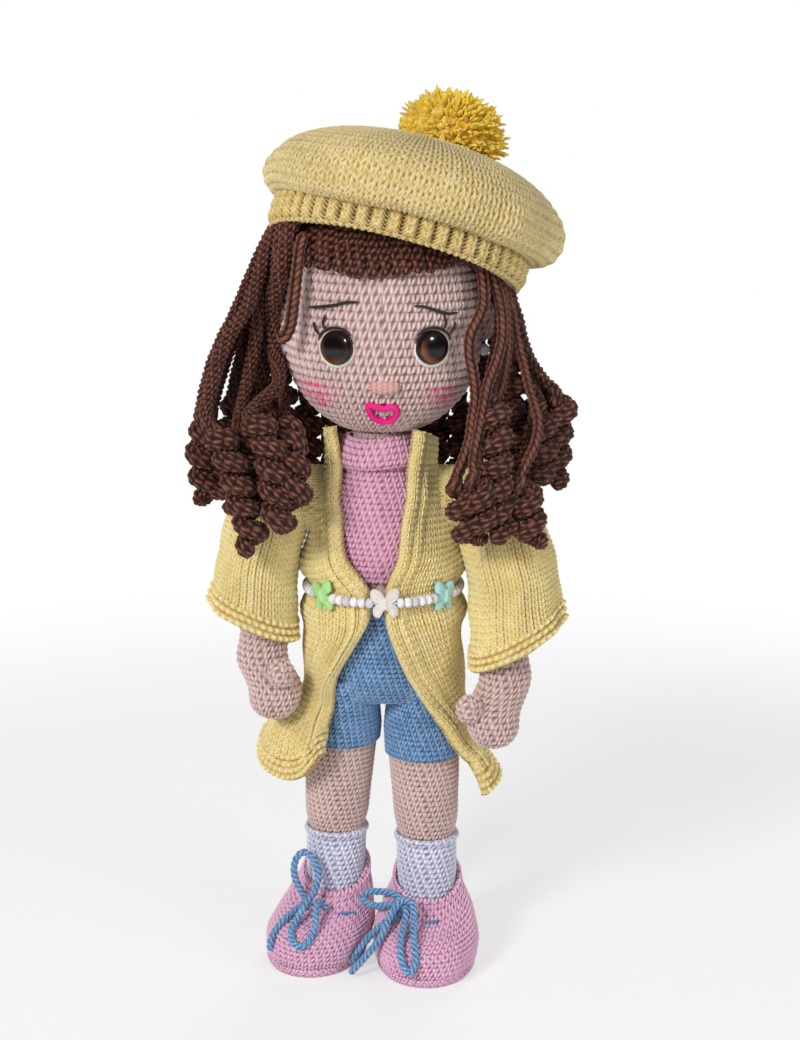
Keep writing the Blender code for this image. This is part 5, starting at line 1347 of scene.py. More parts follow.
STRANDS = (
    Strand("front_right", (
        (-35, -19, 310), (-37, -18, 305.8), (-39, -17, 298.9), (-40.1, -15, 290.2), (-41.4, -10, 279.4),
        (-43.1, -4, 266.7),
        (-42.8, -5, 253.8), (-40.9, -11, 247.7), (-41.3, -18, 242.1), (-46.8, -25, 237.8), (-51.5, -31, 233.4)), (
        (-49.2, -35, 230.4), (-44.6, -37, 225.3), (-42.4, -38, 216.9), (-41, -38, 204.9), (-39.8, -37, 188)),
        -1, node="hair_front_right"),
    Strand("outer_right", (
        (-35, -8, 310), (-38.5, -9, 306.5), (-41.5, -9, 301.2), (-45.4, -10, 292.4), (-49, -11, 282),
        (-52.9, -13, 272.1),
        (-59.2, -15, 262.5), (-63.8, -18, 252.8), (-66.4, -22, 242.8), (-68.5, -26, 234), (-67.1, -30, 227.7)), (
        (-63, -34, 223.7), (-59.5, -35, 219.2), (-56.6, -35, 209.8), (-54.2, -34, 200), (-51.7, -33, 189.8),
        (-50.7, -33, 179.3)), -1, half=4.2, node="hair_outer_right"),
    Strand("side_right", (
        (-38, 4, 308), (-42.2, 4, 302.4), (-47.9, 4, 292.1), (-53.1, 3, 280.4), (-58.4, 1, 268.7), (-63.9, -2, 257.9),
        (-67.8, -5, 248), (-70.5, -8, 238), (-72.5, -10, 228.7)), (
        (-72, -12, 221.1), (-71.6, -12, 212.2), (-70.6, -13, 203.4), (-68.9, -14, 195.5)), -1, half=4.0,
        node="hair_side_right"),
    Strand("inner_left", (
        (46, 13, 287), (50.2, 12, 279.3), (51.9, 12, 268.1), (52.8, 10, 256.2), (52.6, 6, 247.9)), (
        (52.9, 3, 242.7), (52, 0, 237.5), (50.4, -2, 231.8), (50.1, -2, 225.7)), node="hair_inner_left"),
    Strand("side_left", (
        (45, 4, 290), (48.8, 2, 282.9), (50.8, 1, 274.3), (53.3, 0, 266.4), (56.5, -2, 253.9), (62.1, -4, 244.2),
        (67.3, -5, 239.1)), (
        (70.4, -6, 234.5), (70.4, -6, 227.2), (69.1, -6, 219.1), (69, -6, 210.1), (67.8, -7, 200.5)),
        node="hair_side_left"),
    Strand("outer_left", (
        (43, -6, 292), (47.2, -6, 285.3), (49.2, -7, 277.2), (51.2, -9, 268.4), (52.7, -11, 259.6), (55, -14, 250.6),
        (56.9, -17, 242.7), (58.8, -20, 236.1), (60.6, -24, 229.7), (59.7, -28, 222.2), (56.5, -31, 215.6),
        (53.7, -33, 209.7)), ((54.5, -34, 204.8), (56.7, -33, 199), (57.5, -33, 191.8), (58.6, -33, 181.4)),
        chain=True, node="hair_outer_left"),
    Strand("mid_left", (
        (40, -14, 294), (44, -14, 287.8), (45.7, -14, 279.2), (46.2, -14, 269.1), (45.2, -14, 257.7),
        (42.7, -18, 247.7),
        (42.6, -24, 239.6)), (
        (43.5, -30, 234), (43.8, -34, 227.7), (44.2, -36, 219.4), (43.8, -37, 209.4), (43.9, -37, 199.9),
        (42.5, -37, 185.6)), node="hair_mid_left"),
    Strand("front_left", (
        (34, -24, 296), (37, -24, 291.1), (38.6, -25, 284.8), (39.1, -25, 275.5), (37.1, -27, 269.6), (34, -30, 263.5),
        (33.6, -31, 256.3), (34.8, -31, 250.1), (36, -32, 240.6), (34.9, -34, 231.6), (33.7, -37, 223.9),
        (31.4, -39, 217.3), (28.7, -40, 210.8)), ((28.5, -41, 207.1), (30.7, -40, 199.8), (32.3, -39, 190.8),
        (35.1, -38, 183)),
        chain=True, node="hair_front_left"),
    Strand("rear_right", (
        (-34.2, 26.7, 289.6), (-37.2, 29, 271.8), (-40.6, 30.8, 253.9), (-44.6, 31.7, 236.1)), (
        (-46.3, 32.4, 227.2), (-46.3, 32.4, 214), (-46.3, 32.4, 200.4)), -1, node="hair_rear_right"),
    Strand("back_right", (
        (-17.9, 40.1, 282), (-18.4, 41.4, 265.7), (-18.3, 42.5, 249.4), (-17.8, 43.8, 233.1)), (
        (-17.8, 44.1, 225), (-17.8, 44.1, 212), (-17.8, 44.1, 200.4)), -1, node="hair_back_right"),
    Strand("back_left", (
        (18.2, 40.8, 272.3), (18.5, 41.6, 257.5), (18.5, 42.5, 242.7), (17.9, 43.7, 227.9)), (
        (17.8, 44.1, 220.5), (17.8, 44.1, 208), (17.8, 44.1, 194.9)), node="hair_back_left"),
    Strand("rear_left", (
        (35.9, 28.1, 270.5), (38.4, 30, 256.2), (41.5, 31.2, 241.9), (45.3, 31.1, 227.6)), (
        (46.9, 31.6, 220.5), (46.9, 31.6, 208), (46.9, 31.6, 194.9)), node="hair_rear_left"),
    Strand("before_ear", (
        (-29.5, -28, 303), (-31.2, -28.4, 297.6), (-32, -29.4, 291.7), (-32.8, -30.4, 284.9), (-34, -30.6, 275.8),
        (-35.3, -30.6, 267.4), (-37.6, -30.4, 263.1), (-40, -29, 263.4)), chain=True),
    Strand("beside_ear", (
        (-33, -22.6, 309), (-34.8, -22.6, 303.9), (-36.4, -21.6, 298.5), (-38.6, -19.6, 290.6), (-40.6, -14.6, 282.3),
        (-43.4, -8, 274.6), (-47, 3, 263.1), (-48.6, 5, 248), (-48, 4, 233)), (
        (-48.4, -4, 226.7), (-47.2, -12, 220), (-47.2, -16, 208.4), (-47.4, -17, 195)), -1),
    Strand("second_right", (
        (-36, -4, 310), (-41.3, -4, 303.1), (-45.2, -4, 292.9), (-48.2, -4, 278), (-49.4, -5, 265.5), (-51, -7, 255.1),
        (-53.1, -11, 244.5), (-55.3, -16, 234.6), (-56.5, -22, 227.8)), (
        (-55.6, -25, 222), (-53.4, -26, 213.4), (-49.2, -27, 206.4), (-47.2, -28, 196.7)), -1),
    Strand("third_right", (
        (-43, 8, 298), (-44.6, 8, 286), (-45, 6, 270), (-44.6, 4, 252), (-41.5, 2, 243), (-39.5, -4, 235),
        (-38.3, -14, 228.9)), (
        (-36.7, -24, 223.2), (-35, -33, 216.7), (-33.3, -37, 208.6), (-33.8, -38, 197.7)), -1, half=2.9),
    Strand("fourth_right", (
        (-41, 12, 304), (-45.9, 12, 296.1), (-52.6, 12, 280.1), (-57.5, 10, 264.3), (-62.5, 8, 251.6),
        (-66.4, 4, 239.3),
        (-68.7, 0, 229.4)), (
        (-68.7, -2, 220.8), (-66.9, -6, 211.8), (-63.5, -10, 202.8), (-60.8, -16, 192.7)), -1),
    Strand("fifth_right", (
        (-42, 18, 298), (-47.5, 19, 284), (-52.5, 19, 268), (-57.5, 17, 250), (-61, 13, 234)), (
        (-61.6, 9, 226), (-60.4, 4, 216), (-58.5, 0, 204), (-57, -6, 190)), -1),
    Strand("sixth_right", (
        (-39, 22, 294), (-43, 25, 278), (-46, 26, 260), (-49.6, 25, 243), (-53, 21, 230)), (
        (-53.6, 17, 221), (-53, 13, 209), (-51, 8, 197), (-49, 2, 186)), -1),
    Strand("second_left", (
        (38, -20, 294), (41.4, -20, 288.4), (43, -20, 283.8), (45, -20, 277.2), (46.3, -20, 269.9), (46.3, -21, 261.1),
        (43.9, -25, 252.3), (40.7, -30, 244.9), (39.1, -33, 237.6), (37.1, -37, 227.4), (35.2, -40, 218.7),
        (35, -41, 214)), ((36.2, -42, 208), (38, -41, 200), (38.6, -40, 190)), chain=True),
    Strand("third_left", (
        (41, -10, 292), (45.4, -10, 286.6), (47.4, -10, 281.1), (48.6, -11, 273.8), (49.1, -13, 263.1),
        (48.6, -16, 254),
        (46.6, -20, 243.2), (44.1, -24, 236.8), (40.9, -29, 231), (38, -34, 222.2), (37, -37, 215)), (
        (44, -33, 206.9), (47, -32, 199), (47.8, -32, 188)), chain=True),
    Strand("fourth_left", (
        (46, 8, 284), (50.4, 8, 272.6), (53.3, 6, 260.8), (56.4, 2, 248.5), (59.4, -4, 239.8), (62.4, -8, 233.2)), (
        (62.6, -12, 228.3), (63.4, -14, 221.4), (62.6, -16, 213.8), (61.4, -18, 204.1))),
    Strand("fifth_left", (
        (47, 14, 280), (52.4, 15, 266), (56, 13, 254), (60.6, 8, 243)), (
        (63, 4, 236), (63.6, 2, 226), (62, 0, 214), (60.4, -2, 200))),
    Strand("sixth_left", (
        (44, 20, 278), (47.5, 21, 262), (50.5, 19, 246), (53, 14, 233)), (
        (53.6, 10, 225), (53, 5, 214), (52.4, 0, 203), (51.6, -5, 190))),
    Strand("back_one", ((-27, 35, 286), (-28, 36.6, 268), (-29.4, 37.6, 250), (-31.2, 38.6, 234)), (
        (-31.6, 39, 222), (-31.6, 39, 208), (-31.6, 39, 192)), -1),
    Strand("back_two", ((-9, 42.6, 280), (-9.4, 43.2, 262), (-9.2, 43.8, 244), (-8.8, 44.6, 232)), (
        (-8, 46, 221), (-8, 46, 206), (-8, 46, 190)), -1),
    Strand("back_three", ((0.5, 43.2, 278), (0.5, 43.8, 260), (0.4, 44.2, 244), (1.4, 44.8, 230)), (
        (3.4, 46, 219), (3.4, 46, 204), (3.4, 46, 187)),),
    Strand("back_four", ((9.4, 42.4, 274), (9.6, 43, 258), (9.4, 43.6, 242), (9, 44.4, 229)), (
        (10, 41, 218), (10, 40, 202), (10, 40, 184)),),
    Strand("back_five", ((27.6, 35.4, 270), (28.8, 36.8, 256), (29.8, 37.6, 242), (31.4, 38.4, 230)), (
        (32, 39, 220), (32, 39, 206), (32, 39, 189)),),
    Strand("rear_one", ((-40, 21, 290), (-42, 23, 272), (-45, 25, 254), (-50, 26, 238)), (
        (-53.6, 25, 226), (-54, 24, 213), (-54, 23, 197)), -1),
    Strand("rear_two", ((42, 22, 272), (44.6, 24, 258), (48, 25, 244), (52, 24, 232)), (
        (54.6, 22, 222), (55, 21, 209), (55, 20, 193)),),
    Strand("back_six", ((-18, 39.4, 282), (-18.8, 40.4, 264), (-19.4, 41.2, 246), (-20, 42, 233)), (
        (-20, 42.6, 223), (-20, 42.6, 210), (-20, 42.6, 196)), -1),
    Strand("back_seven", ((18, 39.4, 272), (18.8, 40.4, 258), (19.4, 41.2, 243), (20, 42, 231)), (
        (21, 42.6, 221), (21, 42.6, 208), (21, 42.6, 194)),),
    Strand("rear_three", ((-34.4, 29, 288), (-36, 30.6, 270), (-38, 32, 253), (-40.6, 33, 239)), (
        (-42.6, 33, 228), (-43, 33, 215), (-43, 33, 201)), -1),
    Strand("rear_four", ((35, 29, 271), (36.6, 30.6, 258), (38.6, 32, 244), (41, 33, 232)), (
        (43, 33, 222), (43.4, 33, 209), (43.4, 33, 196)),),
)


@dataclass
class Hair:
    """The wig: a crocheted cap, a short fringe and long strands that end in ringlets."""

    head_width: float = 39.0
    pitch: float = 9.3
    turn_points: int = 10
    step: float = 0.52
    sides: int = 36
    coil: float = 3.1
    band_flat: float = 0.60
    ringlet_flat: float = 0.9
    chain_half: float = 2.45
    chain_flat: float = 0.62
    stitch: tuple[float, float] = (2.6, 2.35)
    chain_stitch: float = 2.7
    depth: float = 1.3
    stitches: int = 5
    cap_thick: float = 4.0
    cap_gauge: Gauge = Gauge(Pattern.SINGLE, 3.4, 3.1, 1.6, 6)
    fringe_from: float = -52.0
    fringe_to: float = 55.0
    fringe_cords: int = 17
    fringe_top: float = 307.0
    fringe_knots: int = 7
    fringe_lift: float = 3.0
    fringe_radius: float = 2.3
    fringe_sides: int = 24
    fringe_stitch: tuple[float, float] = (3.0, 2.6)
    fringe_depth: float = 1.1
    cap_edge: tuple[float, float] = (275.41, 0.684)
    cap_top: float = 318.0
    cap_head_top: float = 316.0
    fringe_low: tuple = ((-52.0, 290.4), (-30.0, 288.6), (-8.0, 286.4), (8.0, 286.6), (24.0, 288.2), (38.0, 289.6),
        (55.0, 290.4))

    def build(self) -> None:
        """Makes the cap, the fringe and every strand."""
        self.cap()
        self.fringe()
        for strand in STRANDS:
            self.strand(strand)

    def path(self, strand: Strand) -> tuple[Array, Array]:
        """The middle line of a strand, and how much of a ringlet it is at each point."""
        fall = np.array(strand.fall, float)
        knots = np.column_stack([fall, np.zeros(len(fall))])
        if not strand.core:
            path = smooth_path(knots, self.step)
            return path[:, :3], path[:, 3]
        core = smooth_path(np.vstack([fall[-1:], strand.core]), self.pitch / self.turn_points)
        along = unit(np.gradient(core, axis=0))
        side = unit(np.cross(along, (0.0, 1.0, 0.0)))
        front = np.cross(side, along)
        number = np.arange(len(core))
        turn = strand.hand * TURN * number / self.turn_points
        grown = np.minimum(number / self.turn_points, 1.0)
        coil = self.coil * grown
        rings_of = core + coil[:, None] * (side * np.cos(turn)[:, None] - front * np.sin(turn)[:, None])
        knots = np.vstack([knots, np.column_stack([rings_of, grown])[2:]])
        path = smooth_path(knots, self.step)
        return path[:, :3], np.clip(path[:, 3], 0.0, 1.0)

    def strand(self, strand: Strand) -> None:
        """Makes one strand."""
        path, grown = self.path(strand)
        ends = rounded_ends(len(path), self.step, strand.half)
        half = self.chain_half if strand.chain else strand.half
        flat = self.chain_flat if strand.chain else self.band_flat
        radii = (half + (strand.plump - half) * grown) * ends
        radii *= 1.0 + 0.04 * np.sin(np.arange(len(path)) * self.step / 7.0 + len(strand.name))
        flats = flat + (self.ringlet_flat - flat) * grown
        points = tube(path, radii, self.sides, flats, (path[0, 0], path[0, 1], 0.0))
        turn = np.arange(self.sides)[None, :] / self.sides
        length = np.arange(len(path))[:, None] * self.step
        along = length / self.stitch[1] + turn
        across = self.stitches * turn + SHAPE.stagger * np.floor(along)
        relief = single_relief(across, along)
        if strand.chain:
            chained = stocking_relief(2.0 * turn + 0.5, length / self.chain_stitch)
            relief = relief * grown[:, None] + chained * (1.0 - grown[:, None])
        depth = self.depth * np.minimum(radii / half, 1.0)[:, None]
        shell = Shell()
        shell.surface(raised(points, True, relief, depth, ply_twist(across, along)), caps="first last")
        shell.piece(f"strand_{strand.name}", "head_part", Looks.hair, [strand.node] if strand.node else [])

    def edge(self, y: Array) -> Array:
        """The height of the cap's lower edge."""
        return self.cap_edge[0] - self.cap_edge[1] * y

    def cap(self) -> None:
        """The cap under the strands."""
        columns = self.cap_gauge.columns(TURN * (self.head_width + self.cap_thick))
        angles = whole_turn(columns)
        low = np.full(columns, 275.0)
        for _ in range(6):
            low = self.edge(-(head_half(low) + self.cap_thick) * HEAD_DEPTH * np.cos(angles))
        high = self.cap_top
        count = round((high - float(low.mean())) * 1.4 / self.cap_gauge.step)
        share = np.sin(0.5 * math.pi * np.linspace(0.0, 1.0, count))[:, None]
        height = low[None, :] + (high - low[None, :]) * share
        half = head_half(np.minimum(height, self.cap_head_top)) + self.cap_thick * np.sqrt(np.clip(1.0 - share**8, 0.0, 1.0))
        half[-1] = 2.0
        points = np.stack([half * np.sin(angles), -half * HEAD_DEPTH * np.cos(angles), height], axis=2)
        under = head_half(low) + 0.6
        inner = np.stack([under * np.sin(angles), -under * HEAD_DEPTH * np.cos(angles), low + 0.8], axis=1)
        points = np.concatenate([inner[None], points])
        shell = Shell()
        shell.surface(in_the_round(points, self.cap_gauge), caps="last")
        shell.piece("crocheted_cap", "head_part", Looks.hair, ["wig_cap"])

    def fringe(self) -> None:
        """Short upright cords side by side over the forehead."""
        shell = Shell()
        chance = np.random.default_rng(11)
        for degrees in np.linspace(self.fringe_from, self.fringe_to, self.fringe_cords):
            turn = math.radians(degrees + chance.uniform(-0.7, 0.7))
            low = float(table(self.fringe_low, np.array(degrees))) + chance.uniform(-0.8, 0.8)
            heights = np.linspace(self.fringe_top, low, self.fringe_knots)
            lift = self.fringe_lift + chance.uniform(-0.5, 0.9)
            half = head_half(heights) + lift
            sway = np.radians(chance.uniform(-1.5, 1.5)) * np.linspace(0.0, 1.0, self.fringe_knots)
            knots = np.column_stack([half * np.sin(turn + sway), -half * HEAD_DEPTH * np.cos(turn + sway), heights])
            path = smooth_path(knots, self.step)
            radius = self.fringe_radius + chance.uniform(-0.15, 0.15)
            points = tube(path, radius * rounded_ends(len(path), self.step, radius), self.fringe_sides)
            turns = np.arange(self.fringe_sides)[None, :] / self.fringe_sides
            length = np.arange(len(path))[:, None] * self.step
            along = length / self.fringe_stitch[1] + turns + chance.uniform(0.0, 1.0)
            across = self.fringe_stitch[0] * turns + SHAPE.stagger * np.floor(along)
            relief = single_relief(across, along)
            shell.surface(raised(points, True, relief, self.fringe_depth, ply_twist(across, along)), caps="first last")
        shell.piece("short_fringe", "head_part", Looks.hair, ["fringe"])


# Beret
@dataclass
class Beret:
    """The beret: a slouched crown on a ribbed band, with a pompom."""

    middle: tuple[float, float, float] = (13.0, 4.5, 313.59)
    across: tuple[float, float, float] = (0.96661, -0.00135, -0.25625)
    back: tuple[float, float, float] = (-0.05453, 0.976, -0.21085)
    axis: tuple[float, float, float] = (0.25038, 0.21779, 0.94333)
    crown_half: tuple[float, float] = (58.0, 56.05)
    front_roll: float = 3.6
    side_droop: float = 2.6
    crown_rows: tuple = (
        (-13.1, 0.80), (-12.98, 0.865), (-9.9, 0.95), (-3.52, 1.0), (3.3, 0.985), (10.12, 0.87), (16.06, 0.66),
        (20.02, 0.38), (22.0, 0.12), (22.1, 0.02),
    )
    band_half: tuple[float, float] = (46.0, 44.05)
    band_thick: float = 5.4
    band_top: float = -12.4
    band_drop: float = 13.6
    band_rise: float = 2.8
    band_shift: float = -2.0
    crown_gauge: Gauge = Gauge(Pattern.STOCKING, 4.3, 3.9, 1.9, 8)
    band_gauge: Gauge = Gauge(Pattern.RIBBING, 6.3, 4.0, 3.2, 7)

    def place(self, side: Array, back: Array, level: Array) -> Array:
        """Points from the hat's own side, back and axis distances."""
        frame_axes = np.array((self.across, self.back, self.axis))
        return np.array(self.middle) + np.stack([side, back, level], axis=-1) @ frame_axes

    def build(self) -> None:
        """Makes the crown, the band and the pompom."""
        self.crown()
        self.band()
        Pompom(self).build()

    def crown(self) -> None:
        """The slouched crown."""
        rows = smooth_path([(level, share * self.crown_half[0]) for level, share in self.crown_rows],
                           self.crown_gauge.step, (0, 1))
        columns = self.crown_gauge.columns(TURN * self.crown_half[0])
        angles = whole_turn(columns)
        level, half = rows[:, :1], rows[:, 1:]
        deep = half * self.crown_half[1] / self.crown_half[0]
        side, back = half * np.cos(angles), deep * np.sin(angles)
        low = eased(-level, -4.0, 8.0) * eased(half, self.crown_half[0] * 0.82, self.crown_half[0] * 0.97)
        sag = self.front_roll * np.exp(-((np.sin(angles) + 1.0) / 0.55) ** 2) * (1.0 + 0.35 * np.sin(2 * angles + 0.6))
        sag = sag + self.side_droop * np.maximum(np.cos(angles), 0.0) ** 2
        level = level - low * sag
        side, back = side * (1.0 + 0.03 * low), back * (1.0 + 0.03 * low)
        points = self.place(side, back, level)
        rim = np.exp(-((level + 3.0) / 9.0) ** 2)
        points = points + facing(points, True) * (drape(points, 26.0, 3) * 1.1 * rim)[..., None]
        count = round(TURN * self.crown_half[0] / self.crown_gauge.width)
        steps = np.linalg.norm(np.diff(rows, axis=0), axis=1)
        along = running(steps)[:, None] / self.crown_gauge.height
        across = np.where(half < self.crown_half[0] * 0.55, count // 2, count) * np.arange(columns) / columns
        relief = stocking_relief(across, along)
        shell = Shell()
        shell.surface(raised(points, True, relief, self.crown_gauge.depth, ply_twist(across, along)), caps="first last")
        piece = shell.piece("beret_crown", "beret", Looks.beret, ["hat_crown"])

    def band(self) -> None:
        """The ribbed band."""
        top, low = self.band_top, self.band_top - self.band_drop
        thick = self.band_thick
        outline = [(0.0, low + 2.6), (0.2, low + 0.6), (1.6, low), (thick - 1.0, low + 0.2), (thick, low + 1.8),
                   (thick + 0.2, low + 5.0), (thick, top - 3.0), (thick - 0.8, top)]
        rows = smooth_path(outline, self.band_gauge.step, (0, 1))
        columns = 2 * round(TURN * self.band_half[0] / self.band_gauge.width * self.band_gauge.samples)
        angles = whole_turn(columns)
        side = (self.band_half[0] + rows[:, :1]) * np.cos(angles) + self.band_shift
        back = (self.band_half[1] + rows[:, :1]) * np.sin(angles)
        rise = self.band_rise * np.maximum(-np.sin(angles), 0.0) * (top - rows[:, 1:]) / self.band_drop
        points = self.place(side, back, rows[:, 1:] + rise)
        count = round(TURN * (self.band_half[0] + thick) / self.band_gauge.width)
        across = np.broadcast_to(count * np.arange(columns) / columns, side.shape)
        steps = np.linalg.norm(np.diff(rows, axis=0), axis=1)
        along = running(steps)[:, None] / self.band_gauge.height
        relief = ribbing_relief(across, along)
        edge = 1.0 - eased(rows[:, 1:] - low, 0.6, 2.6)
        relief = relief * (1 - edge) + edge * garter_relief(2 * across, along)
        depth = self.band_gauge.depth * (1 - 0.6 * edge)
        shell = Shell()
        shell.surface(raised(points, True, relief, depth, ply_twist(across, along)))
        shell.piece("beret_band", "beret", Looks.band, ["hat_band"])


@dataclass
class Pompom:
    """The pompom: cut yarn ends round a small core."""

    hat: Beret
    side: float = 7.955
    lift: float = 26.64
    radius: float = 20.5
    high: float = 17.6
    tufts: int = 1500
    tuft_radius: float = 0.62
    loops: int = 230
    loop_radius: float = 1.35
    loop_way: tuple[float, float, float] = (-0.7, -0.55, -0.25)
    seed: int = 21

    def build(self) -> None:
        """Makes the core and the yarn ends."""
        shell = Shell()
        self.core(shell)
        chance = np.random.default_rng(self.seed)
        golden = math.pi * (3.0 - math.sqrt(5.0))
        for number in range(self.tufts):
            up = 1.0 - 1.62 * (number + 0.5) / self.tufts
            ring = math.sqrt(max(1.0 - up * up, 0.0))
            turn = golden * number
            way = np.array((ring * math.cos(turn), ring * math.sin(turn), up)) + chance.normal(scale=0.10, size=3)
            self.tuft(shell, unit(way), self.tuft_radius, chance)
        for _ in range(self.loops):
            way = unit(np.array(self.loop_way) + chance.normal(scale=0.42, size=3))
            self.tuft(shell, way, self.loop_radius, chance)
        shell.piece("yarn_pompom", "beret", Looks.pompom, ["pompom"])

    def spot(self, local: Array) -> Array:
        """A point of the doll from one in the pompom's own frame."""
        return self.hat.place(local[..., 0] + self.side, local[..., 1], local[..., 2] + self.lift)

    def core(self, shell: Shell) -> None:
        """The dense middle that shows between the ends."""
        turn = np.linspace(-0.49 * math.pi, 0.49 * math.pi, 20)
        angles = whole_turn(36)
        share = 0.8
        side = share * self.radius * np.cos(turn)[:, None] * np.cos(angles)
        back = share * self.radius * np.cos(turn)[:, None] * np.sin(angles)
        high = np.broadcast_to((share * self.high * np.sin(turn))[:, None], side.shape)
        points = self.spot(np.stack([side, back, high], axis=2))
        # The core is coloured darker than the ends: painted shade between them.
        shell.surface(Worked(points, np.full(side.shape, 0.35), np.zeros(side.shape)), caps="first last")

    def tuft(self, shell: Shell, way: Array, radius: float, chance: np.random.Generator) -> None:
        """One cut end of plied yarn, a little bent."""
        size = np.array((self.radius, self.radius, self.high))
        reach = chance.uniform(0.88, 1.05)
        bend = chance.normal(scale=0.16, size=3)
        shares = np.array((0.55, 0.68, 0.8, 0.9, 0.97, 1.0))[:, None]
        local = way * size * shares * reach + bend * size * 0.5 * (shares - 0.55) ** 2 * 4.0
        path = self.spot(local)
        swell = chance.uniform(0.8, 1.2) * radius
        radii = swell * np.array((0.7, 0.8, 0.95, 1.08, 0.85, 0.15))
        points = tube(path, radii, 8)
        turn = np.arange(8) / 8 + np.linspace(0.0, 0.8, 6)[:, None]
        relief = 0.5 + 0.5 * np.cos(3 * TURN * turn)
        worked = raised(points, True, relief, 0.4 * radius, TURN * turn)
        # Each end is coloured from dark at the core to pale at its tip: painted shade deep among the ends, on top of
        # the twist's relief.
        worked.pit = worked.pit * 0.35 + np.array((0.0, 0.2, 0.4, 0.6, 0.75, 0.9))[:, None] * chance.uniform(0.4, 1.0)
        shell.surface(worked, caps="last")


# Body
TORSO_ROWS = (
    (112.0, 25.57, 16.0), (116.98, 27.5, 18.6), (131.93, 27.5, 20.0), (145.21, 24.75, 19.2), (158.49, 22.69, 18.0),
    (172.89, 22.69, 18.0), (186.17, 23.38, 17.6), (196.13, 21.73, 16.0), (203.88, 16.5, 13.6), (210.52, 12.38, 12.2),
    (222.7, 12.1, 12.0),
)
LEG_ROWS = (
    (7.5, 5.54), (9.79, 8.38), (14.27, 9.66), (25.2, 9.94), (39.77, 10.29), (51.22, 10.86), (56.95, 12.43),
    (69.96, 13.42), (84.01, 14.2), (98.07, 13.92), (111.6, 13.06),
)
LEG_MIDDLES = {
    Side.RIGHT: ((0.0, -20.2, 2.0), (39.8, -20.2, 2.0), (51.2, -19.91, 1.9), (57.0, -19.74, 1.84), (70.0, -19.05, 1.6),
                 (84.0, -18.18, 1.3), (98.0, -16.45, 0.7), (111.6, -14.44, 0.0)),
    Side.LEFT: ((0.0, 18.0, -7.0), (39.8, 18.0, -7.0), (51.2, 17.82, -6.65), (57.0, 17.71, -6.44), (70.0, 17.29, -5.6),
                (84.0, 16.75, -4.55), (98.0, 15.68, -2.45), (111.6, 14.44, 0.0)),
}


def torso_rows(low: float, high: float, offset: float, step: float) -> Array:
    """Rings round the torso between two heights, that far off it."""
    height = np.linspace(low, high, max(3, round((high - low) / step)))
    halves = table(TORSO_ROWS, height) + offset
    return np.column_stack([0 * height, 0 * height, height, halves])


def leg_rows(side: Side, low: float, high: float, offset: float, step: float) -> Array:
    """Rings round a leg between two heights, that far off it."""
    height = np.linspace(low, high, max(3, round((high - low) / step)))
    half = table(LEG_ROWS, height) + offset
    return np.column_stack([table(LEG_MIDDLES[side], height), height, half, half])


def turned_in(rows: Array, depth: float, width: float) -> Array:
    """Rings with a rounded lower edge that turns inside by a width and up by a depth."""
    first = rows[0]
    extra = []
    for share in (1.0, 0.6, 0.25):
        row = first.copy()
        row[2] += depth * (share - 0.25) * (1.0 if share > 0.3 else -0.5)
        row[3:] -= width * share
        extra.append(row)
    return np.vstack([extra, rows])


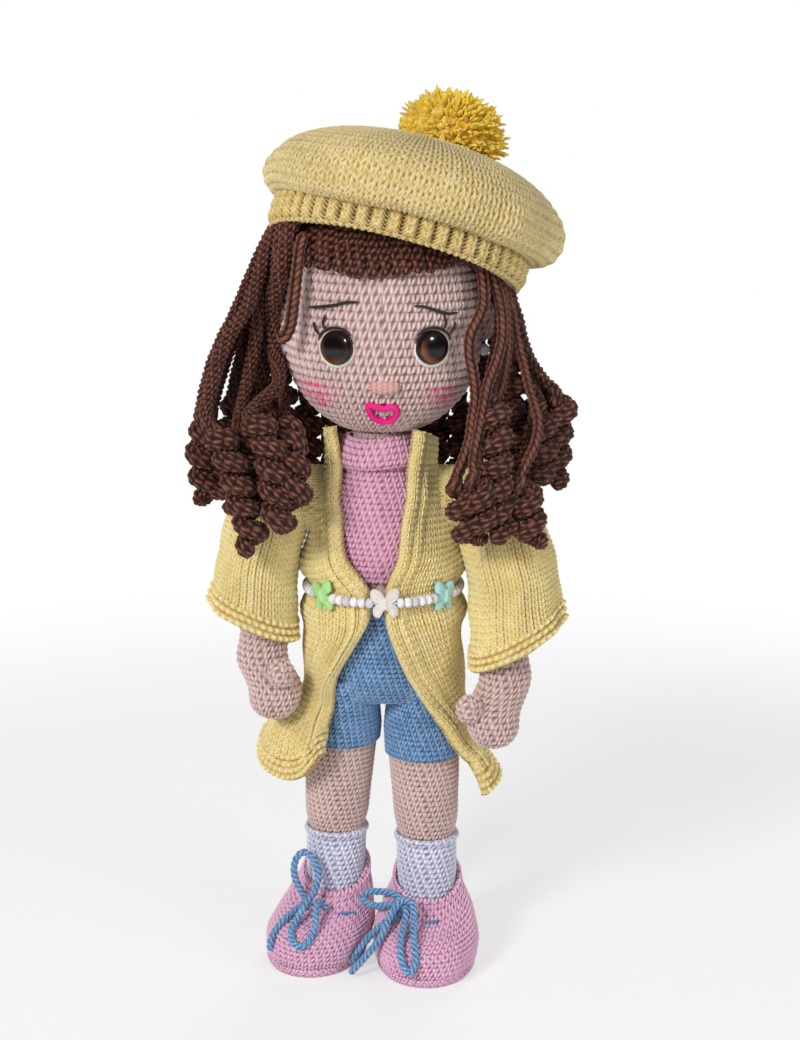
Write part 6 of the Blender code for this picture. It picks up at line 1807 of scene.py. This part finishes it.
@dataclass
class Limbs:
    """The torso, the legs and the arms, all stuffed."""

    torso_gauge: Gauge = Gauge(Pattern.SINGLE, 3.2, 2.9, 0.9, 3)
    leg_gauge: Gauge = Gauge(Pattern.SINGLE, 3.0, 2.2, 1.15, 5)
    arm_gauge: Gauge = Gauge(Pattern.SINGLE, 3.4, 2.6, 1.25, 6)
    arms: tuple = (
        (Side.RIGHT, (
            (-42.14, 0.0, 203.6, 1.0), (-42.14, 0.0, 202.83, 4.0), (-42.14, 0.0, 200.55, 7.02),
            (-42.5, 0.0, 194.0, 8.75),
            (-44.56, -0.6, 179.98, 8.96), (-48.25, -1.8, 165.06, 9.18), (-48.57, -3.84, 150.05, 9.5),
            (-48.68, -6.24, 138.03, 9.61), (-49.33, -9.0, 128.02, 10.26), (-44.39, -12.0, 118.01, 10.8),
            (-44.39, -13.2, 111.01, 9.83), (-44.39, -13.44, 107.0, 7.24), (-44.39, -13.44, 105.0, 3.46),
            (-44.39, -13.44, 104.4, 0.6))),
        (Side.LEFT, (
            (42.14, 0.0, 204.2, 1.0), (42.14, 0.0, 203.42, 4.0), (42.14, 0.0, 200.95, 7.02), (42.53, 0.0, 193.82, 8.75),
            (44.35, -1.2, 178.58, 8.96), (48.25, -3.6, 162.34, 9.18), (48.57, -7.68, 146.0, 9.5),
            (48.68, -12.48, 132.94, 9.61), (49.33, -18.0, 122.05, 10.26), (44.39, -24.0, 111.16, 10.8),
            (44.39, -26.4, 103.53, 9.83), (44.39, -26.88, 99.18, 7.24), (44.39, -26.88, 97.0, 3.46),
            (44.39, -26.88, 96.4, 0.6))),
    )
    thumb_half: tuple[float, float, float] = (5.4, 5.0, 5.8)
    thumbs: tuple = ((-41.2, -21.6, 125.6), (34.6, -31.4, 113.6))
    root_start: float = 24.1
    root_radius: float = 8.0
    shoulder: float = 196.0

    def build(self) -> None:
        """Makes every stuffed part below the head."""
        shell = Shell()
        rows = torso_rows(112.0, 222.4, 0.0, self.torso_gauge.step)
        shell.surface(in_the_round(rings(rows, self.torso_gauge.columns(145.0)), self.torso_gauge), caps="first last")
        shell.piece("stuffed_torso", "doll", Looks.skin, ["torso"])
        for side in Side:
            self.leg(side)
        for side, knots in self.arms:
            self.arm(side, knots)

    def leg(self, side: Side) -> None:
        """One leg, from inside the shoe to the hips."""
        shell = Shell()
        rows = leg_rows(side, 7.6, 111.4, 0.0, self.leg_gauge.step)
        columns = self.leg_gauge.columns(TURN * 14.0)
        shell.surface(in_the_round(rings(rows, columns), self.leg_gauge), caps="first last")
        shell.piece(f"stuffed_leg_{side.label}", "doll", Looks.skin, [f"leg_{side.label}"])

    def arm(self, side: Side, knots: tuple) -> None:
        """One arm with its hand and thumb."""
        data = np.array(knots)[::-1]
        rows = smooth_path(data, self.arm_gauge.step, (2, 3))
        points = rings(np.column_stack([rows, rows[:, 3]]), self.arm_gauge.columns(TURN * 10.5))
        shell = Shell()
        shell.surface(in_the_round(points, self.arm_gauge), caps="first last")
        middle = self.thumbs[side is Side.LEFT]
        thumb = ball(middle, self.thumb_half, 0.48, 32)
        shell.surface(in_the_round(rings(thumb, 48), self.arm_gauge), caps="first last")
        path = np.column_stack([
            side.value * np.linspace(self.root_start, abs(knots[3][0]), 24), np.zeros(24), np.full(24, self.shoulder),
        ])
        root = tube(path, np.full(24, self.root_radius), 40)
        shell.surface(in_the_round(root, self.arm_gauge), caps="first last")
        label = side.label
        shell.piece(f"stuffed_arm_{label}", f"{label}_arm", Looks.skin, [f"arm_{label}"])


# Clothes
@dataclass
class Top:
    """The pink top with its rolled collar."""

    low: float = 162.5
    high: float = 209.0
    layer: float = 1.9
    gauge: Gauge = Gauge(Pattern.SINGLE, 3.1, 2.35, 1.15, 5)
    collar_gauge: Gauge = Gauge(Pattern.SINGLE, 3.1, 2.6, 1.1, 6)
    flat: tuple[float, float] = (0.150, 0.048)
    collar_flat: tuple[float, float] = (0.092, 0.028)

    def build(self) -> None:
        """Makes the top and the collar."""
        rows = torso_rows(self.low, self.high, self.layer, self.gauge.step)
        rows = turned_in(rows, 3.0, 1.5)
        shell = Shell()
        shell.surface(in_the_round(rings(rows, self.gauge.columns(160.0)), self.gauge))
        piece = shell.piece("pink_top", "doll", Looks.pink, ["top"])
        self.collar()

    def collar(self) -> None:
        """The collar, a folded tube that sits unevenly round the neck."""
        outline = [(0.6, 210.6), (1.2, 209.0), (3.6, 207.8), (6.0, 208.6), (6.9, 210.8), (6.0, 213.6), (4.6, 216.8),
                   (3.4, 219.4), (1.7, 219.8), (0.7, 218.4)]
        profile = smooth_path(outline, self.collar_gauge.step, (0, 1))
        columns = self.collar_gauge.columns(TURN * 16.0)
        angles = whole_turn(columns)
        half = 12.2 + profile[:, :1]
        tilt = 1.6 * np.sin(angles + 0.6) + 0.9 * np.sin(3 * angles)
        x = half * np.sin(angles)
        y = -half * 0.99 * np.cos(angles)
        points = np.stack([x, y, profile[:, 1:] + tilt * 0.6], axis=2)
        shell = Shell()
        shell.surface(in_the_round(points, self.collar_gauge))
        piece = shell.piece("rolled_collar", "doll", Looks.pink, ["top_collar"])


@dataclass
class Shorts:
    """The denim blue shorts."""

    waist: float = 156.0
    hems: tuple[float, float] = (91.0, 87.0)
    fork: float = 110.5
    layer: float = 2.0
    leg_layer: float = 1.5
    gauge: Gauge = Gauge(Pattern.SINGLE, 2.7, 2.0, 1.05, 5)
    flat: tuple[float, float] = (0.185, 0.092)

    def build(self) -> None:
        """Makes the seat and both legs in one piece."""
        shell = Shell()
        rows = torso_rows(self.fork + 4.5, self.waist, self.layer, self.gauge.step)
        floor = rows[0].copy()
        floor[2:] = self.fork, rows[0][3] - 5.0, rows[0][4] - 5.0
        middle = rows[0].copy()
        middle[2:] = self.fork + 1.6, rows[0][3] - 1.6, rows[0][4] - 1.6
        rows = np.vstack([smooth_path([floor, middle, rows[0]], self.gauge.step, (2, 3))[:-1], rows])
        shell.surface(in_the_round(rings(rows, self.gauge.columns(165.0)), self.gauge), caps="first")
        for side in Side:
            rows = leg_rows(side, self.hems[side is Side.LEFT], 121.0, self.leg_layer, self.gauge.step)
            seat = table(TORSO_ROWS, np.maximum(rows[:, 2], 112.0)) + self.layer
            inset = 1.4 * eased(rows[:, 2], 113.0, 121.0)
            share = eased(rows[:, 2], 96.0, 116.0)
            rows[:, 3] += (seat[:, 0] - np.abs(rows[:, 0]) - inset - rows[:, 3]) * share
            rows[:, 4] += (seat[:, 1] - 0.4 - inset - rows[:, 4]) * share
            rows = turned_in(rows, 4.0, 1.3)
            shell.surface(in_the_round(rings(rows, self.gauge.columns(TURN * 16.0)), self.gauge))
        piece = shell.piece("blue_shorts", "doll", Looks.denim, ["shorts"])


@dataclass
class Sock:
    """One sock, from inside the shoe to its welt."""

    side: Side
    low: float = 18.0
    top: float = 52.0
    layer: float = 1.9
    gauge: Gauge = Gauge(Pattern.SINGLE, 3.6, 2.2, 0.95, 6)
    flat: tuple[float, float] = (0.078, 0.038)

    def build(self) -> None:
        """Makes the sock."""
        rows = leg_rows(self.side, self.low, self.top - 2.4, self.layer, self.gauge.step)
        last = rows[-1]
        welt = [last + np.array((0, 0, rise, out, out)) for rise, out in
                ((0.4, 0.5), (1.1, 0.9), (1.9, 0.9), (2.5, 0.4), (2.7, -0.6), (2.2, -1.5), (0.8, -1.8))]
        rows = np.vstack([rows, welt])
        points = rings(rows, self.gauge.columns(TURN * 13.0))
        across, along = rounds(points, self.gauge)
        relief = single_relief(across, along)
        shell = Shell()
        shell.surface(raised(points, True, relief, self.gauge.depth, ply_twist(across, along)), caps="first")
        label = self.side.label
        piece = shell.piece(f"white_sock_{label}", "doll", Looks.sock, [f"sock_{label}"])


@dataclass
class Shoe:
    """One shoe with its sole."""

    side: Side
    half_width: float = 21.4
    half_length: float = 30.7
    base: float = 2.9
    height: float = 30.0
    rim: float = 14.63
    bore: float = 12.63
    rows: tuple = (
        (0.0, 0.34, 0.80, 0.84, 0.0), (0.03, 0.34, 0.93, 0.955, 0.0), (0.14, 0.35, 0.985, 1.0, 0.0),
        (0.36, 0.34, 1.0, 0.99, 0.03), (0.60, 0.28, 0.92, 0.88, 0.12), (0.80, 0.165, 0.81, 0.70, 0.28),
        (0.93, 0.05, 0.70, 0.52, 0.45),
    )
    gauge: Gauge = Gauge(Pattern.SINGLE, 3.1, 2.3, 1.2, 5)
    sole_gauge: Gauge = Gauge(Pattern.SINGLE, 3.2, 1.3, 0.4, 5)
    sole_rows: tuple = ((0.0, -1.6), (0.5, -0.3), (1.4, 0.3), (2.8, 0.4), (3.7, -0.2), (3.9, -2.0))

    def ring(self, row: Array, columns: int) -> Array:
        """Rings of the shoe.

        Args:
            row: Height, forward shift, half width, half length, slope and sideways shift of each ring.
            columns: Points round each ring.

        Returns:
            Points by row and column.
        """
        z, forward, wide, long, slope, splay = (row[:, k:k + 1] for k in range(6))
        angles = whole_turn(columns)
        turn = 0.0 if self.side is Side.LEFT else math.radians(-12.0)
        x = wide * np.cos(angles) * (1.0 - 0.10 * np.sin(angles))
        y = -forward + long * np.sin(angles)
        rise = z + slope * y
        middle = LEG_MIDDLES[self.side][0]
        x, y = x * math.cos(turn) - y * math.sin(turn), x * math.sin(turn) + y * math.cos(turn)
        return np.stack([middle[1] + x + splay, middle[2] + y, rise], axis=2)

    def build(self) -> None:
        """Makes the upper and the sole."""
        splay = -0.4 if self.side is Side.LEFT else -5.0
        knots = [(self.base + self.height * high, self.half_length * forward, self.half_width * wide,
                  self.half_length * long, slope, splay * (1 - high)) for high, forward, wide, long, slope in self.rows]
        top = self.base + self.height
        for rise, size, slope in ((0.0, self.rim, 0.54), (1.2, self.rim - 1.0, 0.54), (0.6, self.bore + 0.2, 0.54),
                                  (-3.0, self.bore - 0.1, 0.45), (-7.0, self.bore - 0.2, 0.3)):
            knots.append((top + rise, 0.0, size, size, slope, 0.0))
        rows = smooth_path(knots, self.gauge.step, (0, 2, 3))
        points = self.ring(rows, self.gauge.columns(165.0))
        points = points + facing(points, True) * (drape(points, 16.0, 31) * 0.35)[..., None]
        shell = Shell()
        shell.surface(in_the_round(points, self.gauge), caps="first")
        label = self.side.label
        shoe = shell.piece(f"crocheted_shoe_{label}", f"{label}_shoe", Looks.shoe, [f"shoe_{label}"])
        self.sole(splay)

    def sole(self, splay: float) -> None:
        """The sole with its rounded edge of slip stitches."""
        wide, long, forward = self.half_width * 0.93, self.half_length * 0.96, self.half_length * 0.34
        knots = [(0.05, forward, wide * 0.5, long * 0.5, 0.0, splay)]
        for rise, out in self.sole_rows:
            knots.append((rise, forward, wide + out, long + out, 0.0, splay))
        rows = smooth_path(knots, 0.35, (0, 2, 3))
        points = self.ring(rows, self.sole_gauge.columns(170.0))
        across, along = rounds(points, self.sole_gauge)
        relief = single_relief(across, along)
        calm = np.where(points[..., 2] < 0.6, 0.0, 1.0)
        shell = Shell()
        shell.surface(raised(points, True, relief, self.sole_gauge.depth * calm, ply_twist(across, along)),
                      caps="first last")
        label = self.side.label
        shell.piece(f"crocheted_sole_{label}", f"{label}_shoe", Looks.shoe, [f"sole_{label}"])


COAT_HALVES = (
    (64, 43.83, 29.24), (70, 42.24, 28.81), (76, 40.66, 28.39), (82, 39.08, 27.97), (88, 37.35, 27.38),
    (94, 35.54, 25.94), (100, 33.81, 24.46), (106, 32.15, 23.19), (112, 30.79, 22.61), (118, 30.76, 23.43),
    (124, 30.76, 24.15), (130, 30.76, 24.57), (136, 30.3, 24.75), (142, 29.63, 24.84), (148, 29.0, 24.81),
    (154, 27.95, 24.5), (160, 27.35, 24.19), (166, 28.23, 23.8), (172, 29.11, 23.41), (178, 28.39, 22.6),
    (184, 27.53, 21.74), (190, 26.54, 20.78), (196, 25.55, 19.82), (202, 22.05, 18.46), (208, 19.63, 18.23),
    (214, 19.7, 19.09), (222, 20.5, 19.8),
)


@dataclass
class Coat:
    """The open knitted coat: body, rolled front bands and garter hem."""

    neck: float = 213.0
    top: float = 225.0
    top_slope: float = 11.0
    waist: float = 157.2
    puff: float = 4.0
    puff_reach: float = 9.0
    puff_half: float = 5.5
    thick: float = 1.8
    fold: float = 2.4
    folds: int = 9
    flares: tuple = ((13.0, 255, 34, -0.553, -0.413), (8.5, 76, 28, -0.451, -0.351))
    girth: float = 262.0
    grid_rows: int = 341
    rolls: tuple = ((2.9, 2.2, 2.0), (1.8, 6.4, 1.6))
    hem: tuple = ((0.0, 0.43), (0.03, 0.395), (0.08, 0.365), (0.15, 0.362), (0.25, 0.395), (0.40, 0.475),
        (0.60, 0.485), (0.76, 0.425),
                  (0.88, 0.375), (1.0, 0.338))
    edges: tuple = ((0.40, 38, 58), (0.545, 38, 27), (0.587, 34, 17), (0.643, 22, 8), (0.714, 9, 1), (0.756, 11, 2),
                    (0.812, 29, 11), (0.892, 38, 17), (0.967, 52, 27), (1.0, 58, 31), (1.04, 60, 33))
    gauge: Gauge = Gauge(Pattern.STOCKING, 2.6, 2.4, 1.5, 7)
    hem_height: float = 11.0
    band_width: float = 8.0
    edge_round: float = 1.6
    flat: tuple[float, float] = (0.215, 0.118)

    def place(self, angle: Array, height: Array, lift: Array | float) -> Array:
        """Points of the coat's inside: angle 0 is the front and positive angles go to the doll's left."""
        halves = table(COAT_HALVES, height)
        share = height / self.neck
        turn = np.degrees(angle) % 360
        low = eased(-share, -0.66, -0.46)
        fold = self.fold * low * (1 + np.cos(self.folds * angle)) / 2 * np.cos(angle) ** 2
        above = np.exp(-(((height - self.waist - self.puff_reach) / self.puff_half) ** 2))
        below = np.exp(-(((height - self.waist + self.puff_reach) / self.puff_half) ** 2))
        puff = self.puff * np.sin(angle) ** 4 * (above + 0.7 * below)
        out = lift + fold + puff
        for far, middle, half, start, stop in self.flares:
            out = out + far * (np.exp(-(((turn - middle) / half) ** 2)) * eased(-share, start, stop))
        x = (halves[..., 0] + out) * np.sin(angle)
        y = -(halves[..., 1] + out) * np.cos(angle)
        return np.stack([x, y, height], axis=-1)

    def grid(self, columns: int, rows: int) -> tuple[Array, Array]:
        """Angles and heights of the coat, from its right front edge round the back and from neck to hem."""
        across = np.linspace(0.0, 1.0, columns)[None, :]
        down = np.linspace(0.0, 1.0, rows)[:, None]
        hem = self.neck * table(self.hem, across)
        top = self.top - self.top_slope * np.sin(math.pi * across)
        height = top + (hem - top) * down
        right = table([row[:2] for row in self.edges], height[:, 0] / self.neck)[:, None]
        left = table([(row[0], row[2]) for row in self.edges], height[:, -1] / self.neck)[:, None]
        return -np.radians(right + (360 - left - right) * across), height

    def build(self) -> None:
        """Makes the coat's body."""
        columns = 2 * round(self.girth / self.gauge.width * self.gauge.samples / 2) + 1
        angles, heights = self.grid(columns, self.grid_rows)
        base = self.place(angles, heights, self.thick)
        inside = self.place(angles, heights, 0.0)
        out = facing(base, False)
        length = np.linalg.norm(np.diff(base, axis=1), axis=2).sum(axis=1)[:, None]
        across_share = np.linspace(0.0, 1.0, columns)[None, :]
        edge = np.minimum(across_share, 1.0 - across_share) * length
        down = np.cumsum(np.linalg.norm(np.diff(base, axis=0, prepend=base[:1]), axis=2), axis=0)
        to_hem = down[-1][None, :] - down
        roll = sum(high * np.exp(-((edge - middle) / half) ** 2) for high, middle, half in self.rolls)
        roll *= eased(to_hem, 2.0, 8.0) * 0.85 + 0.15
        rounding = np.sqrt(np.clip(1.0 - np.clip(1.0 - edge / self.edge_round, 0.0, 1.0) ** 2, 0.0, 1.0))
        hem = 1.0 - eased(to_hem, self.hem_height - 1.6, self.hem_height)
        soft = drape(base, 17.0, 7) * 0.55 + drape(base, 34.0, 8) * 0.8 * (1.0 - eased(heights, 120.0, 165.0))
        base = inside + out * (soft + (self.thick + roll + 0.8 * hem) * rounding)[..., None]
        across, along = flat_counts(base, self.gauge)
        relief = stocking_relief(across, -along)
        ridges = garter_relief(across * GARTER_COUNT, to_hem / GARTER_RIDGE)
        relief = relief * (1.0 - hem) + ridges * hem
        depth = self.gauge.depth * (1.0 + 0.5 * hem)
        worked = raised(base, False, relief, depth * (0.5 + 0.5 * rounding), ply_twist(across, along))
        shell = Shell()
        shell.cloth(worked, inside + out * (soft - 0.2)[..., None], False)
        piece = shell.piece("knitted_coat", "doll", Looks.knit, ["coat_body"])


SLEEVE_ROWS = {
    Side.RIGHT: ((209.3, 37.0, 40.0, 0.0, 0.8, 0.0), (208.6, 34.6, 42.2, 0.0, 2.2, 0.0),
    (207.5, 32.74, 43.71, 0.0, 3.6, 0.0),
                 (203.98, 30.13, 49.35, 0.37, 9.0, 0.001), (197.9, 29.37, 54.99, 1.01, 12.96, 0.01),
                 (190.22, 30.6, 60.63, 1.81, 15.12, 0.033), (179.98, 31.89, 64.3, 2.89, 16.56, 0.083),
                 (167.82, 35.37, 66.62, 4.17, 17.1, 0.173), (155.02, 35.37, 68.6, 5.51, 17.64, 0.303),
                 (143.5, 35.37, 70.5, 6.72, 18.0, 0.45)),
    Side.LEFT: ((209.3, 37.4, 41.0, 0.0, 0.8, 0.0), (208.6, 34.9, 43.6, 0.0, 2.3, 0.0),
    (207.5, 32.96, 45.26, 0.0, 3.8, 0.0),
                (203.51, 30.27, 51.1, 0.74, 9.5, 0.002), (196.63, 29.58, 56.94, 2.02, 13.68, 0.012),
                (187.93, 30.92, 62.78, 3.63, 15.96, 0.04), (176.33, 31.36, 66.58, 5.78, 17.48, 0.102),
                (162.55, 35.37, 68.98, 8.33, 18.05, 0.211), (148.05, 35.37, 71.03, 11.02, 18.62, 0.37),
                (135.0, 35.37, 73.0, 13.44, 19.0, 0.55)),
}


@dataclass
class Sleeve:
    """One wide knitted sleeve."""

    side: Side
    thick: float = 1.6
    fold: float = 1.0
    folds: int = 7
    cuff: float = 8.6
    girth: float = 114.0
    crown: float = 207.5
    shoulder_knots: tuple = (
        (19.0, 11.5, 12.5, 193.0), (23.0, 12.6, 13.4, 192.8), (28.0, 12.8, 13.2, 193.2),
        (33.0, 11.6, 12.2, 194.0), (38.0, 9.4, 10.6, 194.8), (42.0, 6.5, 8.0, 195.2),
    )
    shoulder_bend: tuple[float, float] = (23.0, 36.0)
    shoulder_height: float = 196.0
    shoulder_flat: tuple[float, float] = (0.078, 0.036)
    gauge: Gauge = Gauge(Pattern.STOCKING, 2.6, 2.4, 1.5, 7)
    flat: tuple[float, float] = (0.118, 0.078)

    def rows(self, points: Array, inset: float) -> Array:
        """The sleeve's points from its hem up, that far inside its outer face."""
        columns = 2 * round(self.girth / self.gauge.width * self.gauge.samples / 2)
        turn = whole_turn(columns) * self.side.value
        z, inner, outer, forward, deep, slope = (points[:, k:k + 1] for k in range(6))
        drop = np.clip((self.crown - z) / (self.crown - points[0, 0]), 0.0, 1.0)
        half = np.maximum((outer - inner) / 2 - inset, 0.3)
        middle = (outer + inner) / 2
        fold = self.fold * drop * np.maximum(np.cos(turn), 0.0) * np.cos(self.folds * turn)
        x = middle + (half + fold) * np.cos(turn)
        y = -forward + np.maximum(deep - inset, 0.3) * np.sin(turn)
        return np.stack([self.side.value * x, y, z + slope * (x - middle)], axis=2)

    def build(self) -> None:
        """Makes the sleeve with its garter cuff."""
        profile = smooth_path(SLEEVE_ROWS[self.side][::-1], self.gauge.height / self.gauge.samples, (0, 2))
        if len(profile) % 2 == 0:
            profile = profile[:-1]
        base, inside = self.rows(profile, 0.0), self.rows(profile, self.thick)
        out = facing(base, True)
        up = np.cumsum(np.linalg.norm(np.diff(base, axis=0, prepend=base[:1]), axis=2), axis=0)
        cuff = 1.0 - eased(up, self.cuff - 1.4, self.cuff)
        soft = drape(base, 16.0, 12 + self.side.value) * 0.6
        base = base + out * (soft + 0.7 * cuff)[..., None]
        across, along = flat_counts(np.concatenate([base, base[:, :1]], axis=1), self.gauge)
        across, along = across[:, :-1], along[:, :-1]
        ridges = garter_relief(across * GARTER_COUNT, up / GARTER_RIDGE)
        relief = stocking_relief(across, along) * (1.0 - cuff) + ridges * cuff
        worked = raised(base, True, relief, self.gauge.depth * (1.0 + 0.5 * cuff), ply_twist(across, along))
        shell = Shell()
        shell.cloth(worked, inside + out * soft[..., None], True, caps="last")
        label = self.side.label
        piece = shell.piece(f"knitted_sleeve_{label}", f"{label}_arm", Looks.knit, [f"sleeve_{label}"])
        self.shoulder()

    def shoulder(self) -> None:
        """The knitted shoulder that joins the sleeve to the coat."""
        rows = smooth_path(self.shoulder_knots, self.gauge.height / self.gauge.samples, (0,))
        columns = self.gauge.columns(TURN * 12.6)
        turn = whole_turn(columns) * self.side.value
        x = np.broadcast_to(self.side.value * rows[:, :1], (len(rows), columns))
        points = np.stack([x, rows[:, 1:2] * np.cos(turn), rows[:, 3:] + rows[:, 2:3] * np.sin(turn)], axis=2)
        across, along = rounds(points, self.gauge)
        relief = stocking_relief(across, along)
        shell = Shell()
        shell.surface(raised(points, True, relief, self.gauge.depth, ply_twist(across, along)))
        item = bpy.data.objects.new(f"knitted_shoulder_{self.side.label}", shell.mesh("shoulder"))
        bpy.context.scene.collection.objects.link(item)
        item.data.materials.append(Looks.knit.material)
        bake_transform(item)


# Belt
@dataclass
class Belt:
    """The string of beads with its three butterfly beads."""

    half: tuple[float, float] = (31.2, 30.07)
    height: float = 157.2
    bead_radius: float = 2.1
    bead_length: float = 2.87
    string: float = 0.55
    string_points: int = 240
    middle_reach: float = 32.1
    wing_half: float = 5.8
    wing_reach: float = 4.6
    wing_high: float = 6.0
    wing_thick: float = 3.2
    butterflies: tuple = (("green", -25.0, 15.0), ("white", 1.0, 2.0), ("teal", 25.4, -8.0))
    outline: tuple = (
        (0.0, 0.45), (0.25, 0.78), (0.72, 1.0), (1.0, 0.78), (0.92, 0.25), (0.58, 0.02), (0.86, -0.35), (0.82, -0.85),
        (0.45, -1.0), (0.15, -0.55), (0.0, -0.45), (-0.15, -0.55), (-0.45, -1.0), (-0.82, -0.85), (-0.86, -0.35),
        (-0.58, 0.02), (-0.92, 0.25), (-1.0, 0.78), (-0.72, 1.0), (-0.25, 0.78),
    )

    def place(self, angle: Array) -> Array:
        """Points on the string."""
        angle = np.asarray(angle, float)
        x, y = self.half[0] * np.sin(angle), -self.half[1] * np.cos(angle)
        return np.stack([x, y, np.full(angle.shape, self.height)], axis=-1)

    def build(self) -> None:
        """Makes the beads and the butterflies."""
        angles = np.linspace(0.0, TURN, 721)
        places = self.place(angles)
        lengths = running(np.linalg.norm(np.diff(places, axis=0), axis=1))
        total = lengths[-1]

        def angle_at(length: float) -> float:
            return float(np.interp(length % total, lengths, angles))

        marks = sorted(
            (float(np.interp(math.asin(side / self.middle_reach) % TURN, angles, lengths)), name, tilt)
            for name, side, tilt in self.butterflies
        )
        shell = Shell()
        for index, (mark, name, tilt) in enumerate(marks):
            start = mark + self.wing_reach
            stop = marks[(index + 1) % len(marks)][0] - self.wing_reach
            stop += total if stop <= start else 0.0
            count = int((stop - start) / self.bead_length)
            pitch = (stop - start) / count
            for number in range(count):
                at = start + pitch * (number + 0.5)
                self.bead(shell, angle_at(at - pitch / 2), angle_at(at + pitch / 2), number)
            self.butterfly(name, angle_at(mark - self.wing_half), angle_at(mark + self.wing_half), tilt)
        string = self.place(np.linspace(0.0, TURN, self.string_points, endpoint=False))
        points = tube(np.vstack([string, string[:1]]), np.full(self.string_points + 1, self.string), 8)
        shell.surface(Worked(points, np.full(points.shape[:2], 0.3), np.zeros(points.shape[:2])))
        shell.piece("bead_string", "doll", Looks.bead, ["belt_beads"])

    def bead(self, shell: Shell, start: float, end: float, number: int) -> None:
        """One round bead with a hole at each end."""
        first, last = self.place(start), self.place(end)
        along, middle = unit(last - first), (first + last) / 2
        out = unit(np.cross(along, (0.0, 0.0, 1.0)))
        half = float(np.linalg.norm(last - first)) / 2 * 0.97
        turn = np.linspace(0.0, math.pi, 15)
        profile = np.column_stack([-half * np.cos(turn), self.bead_radius * np.maximum(np.sin(turn) ** 0.62, 0.3)])
        angles = whole_turn(20)
        ring = out * np.cos(angles)[:, None] + UPWARD * np.sin(angles)[:, None]
        if float(np.cross(out, (0.0, 0.0, 1.0)) @ along) < 0:
            ring = ring[::-1]
        points = middle + profile[:, :1, None] * along + profile[:, 1:, None] * ring[None]
        tone = 0.55 + 0.4 * math.sin(2.3 * number)
        shell.surface(Worked(points, np.full(points.shape[:2], tone), np.zeros(points.shape[:2])), caps="first last")

    def butterfly(self, name: str, start: float, end: float, tilt: float) -> None:
        """One butterfly bead with engraved wings."""
        first, last = self.place(start), self.place(end)
        middle, along = (first + last) / 2, unit(last - first)
        out = unit(np.cross(along, (0.0, 0.0, 1.0)))
        turn = math.radians(tilt)
        wide = along * math.cos(turn) + UPWARD * math.sin(turn)
        high = UPWARD * math.cos(turn) - along * math.sin(turn)
        edge = smooth_path([(x * self.wing_half, z * self.wing_high, 0.0) for x, z in self.outline], 0.35, closed=True)
        shares = np.concatenate([np.linspace(0.02, 0.82, 18), np.cos(np.linspace(0.9, 0.0, 8)) * 0.18 + 0.82])
        shares = shares / shares[-1]
        flat = edge[None, :, :2] * shares[:, None, None]
        dome = np.sqrt(np.clip(1.0 - shares**6, 0.0, 1.0))[:, None]
        x, z = flat[..., 0], flat[..., 1]
        polar = np.arctan2(z, np.abs(x))
        veins = np.abs(np.sin(polar * 6.0)) ** 0.5
        reach = np.hypot(x, z) / self.wing_half
        veins = 1.0 - (1.0 - veins) * eased(reach, 0.25, 0.5) * (1.0 - eased(reach, 0.75, 1.0))
        rim = 1.0 - 0.5 * np.exp(-(((shares - 0.86) / 0.05) ** 2))[:, None]
        spine = 0.7 * np.exp(-((x / 0.9) ** 2)) * (np.abs(z) < self.wing_high * 0.5)
        height = self.wing_thick / 2 * dome * (0.78 + 0.12 * veins + 0.10 * rim) + spine
        shell = Shell()
        front = middle + x[..., None] * wide + z[..., None] * high + height[..., None] * out
        rear = middle + x[..., None] * wide + z[..., None] * high - (self.wing_thick / 2 * dome * 0.9)[..., None] * out
        # Darker in the engraved veins and in the groove inside the rim: painted shade in the hollows.
        pit = np.clip(veins * 0.6 + rim * 0.4, 0.0, 1.0) * np.ones_like(x)
        points = np.concatenate([front, rear[::-1]])
        fields = np.concatenate([pit, np.full_like(pit, 0.6)])
        normal = np.cross(points[5, 1] - points[5, 0], points[6, 0] - points[5, 0]) @ out
        if normal < 0:
            points, fields = points[:, ::-1], fields[:, ::-1]
        shell.surface(Worked(points, fields, np.zeros_like(fields)), caps="first last")
        finish = {"green": Looks.green, "white": Looks.white, "teal": Looks.teal}[name]
        shell.piece(f"butterfly_bead_{name}", "doll", finish, [f"butterfly_{name}"])


def dress_hidden_parts(nodes: dict[str, bpy.types.Object]) -> None:
    """Gives the rigid parts that the frame keeps their own finishes."""
    finishes = {"neck_dowel": Looks.dowel, "shoulder_thread": Looks.arm_thread,
                "eye_washer_left": Looks.washer, "eye_washer_right": Looks.washer}
    for name, finish in finishes.items():
        item = nodes[name]
        item.data.materials.clear()
        item.data.materials.append(finish.material)


def main() -> None:
    """Builds the studio and the doll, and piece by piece."""
    logging.basicConfig(level=logging.INFO, format="%(message)s")
    Studio().build()
    Lace(Side.RIGHT, LACE_RIGHT, STITCH_RIGHT).build()
    Lace(Side.LEFT, LACE_LEFT, STITCH_LEFT).build()
    Head().build()
    Face().build()
    Hair().build()
    Beret().build()
    Limbs().build()
    Top().build()
    Shorts().build()
    Coat().build()
    for side in Side:
        Sleeve(side).build()
        Sock(side).build()
        Shoe(side).build()
    Belt().build()
    dress_hidden_parts(frame["nodes"])


if __name__ == "__main__":
    main()
